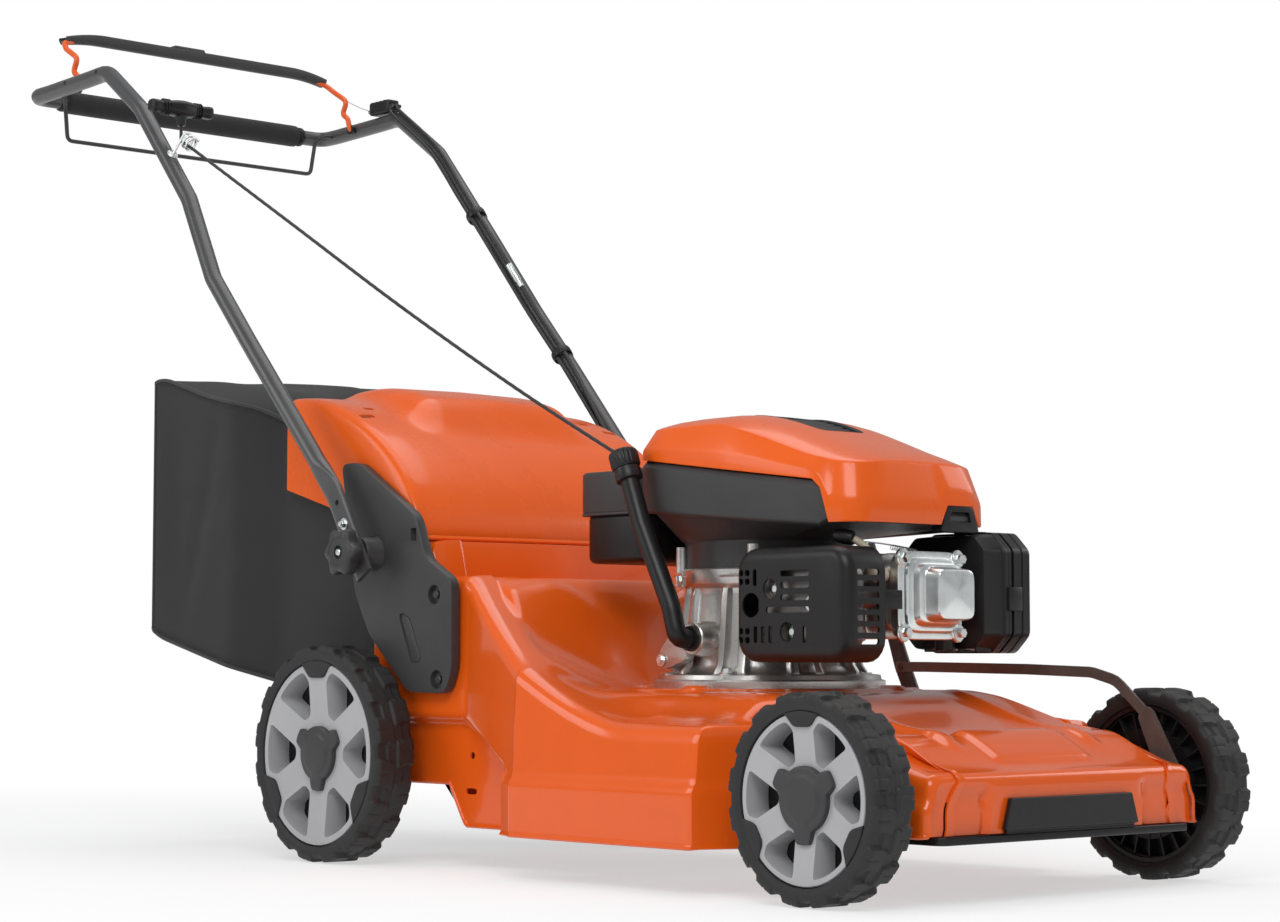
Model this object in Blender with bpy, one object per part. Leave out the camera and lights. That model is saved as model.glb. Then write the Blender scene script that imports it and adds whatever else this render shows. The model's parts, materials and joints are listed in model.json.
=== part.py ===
# Petrol lawn mower with a grass bag, as an assembly of separate pieces.
# Metres, +Z up, +X forward. Every piece is laid out from the front wheels' axis on the ground,
# and the parent empty then moves the whole machine so that the origin is under its middle.

import math

import bmesh
import bpy
from mathutils import Matrix, Vector

# Overall
WHEELBASE = 0.811
OVERALL_WIDTH = 0.585
GAP = 0.0003

# Wheels
FRONT_WHEEL_R = 0.1043
REAR_WHEEL_R = 0.1279
TYRE_WIDTH = 0.0557
FRONT_RIM_R = 0.0846
REAR_RIM_R = 0.1083
LUG_DEPTH = 0.0055
LUG_COUNT = 15
AXLE_R = 0.006
HUB_BORE_R = 0.0063
HUB_CAP_R = 0.0325
HUB_CAP_LOBE = 0.0115

# Height adjustment
CRANK_LENGTH = 0.055
CRANK_ROD_R = 0.008
STRAP_ARM = (-0.0408, 0.0750)
STRAP_HEIGHT = 0.012
STRAP_THICKNESS = 0.003
HEIGHT_LEVER_LENGTH = 0.160

# Deck
SHEET = 0.0024
DECK_WALL_GAP = 0.0148
SKIRT_Z = 0.048
LEDGE_Z = 0.110
LEDGE_OUT = 0.006
ENGINE_SEAT_Z = 0.205
FLANK_Z = 0.172
REAR_BOX_Z = 0.335
FLAP_SEAT_Z = 0.378
CHUTE_Z = 0.212
NOSE_X = 0.092
NOSE_TOP_Z = 0.128
NOSE_LOW_Z = 0.068
NOSE_HALF = 0.213

# Cutting and drive
ENGINE_X = -0.340
BLADE_R = 0.254
BLADE_Z = 0.066
BLADE_THICKNESS = 0.003
BLADE_WIDTH = 0.058
SHAFT_R = 0.0125
DRIVE_PULLEY_R = 0.024
GEARBOX_PULLEY_R = 0.028
PULLEY_Z = 0.172
BELT_WIDTH = 0.009
BELT_THICKNESS = 0.004
GEARBOX_R = 0.030

# Engine
FLANGE_R = 0.131
FLANGE_THICKNESS = 0.017
CRANKCASE_R = 0.098
CRANKCASE_Z = 0.340
CYLINDER_Z = 0.307
CYLINDER_HALF_Y = 0.048
CYLINDER_HALF_Z = 0.046
CYLINDER_FRONT_X = -0.0970
FIN_COUNT = 7
COVER_HALF_Y = 0.128
COVER_FRONT_X = -0.108
COVER_REAR_X = -0.4410
COVER_TOP_Z = 0.512
SHELL = 0.0026
FLYWHEEL_R = 0.084
STARTER_PULLEY_R = 0.040
GUARD_LENGTH = 0.153
GUARD_HEIGHT = 0.110
GUARD_DEPTH = 0.063
OIL_TUBE_R = 0.0110

# Rear flap and grass bag
FLAP_WALL = 0.0026
FLAP_REAR_RISE = 0.182
FLAP_LENGTH = 0.273
BAG_LENGTH = 0.525
BAG_TOP_Z = 0.612
BAG_HALF_FRONT = 0.211
BAG_HALF_REAR = 0.236
BAG_WALL = 0.0030

# Handle
TUBE_R = 0.0110
LEG_SPREAD = 0.262
GRIP_HALF = 0.2475
KNOB_Z = 0.365
KNOB_R = 0.030
GRIP_R = 0.0160
GRIP_HEIGHT = 1.032
GRIP_REACH = 0.800
BAIL_TOP_Z = 1.121
BAIL_ROD_R = 0.0040
ROPE_R = 0.0022
GUIDE_WIRE_R = 0.0018
CABLE_R = 0.0030

# Places worked out from the sizes above
REAR_AXLE_X = -WHEELBASE
HALF_WIDTH = OVERALL_WIDTH / 2.0
TYRE_INNER_Y = HALF_WIDTH - TYRE_WIDTH
WHEEL_Y = HALF_WIDTH - TYRE_WIDTH / 2.0
DECK_REAR_HALF = TYRE_INNER_Y - DECK_WALL_GAP
FLANK_HALF = BLADE_R + 0.023
FRONT_PIVOT = (CRANK_LENGTH, FRONT_WHEEL_R)
REAR_PIVOT = (REAR_AXLE_X + CRANK_LENGTH, REAR_WHEEL_R)
KNOB_X = REAR_AXLE_X + 0.041
GRIP_X = KNOB_X - GRIP_REACH
FLAP_HINGE_X = REAR_AXLE_X + 0.111
BAG_FRONT_X = REAR_AXLE_X + 0.0205
BAG_REAR_X = BAG_FRONT_X - BAG_LENGTH + 0.050
MIDDLE_X = (FRONT_WHEEL_R + GRIP_X - GRIP_R) / 2.0
CRANK_ARM_Y = TYRE_INNER_Y - 0.0065
STRAP_ARM_Y = CRANK_ARM_Y - 0.0076
STRAP_FRONT_Y = STRAP_ARM_Y + 0.0030 + STRAP_THICKNESS / 2.0 + GAP
LEVER_Y = FLANK_HALF + 0.0045
OIL_BOSS_Y = COVER_HALF_Y - 0.0040
AIR_FILTER_Y = CYLINDER_HALF_Y + 0.026
AIR_FILTER_X = (CYLINDER_FRONT_X - 0.108, CYLINDER_FRONT_X + 0.015)
AIR_FILTER_Z = (CYLINDER_Z - 0.063, CYLINDER_Z + 0.065)


def clear_scene():
    for old in list(bpy.data.objects):
        bpy.data.objects.remove(old, do_unlink=True)


def material(name, colour, roughness, metallic=0.0):
    mat = bpy.data.materials.new(name)
    mat.use_nodes = True
    shader = mat.node_tree.nodes["Principled BSDF"]
    shader.inputs["Base Color"].default_value = (*colour, 1.0)
    shader.inputs["Roughness"].default_value = roughness
    shader.inputs["Metallic"].default_value = metallic
    mat.diffuse_color = (*colour, 1.0)
    return mat


clear_scene()
mower = bpy.data.objects.new("mower", None)
bpy.context.scene.collection.objects.link(mower)
mower.location = (-MIDDLE_X, 0.0, 0.0)

orange_paint = material("orange_paint", (0.80, 0.13, 0.015), 0.18)
orange_plastic = material("orange_plastic", (0.80, 0.14, 0.02), 0.25)
black_plastic = material("black_plastic", (0.02, 0.02, 0.02), 0.5)
grey_plastic = material("grey_plastic", (0.06, 0.06, 0.06), 0.45)
pale_plastic = material("pale_plastic", (0.42, 0.42, 0.42), 0.45)
tyre_rubber = material("tyre_rubber", (0.02, 0.02, 0.02), 0.8)
black_steel = material("black_steel", (0.03, 0.03, 0.03), 0.4, 0.3)
bare_steel = material("bare_steel", (0.35, 0.31, 0.28), 0.35, 1.0)
zinc = material("zinc", (0.70, 0.70, 0.68), 0.3, 1.0)
cast_aluminium = material("cast_aluminium", (0.60, 0.60, 0.60), 0.45, 1.0)
black_fabric = material("black_fabric", (0.02, 0.02, 0.02), 0.9)
cream_rubber = material("cream_rubber", (0.70, 0.65, 0.50), 0.6)
foam = material("foam", (0.015, 0.015, 0.015), 0.9)


# Helpers

def place(name, data, mat, origin=(0.0, 0.0, 0.0)):
    obj = bpy.data.objects.new(name, data)
    bpy.context.scene.collection.objects.link(obj)
    obj.parent = mower
    obj.location = origin
    if mat is not None:
        data.materials.append(mat)
    return obj


def finish(name, bm, mat, origin=(0.0, 0.0, 0.0), sharp=35.0, recalculate=True):
    """Makes an object of a mesh that is laid out in the machine's frame, with its origin moved."""
    if recalculate:
        bmesh.ops.recalc_face_normals(bm, faces=bm.faces)
        if bm.calc_volume(signed=True) < 0.0:
            bmesh.ops.reverse_faces(bm, faces=bm.faces)
    bmesh.ops.translate(bm, verts=bm.verts, vec=-Vector(origin))
    mesh = bpy.data.meshes.new(name)
    bm.to_mesh(mesh)
    bm.free()
    mesh.shade_smooth()
    mesh.set_sharp_from_angle(angle=math.radians(sharp))
    return place(name, mesh, mat, origin)


def smooth(x, x0, x1, a, b):
    """Runs from a at x0 to b at x1 with level ends."""
    t = min(max((x - x0) / (x1 - x0), 0.0), 1.0)
    return a + (b - a) * t * t * (3.0 - 2.0 * t)


def ramp(x, x0, x1, a, b):
    """Runs from a at x0 to b at x1 in a straight line."""
    t = min(max((x - x0) / (x1 - x0), 0.0), 1.0)
    return a + (b - a) * t


def skin(rings, ring_closed=True, ends_closed=True, loop=False):
    """Joins rings of points with faces. A loop joins the last ring to the first."""
    bm = bmesh.new()
    rows = [[bm.verts.new(p) for p in ring] for ring in rings]
    pairs = list(zip(rows, rows[1:]))
    if loop:
        pairs.append((rows[-1], rows[0]))
    for a, b in pairs:
        count = len(a)
        for i in range(count if ring_closed else count - 1):
            j = (i + 1) % count
            bm.faces.new((a[i], a[j], b[j], b[i]))
    if ends_closed and not loop:
        bm.faces.new(list(reversed(rows[0])))
        bm.faces.new(rows[-1])
    return bm


def turned(profile, steps, centre, axis="Z"):
    """Turns a closed outline of (radius, height) points about an axis through the centre."""
    rings = []
    for k in range(steps):
        angle = 2.0 * math.pi * k / steps
        c, s = math.cos(angle), math.sin(angle)
        ring = []
        for r, h in profile:
            local = {"Z": (r * c, r * s, h), "Y": (r * s, h, r * c), "X": (h, r * c, r * s)}[axis]
            ring.append(Vector(centre) + Vector(local))
        rings.append(ring)
    bm = skin(rings, loop=True)
    bmesh.ops.remove_doubles(bm, verts=bm.verts, dist=1e-7)
    loose = [e for e in bm.edges if not e.link_faces]
    bmesh.ops.delete(bm, geom=loose, context="EDGES")
    return bm


def disc(radius, low, high, steps, centre, axis="Z"):
    return turned([(0.0, low), (radius, low), (radius, high), (0.0, high)], steps, centre, axis)


def tube_ring(outer, inner, low, high, steps, centre, axis="Z"):
    return turned([(inner, low), (outer, low), (outer, high), (inner, high)], steps, centre, axis)


def prism(outline, low, high, axis="Y"):
    """Extrudes a flat outline along an axis. The outline is (x, z), (y, z) or (x, y)."""
    def at(p, h):
        return {"Y": (p[0], h, p[1]), "X": (h, p[0], p[1]), "Z": (p[0], p[1], h)}[axis]
    return skin([[at(p, low) for p in outline], [at(p, high) for p in outline]])


def block(low, high, bevel=0.0, segments=2):
    bm = bmesh.new()
    bmesh.ops.create_cube(bm, size=1.0)
    size = Vector(high) - Vector(low)
    bmesh.ops.scale(bm, verts=bm.verts, vec=size)
    bmesh.ops.translate(bm, verts=bm.verts, vec=(Vector(high) + Vector(low)) / 2.0)
    if bevel > 0.0:
        bmesh.ops.bevel(bm, geom=bm.edges, offset=bevel, segments=segments, profile=0.5, affect="EDGES")
    return bm


def rounded(points, radius, steps=3):
    """Rounds each corner of a closed flat outline with an arc."""
    out = []
    count = len(points)
    for i in range(count):
        a, b, c = (Vector(points[(i + k) % count]) for k in (-1, 0, 1))
        u, v = (a - b).normalized(), (c - b).normalized()
        half = math.acos(max(-1.0, min(1.0, u.dot(v)))) / 2.0
        reach = min(radius / math.tan(half), (a - b).length / 2.1, (c - b).length / 2.1)
        r = reach * math.tan(half)
        middle = b + (u + v).normalized() * (r / math.sin(half))
        start, end = b + u * reach - middle, b + v * reach - middle
        turn = start.angle_signed(end)
        for k in range(steps + 1):
            out.append(tuple(middle + Matrix.Rotation(-turn * k / steps, 2) @ start))
    return out


def bent(points, radius, step_deg=26.0):
    """Rounds the inner corners of an open path in space, each with as many steps as its turn needs."""
    out = [Vector(points[0])]
    for a, b, c in zip(points, points[1:], points[2:]):
        a, b, c = Vector(a), Vector(b), Vector(c)
        u, v = (a - b).normalized(), (c - b).normalized()
        turn = math.pi - u.angle(v)
        if turn < math.radians(13.0):
            out.append(b)
            continue
        reach = min(radius * math.tan(turn / 2.0), (a - b).length / 2.1, (c - b).length / 2.1)
        steps = max(1, math.ceil(math.degrees(turn) / step_deg))
        for k in range(steps + 1):
            t = k / steps
            out.append((b + u * reach) * (1 - t) ** 2 + b * 2 * t * (1 - t) + (b + v * reach) * t ** 2)
    out.append(Vector(points[-1]))
    return out


def curve_through(points, per_span=4):
    """Reads points from one smooth curve that passes through the given ones."""
    p = [Vector(q) for q in points]
    p = [2 * p[0] - p[1]] + p + [2 * p[-1] - p[-2]]
    out = []
    for a, b, c, d in zip(p, p[1:], p[2:], p[3:]):
        for k in range(per_span):
            t = k / per_span
            out.append(0.5 * (2 * b + (c - a) * t + (2 * a - 5 * b + 4 * c - d) * t * t
                              + (3 * b - a - 3 * c + d) * t ** 3))
    out.append(p[-2])
    return out


def rod(name, points, radius, mat, resolution=2, origin=(0.0, 0.0, 0.0)):
    """A round rod, wire or tube along a path, as a curve with a bevel and filled ends."""
    curve = bpy.data.curves.new(name, "CURVE")
    curve.dimensions = "3D"
    curve.bevel_depth = radius
    curve.bevel_resolution = resolution
    curve.use_fill_caps = True
    curve.twist_mode = "MINIMUM"
    spline = curve.splines.new("POLY")
    spline.points.add(len(points) - 1)
    for point, place_at in zip(spline.points, points):
        point.co = (*(Vector(place_at) - Vector(origin)), 1.0)
    spline.use_smooth = True
    return place(name, curve, mat, origin)


def swept(path, sizes, sides=10, across=(0.0, 1.0, 0.0)):
    """Carries an ellipse along a path. Each size is its half width and its half thickness."""
    path = [Vector(p) for p in path]
    thin = Vector(across)
    rings = []
    for i, p in enumerate(path):
        before = (p - path[i - 1]).normalized() if i > 0 else None
        after = (path[i + 1] - p).normalized() if i < len(path) - 1 else None
        along = ((before or after) + (after or before)).normalized()
        thin = (thin - along * thin.dot(along)).normalized()
        wide = along.cross(thin)
        w, t = sizes[i]
        rings.append([p + wide * (w * math.cos(a)) + thin * (t * math.sin(a))
                      for a in (2.0 * math.pi * k / sides for k in range(sides))])
    return skin(rings)


def joined(*meshes):
    """Puts the faces of several meshes into one."""
    out = meshes[0]
    for other in meshes[1:]:
        mesh = bpy.data.meshes.new("joined")
        bmesh.ops.recalc_face_normals(other, faces=other.faces)
        other.to_mesh(mesh)
        other.free()
        out.from_mesh(mesh)
        bpy.data.meshes.remove(mesh)
    return out


def boolean(obj, bm, operation="DIFFERENCE"):
    """Adds a live Boolean with a hidden guide."""
    guide = finish(f"{obj.name}_guide_{len(obj.modifiers)}", bm, None)
    guide.hide_render = True
    guide.display_type = "WIRE"
    modifier = obj.modifiers.new(f"shape_{len(obj.modifiers)}", "BOOLEAN")
    modifier.operation = operation
    modifier.solver = "EXACT"
    modifier.object = guide


def shell(obj, thickness):
    """Gives an open surface its wall, on the inside of its faces."""
    modifier = obj.modifiers.new("wall", "SOLIDIFY")
    modifier.thickness = thickness
    modifier.offset = -1.0
    modifier.use_even_offset = True


def superellipse(half_x, half_y, power, steps):
    """A flat outline between an oval and a box."""
    out = []
    for k in range(steps):
        a = 2.0 * math.pi * (k + 0.5) / steps
        c, s = math.cos(a), math.sin(a)
        r = (abs(c / half_x) ** power + abs(s / half_y) ** power) ** (-1.0 / power)
        out.append((r * c, r * s))
    return out


# Deck

def deck_rear_end():
    return REAR_AXLE_X + 0.021


def wall_half(x):
    """Half the width of the deck's upper wall."""
    flank_rear = REAR_AXLE_X + 0.351
    if x < flank_rear:
        return ramp(x, REAR_AXLE_X + 0.201, flank_rear, DECK_REAR_HALF, FLANK_HALF - 0.004)
    front_x = ENGINE_X + 0.175
    narrow = smooth(x, 0.0, NOSE_X, DECK_REAR_HALF - LEDGE_OUT, NOSE_HALF - LEDGE_OUT)
    return ramp(x, front_x, front_x + 0.028, FLANK_HALF, narrow)


def skirt_half(x):
    """Half the width of the lower skirt, drawn in beside the rear wheels."""
    recess_x = REAR_AXLE_X + 0.324
    return ramp(x, recess_x - 0.010, recess_x, DECK_REAR_HALF - 0.014, wall_half(x) + LEDGE_OUT)


def shoulder_z(x):
    """Height of the rounded edge along the deck's side, steep behind the engine and then level."""
    left = ramp(x, REAR_AXLE_X + 0.191, ENGINE_X + 0.050, 1.0, 0.0)
    if x < -0.05:
        return FLANK_Z + (REAR_BOX_Z - FLANK_Z) * left ** 1.5 + flap_step(x)
    return smooth(x, -0.05, NOSE_X, FLANK_Z - 0.006, NOSE_TOP_Z)


def flap_step(x):
    """The upright step behind the shelf, up to the flap's seat."""
    step_x = REAR_AXLE_X + 0.131
    return ramp(x, step_x, step_x + 0.012, FLAP_SEAT_Z - REAR_BOX_Z, 0.0)


def middle_z(x):
    """Height of the deck's top along its middle."""
    if x < ENGINE_X:
        return smooth(x, REAR_AXLE_X + 0.206, sweep_foot_x(), REAR_BOX_Z, ENGINE_SEAT_Z) + flap_step(x)
    if x < 0.0:
        return smooth(x, ENGINE_X + 0.150, 0.0, ENGINE_SEAT_Z, NOSE_TOP_Z + 0.036)
    plate = ramp(x, 0.030, 0.035, 0.0, 0.004) * ramp(x, 0.060, 0.066, 1.0, 0.0)
    return smooth(x, 0.0, NOSE_X, NOSE_TOP_Z + 0.036, NOSE_TOP_Z) + plate


def ledge_z(x):
    return ramp(x, REAR_AXLE_X + 0.191, REAR_AXLE_X + 0.331, LEDGE_Z + 0.058, LEDGE_Z)


def skirt_z(x):
    rear = REAR_AXLE_X + 0.185
    if x < rear:
        return ramp(x, rear - 0.030, rear, 0.096, SKIRT_Z)
    return smooth(x, -0.13, 0.06, SKIRT_Z, NOSE_LOW_Z)


def rib_rise(x):
    """A pressed rib along each side of the sweep, fading out at both ends."""
    return 0.008 * smooth(x, REAR_AXLE_X + 0.226, REAR_AXLE_X + 0.256, 0.0, 1.0) * smooth(
        x, REAR_AXLE_X + 0.351, REAR_AXLE_X + 0.385, 1.0, 0.0)


def deck_section(x):
    """One cross-section, from the right skirt over the top to the left skirt."""
    w, s = wall_half(x), skirt_half(x)
    rim, top, ledge = shoulder_z(x), middle_z(x), min(ledge_z(x), shoulder_z(x) - 0.03)
    seat_half = 0.150
    half = [
        (s, skirt_z(x)), (s, ledge - 0.004), (w, ledge + 0.005),
        (w - 0.003, rim - 0.026), (w - 0.009, rim - 0.008), (w - 0.026, rim),
        ((w - 0.026) * 0.55 + seat_half * 0.45, rim + (top - rim) * 0.35 + rib_rise(x)),
        (seat_half, top),
    ]
    right = [(x, -y, z) for y, z in half]
    left = [(x, y, z) for y, z in reversed(half)]
    return right + [(x, 0.0, top)] + left


def sweep_foot_x():
    """Where the sweep behind the engine reaches the engine's seat."""
    return ENGINE_X - 0.155


def deck_stations():
    rear = REAR_AXLE_X
    back = [deck_rear_end(), rear + 0.085, rear + 0.131, rear + 0.143, rear + 0.170, rear + 0.201,
            rear + 0.226, rear + 0.256, rear + 0.286, rear + 0.314, rear + 0.324, rear + 0.351,
            rear + 0.385, rear + 0.425]
    front = [sweep_foot_x()] + [ENGINE_X + dx for dx in (0.010, 0.050, 0.100, 0.140, 0.175, 0.203, 0.240)]
    nose = [-0.055, 0.0, 0.030, 0.035, 0.060, 0.066, NOSE_X]
    return sorted(back + front + nose)


def make_deck():
    bm = skin([deck_section(x) for x in deck_stations()], ring_closed=False, ends_closed=False)
    bm.verts.ensure_lookup_table()
    count = len(deck_section(0.0))
    bm.faces.new([bm.verts[len(bm.verts) - count + k] for k in range(count)])
    bmesh.ops.recalc_face_normals(bm, faces=bm.faces)
    top = max(bm.faces, key=lambda f: f.calc_center_median().z)
    if top.normal.z < 0.0:
        bmesh.ops.reverse_faces(bm, faces=bm.faces)
    deck = finish("deck", bm, orange_paint, recalculate=False)
    shell(deck, SHEET)
    # The chute floor rises over the gearbox.
    rear = REAR_AXLE_X
    baffle = [(rear + 0.185, SKIRT_Z + 0.006), (rear + 0.188, SKIRT_Z + 0.006), (rear + 0.089, CHUTE_Z),
              (rear + 0.021, CHUTE_Z), (rear + 0.021, CHUTE_Z - 0.003), (rear + 0.087, CHUTE_Z - 0.003)]
    inner = DECK_REAR_HALF - 0.014 - SHEET / 2.0
    boolean(deck, prism(baffle, -inner, inner), "UNION")
    # Holes for the crankshaft, both pivot rods and the belt.
    boolean(deck, disc(0.050, 0.10, 0.25, 16, (ENGINE_X, 0, 0)))
    holes = [disc(r + 0.0005, -HALF_WIDTH, HALF_WIDTH, 16, (x, 0, z), "Y")
             for r, (x, z) in ((AXLE_R, FRONT_PIVOT), (CRANK_ROD_R, REAR_PIVOT))]
    boolean(deck, joined(*holes))
    boolean(deck, block((rear + 0.080, -0.045, PULLEY_Z - 0.012), (rear + 0.190, 0.045, PULLEY_Z + 0.012)))
    return deck


def make_nose_trim():
    """Black insert in the nose and the lip under it, in one moulding."""
    x0 = NOSE_X + GAP
    insert = prism([(-0.104, 0.072), (0.104, 0.072), (0.094, 0.103), (-0.094, 0.103)], x0, x0 + 0.006, "X")
    bmesh.ops.recalc_face_normals(insert, faces=insert.faces)
    trim = finish("nose_trim", insert, black_plastic)
    lip_top = NOSE_LOW_Z - GAP
    lip = prism(rounded([(0.020, -0.195), (NOSE_X + 0.004, -0.195), (NOSE_X + 0.004, 0.195), (0.020, 0.195)],
                        0.012), lip_top - 0.008, lip_top, "Z")
    boolean(trim, lip, "UNION")
    boolean(trim, block((x0, -0.100, lip_top - 0.006), (x0 + 0.0035, 0.100, 0.076)), "UNION")


# Wheels

def wheel_places():
    return (
        ("front_right", 0.0, -1, FRONT_WHEEL_R, FRONT_RIM_R),
        ("front_left", 0.0, 1, FRONT_WHEEL_R, FRONT_RIM_R),
        ("rear_right", REAR_AXLE_X, -1, REAR_WHEEL_R, REAR_RIM_R),
        ("rear_left", REAR_AXLE_X, 1, REAR_WHEEL_R, REAR_RIM_R),
    )


def tyre_mesh(tyre_r, rim_r):
    """A ring whose tread rises into lugs, with its shoulders sloping to the rim."""
    steps = LUG_COUNT * 3
    bore = (rim_r + GAP) / math.cos(0.3 * 2.0 * math.pi / LUG_COUNT)
    half = TYRE_WIDTH / 2.0
    low = tyre_r - LUG_DEPTH
    rings = []
    for k in range(steps):
        tread = low if k % 3 == 0 else tyre_r
        angle = math.pi + 2.0 * math.pi * (k // 3 + (-0.25, 0.0, 0.5)[k % 3]) / LUG_COUNT
        profile = [(bore, -half + 0.004), (low - 0.003, -half), (tread, -half + 0.006),
                   (tread, half - 0.006), (low - 0.003, half), (bore, half - 0.004)]
        rings.append([Vector((r * math.sin(angle), h, r * math.cos(angle))) for r, h in profile])
    return skin(rings, loop=True)


def rim_mesh(rim_r, side):
    """Barrel, dished web and hub boss in one turned outline. The outer side faces along side."""
    profile = [(HUB_BORE_R, -0.022), (0.019, -0.022), (0.021, 0.006), (rim_r - 0.006, 0.012),
               (rim_r - 0.004, -0.023), (rim_r, -0.023), (rim_r, 0.0245),
               (rim_r - 0.007, 0.0245), (HUB_CAP_R + HUB_CAP_LOBE + 0.002, 0.0185), (HUB_BORE_R, 0.0190)]
    return turned([(r, h * side) for r, h in profile], 18, (0, 0, 0), "Y")


def window_cutters(rim_r, side):
    """Six windows between the spokes, narrow at the hub and wide at the rim."""
    cutters = None
    inner, outer = 0.040, rim_r - 0.013
    for k in range(6):
        turn = math.radians(60.0 * k + 30.0)
        spread = [(inner, -0.16), (outer, -0.30), (outer, 0.30), (inner, 0.16)]
        flat = [(r * math.sin(turn + a), r * math.cos(turn + a)) for r, a in spread]
        window = prism(flat, -0.002 * side, 0.030 * side)
        cutters = window if cutters is None else joined(cutters, window)
    return cutters


def cap_mesh(side):
    """A domed cover with three lobes over the hub."""
    steps = 24
    rings = []
    for h, scale in ((0.0193, 1.0), (0.0235, 1.0), (0.0265, 0.88)):
        ring = []
        for k in range(steps):
            a = 2.0 * math.pi * k / steps
            r = scale * (HUB_CAP_R + HUB_CAP_LOBE * max(0.0, math.cos(3.0 * a)) ** 3)
            ring.append((r * math.sin(a), h * side, -r * math.cos(a)))
        rings.append(ring)
    return skin(rings)


def make_wheels():
    for corner, x, side, tyre_r, rim_r in wheel_places():
        centre = (x, side * WHEEL_Y, tyre_r)
        for piece, bm, mat in (("tyre", tyre_mesh(tyre_r, rim_r), tyre_rubber),
                               ("rim", rim_mesh(rim_r, side), pale_plastic),
                               ("hub_cap", cap_mesh(side), grey_plastic)):
            bmesh.ops.translate(bm, verts=bm.verts, vec=centre)
            obj = finish(f"{piece}_{corner}", bm, mat, centre)
            if piece == "rim":
                cutters = window_cutters(rim_r, side)
                bmesh.ops.translate(cutters, verts=cutters.verts, vec=centre)
                boolean(obj, cutters)


# Axles and height adjustment

def make_front_axle():
    """One bent rod: a stub in each wheel, a crank arm, and the pivot rod through the deck."""
    arm_y = CRANK_ARM_Y
    stub_y = WHEEL_Y + 0.018
    px, pz = FRONT_PIVOT
    path = [(0, -stub_y, pz), (0, -arm_y, pz), (px, -arm_y, pz), (px, arm_y, pz), (0, arm_y, pz), (0, stub_y, pz)]
    path = bent(path, 0.010)
    axle = finish("front_axle", swept(path, [(AXLE_R, AXLE_R)] * len(path), 8, (0, 0, 1)), black_steel,
                  (px, 0.0, pz))
    # The strap's triangular arm stands on the left end.
    ax, az = STRAP_ARM
    tip = (px + ax, pz + az)
    foot = rounded([(px + 0.020, pz - 0.009), (tip[0] + 0.011, tip[1] + 0.004), (tip[0], tip[1] + 0.012),
                    (tip[0] - 0.010, tip[1] - 0.002), (px - 0.016, pz - 0.009)], 0.006, 2)
    low = STRAP_ARM_Y
    boolean(axle, prism(foot, low, low + 0.0030), "UNION")
    boolean(axle, disc(0.0040, low + 0.0010, low + 0.0095, 12, (tip[0], 0, tip[1]), "Y"), "UNION")


def strap_points():
    """The strap's middle line: the rear pin on the lever, the level run, the bend and the front pin."""
    lx, lz = lever_pivot()
    rear = (lx + STRAP_ARM[0], LEVER_Y, lz + STRAP_ARM[1])
    px, pz = FRONT_PIVOT
    front = (px + STRAP_ARM[0], STRAP_FRONT_Y, pz + STRAP_ARM[1])
    return rear, front


def lever_pivot():
    """The lever's pivot on the deck's left flank, where the strap makes a parallelogram."""
    return ENGINE_X - 0.0192, FRONT_WHEEL_R + 0.051


def make_height_strap():
    rear, front = strap_points()
    bend_x = front[0] - 0.0767
    path = [(rear[0] - 0.008, rear[1], rear[2]), (rear[0] + 0.040, rear[1], rear[2]),
            (ENGINE_X + 0.180, front[1] + 0.004, rear[2] - 0.002), (bend_x, front[1], rear[2] - 0.005),
            (bend_x + 0.034, front[1], rear[2] - 0.014), (front[0] + 0.006, front[1], front[2] - 0.006)]
    path = bent(path, 0.030)
    half = STRAP_HEIGHT / 2.0
    rings = []
    for i, p in enumerate(path):
        a, b = path[max(i - 1, 0)], path[min(i + 1, len(path) - 1)]
        along = (b - a).normalized()
        across = along.cross(Vector((0, 1, 0))).normalized()
        side = Vector((0, STRAP_THICKNESS / 2.0, 0))
        rings.append([p + across * half + side, p - across * half + side,
                      p - across * half - side, p + across * half - side])
    strap = finish("height_strap", skin(rings), bare_steel, front)
    for x, y, z in (front, rear):
        boolean(strap, disc(0.0043, y - 0.02, y + 0.02, 12, (x, 0, z), "Y"))


def make_height_lever():
    """Lever on the deck's left flank, with its pin for the strap and a round grip."""
    lx, lz = lever_pivot()
    tip = (lx + STRAP_ARM[0], lz + STRAP_ARM[1])
    direction = Vector((-0.35, 0.94)).normalized()
    bare = HEIGHT_LEVER_LENGTH - 0.05
    end = (tip[0] + direction.x * bare, tip[1] + direction.y * bare)
    low = LEVER_Y + STRAP_THICKNESS / 2.0 + GAP
    outline = rounded([(lx + 0.012, lz - 0.012), (tip[0] + 0.012, tip[1] + 0.002), (end[0] + 0.008, end[1]),
                       (end[0] - 0.008, end[1]), (tip[0] - 0.012, tip[1] - 0.002), (lx - 0.012, lz - 0.012)],
                      0.006, 2)
    lever = finish("height_lever", prism(outline, low, low + 0.0030), black_steel, (lx, low, lz))
    boolean(lever, disc(0.0040, low - STRAP_THICKNESS - 0.001, low + 0.001, 12, (tip[0], 0, tip[1]), "Y"), "UNION")
    boolean(lever, disc(0.0060, FLANK_HALF + 0.0012, low + 0.001, 12, (lx, 0, lz), "Y"), "UNION")
    grip_end = (end[0] + direction.x * 0.05, end[1] + direction.y * 0.05)
    middle = low + 0.0015
    path = [(end[0] - direction.x * 0.02, middle, end[1] - direction.y * 0.02), (end[0], middle, end[1]),
            (grip_end[0], middle, grip_end[1])]
    boolean(lever, swept(path, [(0.005, 0.004), (0.008, 0.0068), (0.008, 0.0068)], 10), "UNION")


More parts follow.
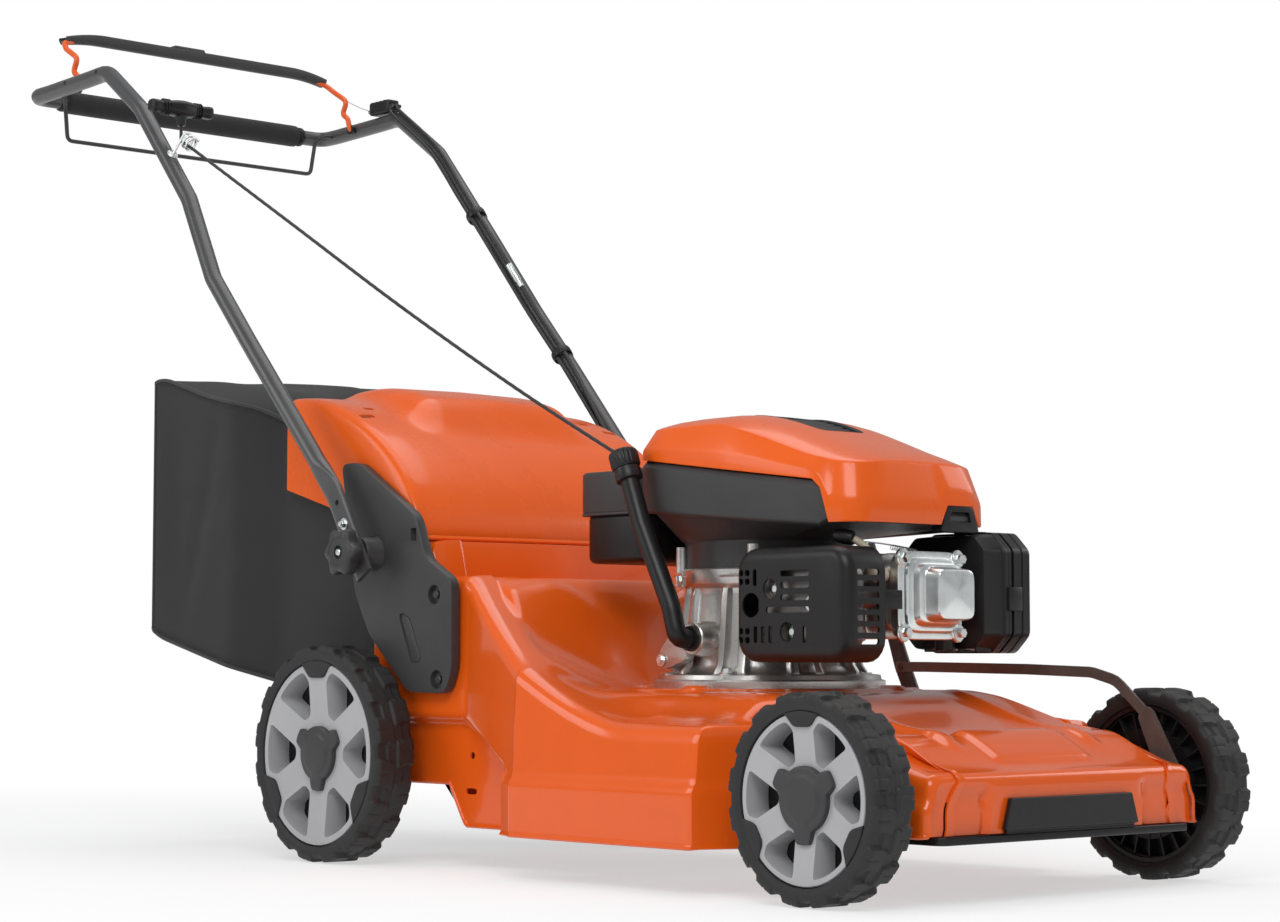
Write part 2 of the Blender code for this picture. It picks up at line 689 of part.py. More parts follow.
def make_rear_crank():
    """The rear pivot rod with an arm at each end, which carries the rear axle."""
    px, pz = REAR_PIVOT
    arm_low = TYRE_INNER_Y - 0.0080
    arm_high = arm_low + 0.0040
    origin = (px, 0.0, pz)
    rod_mesh = disc(CRANK_ROD_R, -arm_high, arm_high, 16, (px, 0, pz), "Y")
    crank = finish("rear_crank", rod_mesh, black_steel, origin)
    for side in (-1, 1):
        outline = []
        for k in range(5):
            a = math.radians(-90.0 + 180.0 * k / 4.0)
            outline.append((px + 0.014 * math.cos(a), pz + 0.014 * math.sin(a)))
        for k in range(5):
            a = math.radians(90.0 + 180.0 * k / 4.0)
            outline.append((REAR_AXLE_X + 0.014 * math.cos(a), pz + 0.014 * math.sin(a)))
        low, high = sorted((side * arm_low, side * arm_high))
        boolean(crank, prism(outline, low, high), "UNION")
    boolean(crank, disc(AXLE_R + GAP, -HALF_WIDTH, HALF_WIDTH, 16, (REAR_AXLE_X, 0, pz), "Y"))


def make_rear_axle():
    stub_y = WHEEL_Y + 0.018
    place_at = (REAR_AXLE_X, 0.0, REAR_WHEEL_R)
    finish("rear_axle", disc(AXLE_R, -stub_y, stub_y, 16, place_at, "Y"), bare_steel, place_at)


# Drive under the deck

def gearbox_pulley_x():
    return REAR_AXLE_X + 0.030


def make_gearbox():
    """Two cast halves round the axle, with a neck that holds the input shaft upright."""
    z = REAR_WHEEL_R
    profile = [(AXLE_R + GAP, -0.048), (0.016, -0.048), (GEARBOX_R, -0.020), (GEARBOX_R, 0.020), (0.016, 0.048),
               (AXLE_R + GAP, 0.048)]
    box = finish("gearbox", turned(profile, 14, (REAR_AXLE_X, 0, z), "Y"), cast_aluminium, (REAR_AXLE_X, 0, z))
    x = gearbox_pulley_x()
    neck = disc(0.012, z - 0.010, PULLEY_Z - 0.0085, 16, (x, 0, 0))
    boolean(box, neck, "UNION")
    web = block((REAR_AXLE_X + 0.015, -0.010, z - 0.010), (x, 0.010, z + 0.012))
    boolean(box, web, "UNION")
    boolean(box, disc(AXLE_R + GAP, -0.06, 0.06, 16, (REAR_AXLE_X, 0, z), "Y"))
    boolean(box, disc(0.0054, z + 0.010, PULLEY_Z, 16, (x, 0, 0)))


def pulley_profile(radius, bore, z):
    """A wheel with a groove for the belt between its two flanges."""
    return [(bore, z - 0.007), (radius + 0.004, z - 0.007), (radius + 0.004, z - 0.0052), (radius, z - 0.0048),
            (radius, z + 0.0048), (radius + 0.004, z + 0.0052), (radius + 0.004, z + 0.007), (bore, z + 0.007)]


def make_gearbox_pulley():
    """Pulley with its input shaft, which drops into the gearbox's neck."""
    x = gearbox_pulley_x()
    profile = pulley_profile(GEARBOX_PULLEY_R, 0.0, PULLEY_Z)
    profile = [(0.0, PULLEY_Z - 0.030), (0.0050, PULLEY_Z - 0.030), (0.0050, PULLEY_Z - 0.007)] + profile[1:]
    finish("gearbox_pulley", turned(profile, 12, (x, 0, 0)), black_steel, (x, 0.0, PULLEY_Z))


def make_drive_belt():
    """A flat belt round both pulleys, straight on its two runs."""
    x0, x1 = gearbox_pulley_x(), ENGINE_X
    r0, r1 = GEARBOX_PULLEY_R, DRIVE_PULLEY_R
    lean = math.asin((r0 - r1) / (x1 - x0))

    def outline(extra):
        points = []
        steps = 9
        for k in range(steps + 1):
            a = math.pi / 2.0 - lean + (math.pi + 2.0 * lean) * k / steps
            points.append((x0 + (r0 + extra) * math.cos(a), (r0 + extra) * math.sin(a)))
        for k in range(steps + 1):
            a = -math.pi / 2.0 - lean + (math.pi + 2.0 * lean) * k / steps
            points.append((x1 + (r1 + extra) * math.cos(a), (r1 + extra) * math.sin(a)))
        return points
    clear = 0.0010
    inner, outer = outline(clear), outline(clear + BELT_THICKNESS)
    low, high = PULLEY_Z - BELT_WIDTH / 2.0, PULLEY_Z + BELT_WIDTH / 2.0
    rings = []
    for a, b in zip(inner, outer):
        rings.append([(*a, low), (*b, low), (*b, high), (*a, high)])
    finish("drive_belt", skin(rings, loop=True), black_plastic)


def make_crankshaft():
    """One straight shaft from the blade to the starter's cup."""
    low, high = BLADE_Z - BLADE_THICKNESS / 2.0 - 0.006, CRANKCASE_Z + 0.052
    profile = [(0.0, low), (0.0100, low), (0.0100, BLADE_Z + 0.020), (SHAFT_R, BLADE_Z + 0.022),
               (SHAFT_R, CRANKCASE_Z - 0.004), (0.0100, CRANKCASE_Z), (0.0100, high), (0.0, high)]
    finish("crankshaft", turned(profile, 12, (ENGINE_X, 0, 0)), bare_steel, (ENGINE_X, 0.0, BLADE_Z))


def make_blade_adapter():
    """Hub that clamps the blade, with the drive pulley above it on one sleeve."""
    bore = SHAFT_R + GAP
    z = BLADE_Z + BLADE_THICKNESS / 2.0 + GAP
    low_bore = 0.0100 + GAP
    grooves = pulley_profile(DRIVE_PULLEY_R, bore, PULLEY_Z)[1:]
    profile = [(low_bore, z), (0.034, z), (0.034, z + 0.005), (0.019, z + 0.009), (0.019, PULLEY_Z - 0.007)]
    profile += grooves + [(bore, BLADE_Z + 0.0215), (low_bore, BLADE_Z + 0.0192)]
    finish("blade_adapter", turned(profile, 12, (ENGINE_X, 0, 0)), cast_aluminium, (ENGINE_X, 0.0, z))


def blade_section(y):
    """The bar's section at a distance from the shaft: sharpened in front, turned up behind."""
    half, t = BLADE_WIDTH / 2.0, BLADE_THICKNESS / 2.0
    reach = abs(y) / BLADE_R
    w = half * ramp(reach, 0.62, 0.70, 0.80, 1.0)
    edge = ramp(reach, 0.62, 0.70, 0.001, 0.012)
    lift = ramp(reach, 0.66, 0.74, 0.0, 0.016)
    points = [(w, -t * 0.2), (w - edge, -t), (-w * 0.45, -t), (-w, -t + lift),
              (-w, t + lift), (-w * 0.45, t), (w - edge, t), (w, t * 0.2)]
    if y < 0.0:
        points = [(-points[(3 - k) % 8][0], points[(3 - k) % 8][1]) for k in range(8)]
    return [(ENGINE_X + x, y, BLADE_Z + z) for x, z in points]


def make_blade():
    """Steel bar with sharpened leading edges and tips turned up as fans."""
    reach = math.sqrt(BLADE_R ** 2 - (BLADE_WIDTH / 2.0) ** 2)
    shares = (0.10, 0.61, 0.66, 0.71, 0.75, 1.0)
    stations = [-reach * k for k in reversed(shares)] + [reach * k for k in shares]
    blade = finish("blade", skin([blade_section(y) for y in stations]), bare_steel, (ENGINE_X, 0.0, BLADE_Z))
    boolean(blade, disc(0.0100 + GAP, BLADE_Z - 0.02, BLADE_Z + 0.02, 16, (ENGINE_X, 0, 0)))


# Engine

def make_crankcase():
    """Round base flange, tapering body with upright ribs, and the pad for the cylinder."""
    steps = 32
    base = ENGINE_SEAT_Z + GAP
    levels = ((base, FLANGE_R, 0.0), (base + FLANGE_THICKNESS, FLANGE_R, 0.0),
              (base + FLANGE_THICKNESS + 0.001, FLANGE_R - 0.012, 0.0),
              (base + 0.033, CRANKCASE_R + 0.002, 0.005), (CRANKCASE_Z - 0.026, CRANKCASE_R - 0.006, 0.005),
              (CRANKCASE_Z - 0.010, CRANKCASE_R - 0.001, 0.0), (CRANKCASE_Z, CRANKCASE_R - 0.001, 0.0))
    rings = []
    for z, r, rib in levels:
        ring = []
        for k in range(steps):
            a = 2.0 * math.pi * k / steps
            rr = r + (rib if k % 4 == 0 else 0.0)
            ring.append((ENGINE_X + rr * math.cos(a), rr * math.sin(a), z))
        rings.append(ring)
    case = finish("crankcase", skin(rings), cast_aluminium)
    pad = block((ENGINE_X + 0.050, -CYLINDER_HALF_Y - 0.006, CYLINDER_Z - CYLINDER_HALF_Z - 0.004),
                (ENGINE_X + CRANKCASE_R + 0.008, CYLINDER_HALF_Y + 0.006, CRANKCASE_Z - 0.001), 0.006, 1)
    boolean(case, pad, "UNION")
    boss = disc(0.018, -OIL_BOSS_Y, -0.060, 14, (oil_foot()[0], 0, oil_foot()[2]), "Y")
    boolean(case, boss, "UNION")
    boolean(case, disc(SHAFT_R + GAP, 0.15, 0.40, 20, (ENGINE_X, 0, 0)))


def make_cylinder():
    """Finned barrel and head. The fins stand across the bore, which runs forward."""
    rear = ENGINE_X + CRANKCASE_R + 0.008 + GAP
    front = CYLINDER_FRONT_X
    outline = rounded([(-1, -1), (1, -1), (1, 1), (-1, 1)], 0.35, 1)
    pitch = (front - 0.014 - rear - 0.006) / FIN_COUNT
    stations = [(rear, 0.78), (rear + 0.006, 0.78)]
    for k in range(FIN_COUNT):
        x = rear + 0.006 + pitch * k
        stations += [(x + pitch * share, scale)
                     for share, scale in ((0.25, 0.78), (0.30, 1.0), (0.70, 1.0), (0.75, 0.78))]
    stations += [(front - 0.012, 0.78), (front - 0.011, 1.0), (front, 1.0)]
    rings = []
    for x, scale in stations:
        half_y, half_z = CYLINDER_HALF_Y * scale, CYLINDER_HALF_Z * scale
        rings.append([(x, y * half_y, CYLINDER_Z + z * half_z) for y, z in outline])
    finish("cylinder", skin(rings), cast_aluminium)


def make_valve_cover():
    """Pressed cover: a flange plate, a rounded step and the raised box, with four bolt heads."""
    x = CYLINDER_FRONT_X + GAP
    square = [(-1, -1), (1, -1), (1, 1), (-1, 1)]
    levels = ((0.0, 0.0500, 0.0470), (0.0060, 0.0500, 0.0470), (0.0065, 0.0400, 0.0380), (0.0160, 0.0370, 0.0350),
              (0.0165, 0.0290, 0.0300), (0.0300, 0.0280, 0.0290), (0.0330, 0.0250, 0.0260))
    rings = []
    outline = rounded(square, 0.30, 2)
    for h, a, b in levels:
        rings.append([(x + h, y * a, CYLINDER_Z + z * b) for y, z in outline])
    cover = finish("valve_cover", skin(rings), zinc)
    bolts = None
    for y in (-1, 1):
        for z in (-1, 1):
            head = disc(0.0060, 0.004, 0.0120, 6, (x, y * 0.0425, CYLINDER_Z + z * 0.0395), "X")
            bolts = head if bolts is None else joined(bolts, head)
    boolean(cover, bolts, "UNION")


def guard_low():
    return ENGINE_X + 0.099, -(CYLINDER_HALF_Y + GUARD_DEPTH + 0.029), CYLINDER_Z - 0.071


def make_muffler():
    """Pressed silencer box with its outlet neck, bolted to the head inside the guard."""
    x, y, z = guard_low()
    low = (x + 0.014, y + 0.012, z + 0.012)
    high = (x + GUARD_LENGTH - 0.014, y + 0.050, z + GUARD_HEIGHT - 0.012)
    box = finish("muffler", block(low, high, 0.008, 2), black_steel)
    neck_x = high[0] - 0.035
    boolean(box, disc(0.014, high[1] - 0.006, -CYLINDER_HALF_Y - GAP, 16, (neck_x, 0, CYLINDER_Z), "Y"), "UNION")


def make_muffler_guard():
    """Perforated cover round the muffler, open towards the cylinder."""
    x, y, z = guard_low()
    high = (x + GUARD_LENGTH, y + GUARD_DEPTH, z + GUARD_HEIGHT)
    guard = finish("muffler_guard", block((x, y, z), (high[0], high[1] + 0.02, high[2]), 0.014, 2), black_plastic)
    wall = 0.003
    boolean(guard, block((x - 0.01, high[1], z - 0.01), (high[0] + 0.01, high[1] + 0.03, high[2] + 0.01)))
    room = high[0] - wall, high[1] + 0.01, high[2] - wall
    boolean(guard, block((x + wall, y + wall, z + wall), room, 0.011, 1))
    face = y - 0.01, y + wall + 0.004
    slots = None

    def add(mesh):
        nonlocal slots
        slots = mesh if slots is None else joined(slots, mesh)
    for k in range(4):
        low_z = z + 0.033 + 0.014 * k + (0.004 if k > 0 else 0.0)
        add(block((x + 0.064, face[0], low_z), (x + 0.104, face[1], low_z + 0.007)))
    for k in range(2):
        low_z = z + 0.024 + 0.055 * k
        add(block((x + 0.008 + 0.0, face[0], low_z), (x + 0.016, face[1], low_z + 0.018)))
        add(block((x + 0.020 + 0.0, face[0], low_z), (x + 0.028, face[1], low_z + 0.018)))
    for k in range(2):
        add(block((x + 0.036 + 0.012 * k, face[0], z + 0.022), (x + 0.042 + 0.012 * k, face[1], z + 0.040)))
    for dx, dz, r in ((0.022, 0.060, 0.0105), (0.050, 0.074, 0.0085)):
        add(disc(r, face[0], face[1], 10, (x + dx, 0, z + dz), "Y"))
    front = high[0] - wall - 0.004, high[0] + 0.01
    for k in range(7):
        low_z = z + 0.024 + 0.0098 * k
        add(block((front[0], y + 0.018, low_z), (front[1], y + 0.048, low_z + 0.0055)))
    boolean(guard, slots)
    for tab_x, reach in ((x, CYLINDER_HALF_Y + 0.006), (high[0] - wall, CYLINDER_HALF_Y + 0.002)):
        tab = block((tab_x, high[1] - 0.006, CYLINDER_Z - 0.015), (tab_x + wall, -reach - GAP, CYLINDER_Z + 0.005))
        boolean(guard, tab, "UNION")


def make_plug_lead():
    """Spark plug boot on the head, with its lead up to the shroud, in one moulding."""
    x = CYLINDER_FRONT_X - 0.020
    y = -CYLINDER_HALF_Y - GAP
    z = CYLINDER_Z + 0.022
    path = [(x, y, z), (x, y - 0.010, z), (x, y - 0.018, z + 0.005), (x - 0.001, y - 0.020, z + 0.018),
            (x - 0.004, y - 0.024, z + 0.029), (x - 0.010, y - 0.036, z + 0.038)]
    sizes = [(r, r) for r in (0.0080, 0.0085, 0.0080, 0.0065, 0.0045, 0.0040)]
    finish("plug_lead", swept(path, sizes, 8, (1, 0, 0)), cream_rubber)


def make_carburettor():
    x0 = CYLINDER_FRONT_X - 0.050
    y0 = CYLINDER_HALF_Y + GAP
    high = x0 + 0.036, AIR_FILTER_Y - GAP, CYLINDER_Z + 0.022
    body = finish("carburettor", block((x0, y0, CYLINDER_Z - 0.020), high, 0.004, 1), black_plastic)
    bowl = disc(0.0115, CYLINDER_Z - 0.058, CYLINDER_Z - 0.015, 12, (x0 + 0.018, y0 + 0.0125, 0))
    boolean(body, bowl, "UNION")


def air_filter_outline(inset):
    x0, x1 = AIR_FILTER_X
    z0, z1 = AIR_FILTER_Z
    c = 0.020
    return [(x0 + inset, z0 + c), (x0 + c, z0 + inset), (x1 - c, z0 + inset), (x1 - inset, z0 + c),
            (x1 - inset, z1 - c), (x1 - c, z1 - inset), (x0 + c, z1 - inset), (x0 + inset, z1 - c)]


def make_air_filter_base():
    """Tray of the air filter, stepped out to the rim that the cover closes on."""
    y = AIR_FILTER_Y
    levels = ((y, 0.004), (y + 0.030, 0.002), (y + 0.031, -0.000), (y + 0.036, -0.000))
    rings = [[(x, h, z) for x, z in air_filter_outline(inset)] for h, inset in levels]
    base = finish("air_filter_base", skin(rings), black_plastic)
    x0, x1 = AIR_FILTER_X
    z0, z1 = AIR_FILTER_Z
    boolean(base, block((x0 + 0.010, y + 0.006, z0 + 0.012), (x1 - 0.010, y + 0.05, z1 - 0.012), 0.008, 1))


def make_air_filter_cover():
    """Cover with grooved sides and a chamfered face, with its hinge at the bottom edge."""
    y = AIR_FILTER_Y + 0.036 + GAP
    levels = ((y, 0.0), (y + 0.004, 0.0), (y + 0.0045, 0.003), (y + 0.008, 0.003), (y + 0.0085, 0.0),
              (y + 0.034, 0.0), (y + 0.046, 0.010))
    rings = [[(x, h, z) for x, z in air_filter_outline(inset)] for h, inset in levels]
    origin = ((AIR_FILTER_X[0] + AIR_FILTER_X[1]) / 2.0, y, AIR_FILTER_Z[0])
    cover = finish("air_filter_cover", skin(rings), black_plastic, origin)
    x0, x1 = AIR_FILTER_X
    z0, z1 = AIR_FILTER_Z
    boolean(cover, block((x0 + 0.010, y - 0.02, z0 + 0.012), (x1 - 0.010, y + 0.036, z1 - 0.012), 0.008, 1))


def oil_foot():
    """Where the filler tube meets its boss on the crankcase."""
    return ENGINE_X + 0.004, -OIL_BOSS_Y - GAP, 0.262


def oil_tube_path():
    fx, fy, fz = oil_foot()
    y = -OIL_BOSS_Y - 0.0200
    return [(fx, fy, fz), (fx, y, fz), (fx - 0.010, y, fz + 0.034),
            (fx - 0.0595, y, fz + 0.128), (fx - 0.0840, y, fz + 0.190)]


def make_oil_tube():
    """Filler tube from the crankcase up to the dipstick, hollow all the way."""
    path = bent(oil_tube_path(), 0.030)
    steps = 8
    outer = swept(path, [(OIL_TUBE_R, OIL_TUBE_R)] * len(path), steps, (1, 0, 0))
    inner_r = OIL_TUBE_R - 0.0022
    tube = finish("oil_filler_tube", outer, black_plastic)
    first = path[0] - (path[1] - path[0]).normalized() * 0.002
    last = path[-1] + (path[-1] - path[-2]).normalized() * 0.002
    bore = [first] + path[1:-1] + [last]
    boolean(tube, swept(bore, [(inner_r, inner_r)] * len(bore), steps, (1, 0, 0)))


def make_dipstick():
    """Cap with a fluted edge on the filler tube, and the flat stick below it."""
    path = oil_tube_path()
    top = Vector(path[-1])
    up = (top - Vector(path[-2])).normalized()
    steps = 16
    side = Vector((0, 1, 0))
    other = up.cross(side)
    levels = ((-0.046, 0.0022), (0.0006, 0.0022), (0.0006, 0.0155),
              (0.004, 0.0170), (0.018, 0.0170), (0.022, 0.0130))
    rings = []
    for h, r in levels:
        ring = []
        for k in range(steps):
            a = 2.0 * math.pi * k / steps
            rr = r * (1.0 if k % 2 == 0 or r < 0.016 else 0.94)
            ring.append(top + up * h + side * (rr * math.cos(a)) + other * (rr * math.sin(a)))
        rings.append(ring)
    finish("dipstick", skin(rings), black_plastic, top)


def seam_z(x):
    """The line on the side where the top cover meets the shroud."""
    return ramp(x, COVER_REAR_X, -0.130, 0.465, 0.426) - ramp(x, -0.150, COVER_FRONT_X, 0.0, 0.026)


def cover_outline(inset, power=5.0, steps=30):
    """The plan of the engine's covers, a little narrower at the front."""
    half_x = (COVER_FRONT_X - COVER_REAR_X) / 2.0 - inset
    middle = (COVER_FRONT_X + COVER_REAR_X) / 2.0
    out = []
    for x, y in superellipse(half_x, COVER_HALF_Y - inset, power, steps):
        out.append((middle + x, y * ramp(x, 0.0, half_x, 1.0, 0.88)))
    return out


def make_shroud():
    """Blower housing: a round neck on the crankcase, stepped out to the wall under the top cover."""
    neck = []
    for x, y in cover_outline(0.0):
        a = math.atan2(y, x - ENGINE_X)
        r = FLYWHEEL_R + 0.010
        neck.append((ENGINE_X + r * math.cos(a), r * math.sin(a)))
    wide = cover_outline(0.0)
    low_z = [ramp(x, COVER_REAR_X, COVER_FRONT_X, 0.408, 0.380) for x, _ in wide]
    inner = cover_outline(0.006)
    rings = [[(x, y, CRANKCASE_Z + GAP) for x, y in neck],
             [(x, y, 0.374) for x, y in neck],
             [(x, y, z - 0.004) for (x, y), z in zip(inner, low_z)],
             [(x, y, z) for (x, y), z in zip(wide, low_z)],
             [(x, y, max(seam_z(x), z + 0.006)) for (x, y), z in zip(wide, low_z)]]
    bm = skin(rings, ends_closed=False)
    face_out(bm, Vector((ENGINE_X, 0.0, 0.40)))
    shroud = finish("shroud", bm, grey_plastic, recalculate=False)
    shell(shroud, SHELL)
    # A bridge across the housing holds the starter pulley's pin.
    z = starter_z() + 0.016
    inner = COVER_HALF_Y - SHELL / 2.0
    boolean(shroud, block((ENGINE_X - 0.014, -inner, z), (ENGINE_X + 0.014, inner, z + 0.004)), "UNION")
    boolean(shroud, disc(0.0053, starter_z() - 0.002, z + 0.001, 14, (ENGINE_X, 0, 0)), "UNION")
    hole = rope_exit()
    boolean(shroud, disc(0.006, hole[0] - 0.02, hole[0] + 0.02, 10, (0, hole[1], hole[2]), "X"))


def face_out(bm, centre):
    """Turns an open surface so that its faces look away from a point inside it."""
    bmesh.ops.recalc_face_normals(bm, faces=bm.faces)
    total = sum((f.calc_center_median() - centre).dot(f.normal) * f.calc_area() for f in bm.faces)
    if total < 0.0:
        bmesh.ops.reverse_faces(bm, faces=bm.faces)


def rope_exit():
    return COVER_REAR_X, -0.092, CRANKCASE_Z + 0.1075


def make_engine_cover():
    """Orange top cover: straight sides on the seam, a chamfered shoulder and a crown that falls forward."""
    wide = cover_outline(0.0)

    def crown(x, y, inset):
        fall = smooth(x, ENGINE_X + 0.020, COVER_FRONT_X, 0.0, 0.052)
        rear = smooth(x, COVER_REAR_X, COVER_REAR_X + 0.060, 0.020, 0.0)
        return COVER_TOP_Z - fall - rear - 0.006 * (y / COVER_HALF_Y) ** 2 - inset
    rings = []
    low = [seam_z(x) + 2.0 * GAP for x, _ in wide]
    floor = [ramp(x, COVER_REAR_X, COVER_FRONT_X, 0.408, 0.380) + 0.006 + 2.0 * GAP for x, _ in wide]
    low = [max(a, b) for a, b in zip(low, floor)]
    rings.append([(x, y, z) for (x, y), z in zip(wide, low)])
    rings.append([(x, y, z + 0.004) for (x, y), z in zip(wide, low)])
    for inset, drop in ((0.0005, 0.030), (0.014, 0.009), (0.030, 0.003), (0.070, 0.0)):
        plan = cover_outline(inset, 5.0 - 30.0 * inset)
        rings.append([(x, y, max(crown(x, y, drop), z + 0.006)) for (x, y), z in zip(plan, low)])
    bm = skin(rings, ends_closed=False)
    bm.verts.ensure_lookup_table()
    count = len(wide)
    top = bm.faces.new([bm.verts[len(bm.verts) - count + k] for k in range(count)])
    bmesh.ops.poke(bm, faces=[top])
    face_out(bm, Vector((ENGINE_X + 0.06, 0.0, 0.44)))
    cover = finish("engine_cover", bm, orange_plastic, recalculate=False)
    shell(cover, SHELL)
    boolean(cover, block((ENGINE_X + 0.034, -0.036, 0.44), (ENGINE_X + 0.100, 0.036, 0.55)))
    window = block((COVER_FRONT_X - 0.020, 0.030, 0.360), (COVER_FRONT_X + 0.02, 0.078, 0.405))
    boolean(cover, window)


def make_flywheel():
    """Rim, web and fan blades, on the crankshaft's taper."""
    z = CRANKCASE_Z + 0.004
    profile = [(0.0100 + GAP, z), (0.024, z), (0.026, z + 0.008), (FLYWHEEL_R - 0.016, z + 0.008),
               (FLYWHEEL_R - 0.014, z), (FLYWHEEL_R, z), (FLYWHEEL_R, z + 0.016), (0.026, z + 0.016),
               (0.022, z + 0.030), (0.0100 + GAP, z + 0.030)]
    wheel = finish("flywheel", turned(profile, 12, (ENGINE_X, 0, 0)), cast_aluminium, (ENGINE_X, 0.0, z))
    blades = None
    for k in range(6):
        blade = block((0.036, -0.0012, z + 0.014), (FLYWHEEL_R - 0.004, 0.0012, z + 0.028))
        turn = Matrix.Rotation(math.radians(60.0 * k), 4, "Z")
        bmesh.ops.rotate(blade, verts=blade.verts, cent=(0.060, 0, 0), matrix=Matrix.Rotation(0.35, 3, "Z"))
        bmesh.ops.transform(blade, verts=blade.verts, matrix=Matrix.Translation((ENGINE_X, 0, 0)) @ turn)
        blades = blade if blades is None else joined(blades, blade)
    boolean(wheel, blades, "UNION")


def starter_z():
    return CRANKCASE_Z + 0.060


def make_starter_pulley():
    """Grooved pulley that the rope winds on, above the crankshaft's end."""
    z = starter_z()
    r = STARTER_PULLEY_R
    profile = [(0.0056, z), (r + 0.006, z), (r + 0.006, z + 0.002), (r, z + 0.004), (r, z + 0.010),
               (r + 0.006, z + 0.012), (r + 0.006, z + 0.014), (0.0056, z + 0.014)]
    finish("starter_pulley", turned(profile, 12, (ENGINE_X, 0, 0)), black_plastic, (ENGINE_X, 0.0, z))


def make_fuel_tank():
    """Moulded tank behind the shroud: a rounded body with the wider lip of its top half."""
    x0, x1 = COVER_REAR_X - 0.106, COVER_REAR_X - 0.0008
    levels = ((0.352, 0.010, 0.006), (0.358, 0.004, 0.002), (0.402, 0.004, 0.002), (0.404, 0.0, 0.0),
              (0.440, 0.0, 0.0), (0.448, 0.008, 0.006))
    rings = []
    for z, a, b in levels:
        corners = [(x0 + a, -0.100 + a), (x1 - b, -0.100 + a), (x1 - b, 0.100 - a), (x0 + a, 0.100 - a)]
        rings.append([(x, y, z) for x, y in rounded(corners, 0.016, 3)])
    finish("fuel_tank", skin(rings), grey_plastic)


def make_fuel_cap():
    x, y, z = COVER_REAR_X - 0.055, 0.045, 0.448 + GAP
    steps = 20
    rings = []
    for h, r in ((0.0, 0.024), (0.003, 0.026), (0.015, 0.026), (0.018, 0.022)):
        rings.append([(x + r * (1.0 if k % 2 == 0 else 0.95) * math.cos(2 * math.pi * k / steps),
                       y + r * (1.0 if k % 2 == 0 else 0.95) * math.sin(2 * math.pi * k / steps), z + h)
                      for k in range(steps)])
    finish("fuel_cap", skin(rings), black_plastic, (x, y, z))


# Rear flap and grass bag

def flap_profile(t):
    """A point on the flap's back, from its hinge edge at 0 to its rear edge at 1."""
    a = t * math.pi / 2.0
    x = FLAP_HINGE_X - FLAP_LENGTH * (1.0 - math.cos(a)) ** 0.80
    return x, FLAP_SEAT_Z + 0.006 + FLAP_REAR_RISE * math.sin(a) ** 0.95


def flap_half():
    return DECK_REAR_HALF + 0.0002


def make_rear_flap():
    """Hood over the bag's mouth, with side walls and a raised hand-hold in its middle."""
    half = flap_half()
    wing_low = FLAP_SEAT_Z + 0.072
    rings = []
    for k in range(9):
        t = k / 8.0
        x, z = flap_profile(t)
        low = min(ramp(x, FLAP_HINGE_X, FLAP_HINGE_X - FLAP_LENGTH, FLAP_SEAT_Z - 0.004, wing_low), z - 0.008)
        hump = smooth(x, FLAP_HINGE_X - 0.105, FLAP_HINGE_X - 0.128, 0.0, 1.0)
        rise = hump * ramp(x, FLAP_HINGE_X - 0.128, FLAP_HINGE_X - FLAP_LENGTH, 0.030, 0.016)
        side = [(half, low), (half, z - 0.020), (half - 0.006, z - 0.006), (half - 0.020, z), (0.125, z),
                (0.100, z + rise), (0.050, z + rise * 1.05)]
        rings.append([(x, -y, h) for y, h in side] + [(x, y, h) for y, h in reversed(side)])
    bm = skin(rings, ring_closed=False, ends_closed=False)
    face_out(bm, Vector((FLAP_HINGE_X - 0.16, 0.0, FLAP_SEAT_Z)))
    hinge = (FLAP_HINGE_X, 0.0, FLAP_SEAT_Z)
    flap = finish("rear_flap", bm, orange_plastic, hinge, recalculate=False)
    shell(flap, FLAP_WALL)


def bag_outline():
    """The bag's side view, from its front bottom corner round to its front top corner."""
    x0, x1 = BAG_FRONT_X, BAG_REAR_X
    return [(x0 - 0.075, 0.178), (x1 + 0.028, 0.268), (x1, 0.286), (x1 + 0.006, BAG_TOP_Z - 0.012),
            (x1 + 0.020, BAG_TOP_Z), (x0 - 0.190, 0.545), (x0 - 0.062, 0.470), (x0, 0.366), (x0, CHUTE_Z - 0.018)]


def bag_half(x):
    return ramp(x, BAG_FRONT_X - 0.210, BAG_FRONT_X - 0.290, BAG_HALF_FRONT, BAG_HALF_REAR)


def make_grass_bag():
    """Fabric bag with its mouth against the deck's chute."""
    outline = rounded(bag_outline(), 0.020, 2)
    splits = [BAG_REAR_X - 1.0, BAG_FRONT_X - 0.290, BAG_FRONT_X - 0.210, 1.0]
    bm = bmesh.new()
    face = bm.faces.new([bm.verts.new((x, -1.0, z)) for x, z in outline])
    moved = bmesh.ops.extrude_face_region(bm, geom=[face])
    top = [v for v in moved["geom"] if isinstance(v, bmesh.types.BMVert)]
    bmesh.ops.translate(bm, verts=top, vec=(0, 2.0, 0))
    for x in splits[1:3]:
        everything = bm.verts[:] + bm.edges[:] + bm.faces[:]
        bmesh.ops.bisect_plane(bm, geom=everything, plane_co=(x, 0, 0), plane_no=(1, 0, 0))
    inner = bm.copy()
    for v in bm.verts:
        v.co.y *= bag_half(v.co.x)
    bag = finish("grass_bag", bm, black_fabric)
    centre = Vector(((BAG_FRONT_X + BAG_REAR_X) / 2.0, 0.0, 0.39))
    for v in inner.verts:
        v.co.y *= bag_half(v.co.x) - BAG_WALL
        v.co.x = centre.x + (v.co.x - centre.x) * 0.978
        v.co.z = centre.z + (v.co.z - centre.z) * 0.972
    boolean(bag, inner)
    low, high = mouth_box()
    boolean(bag, block(low, high))


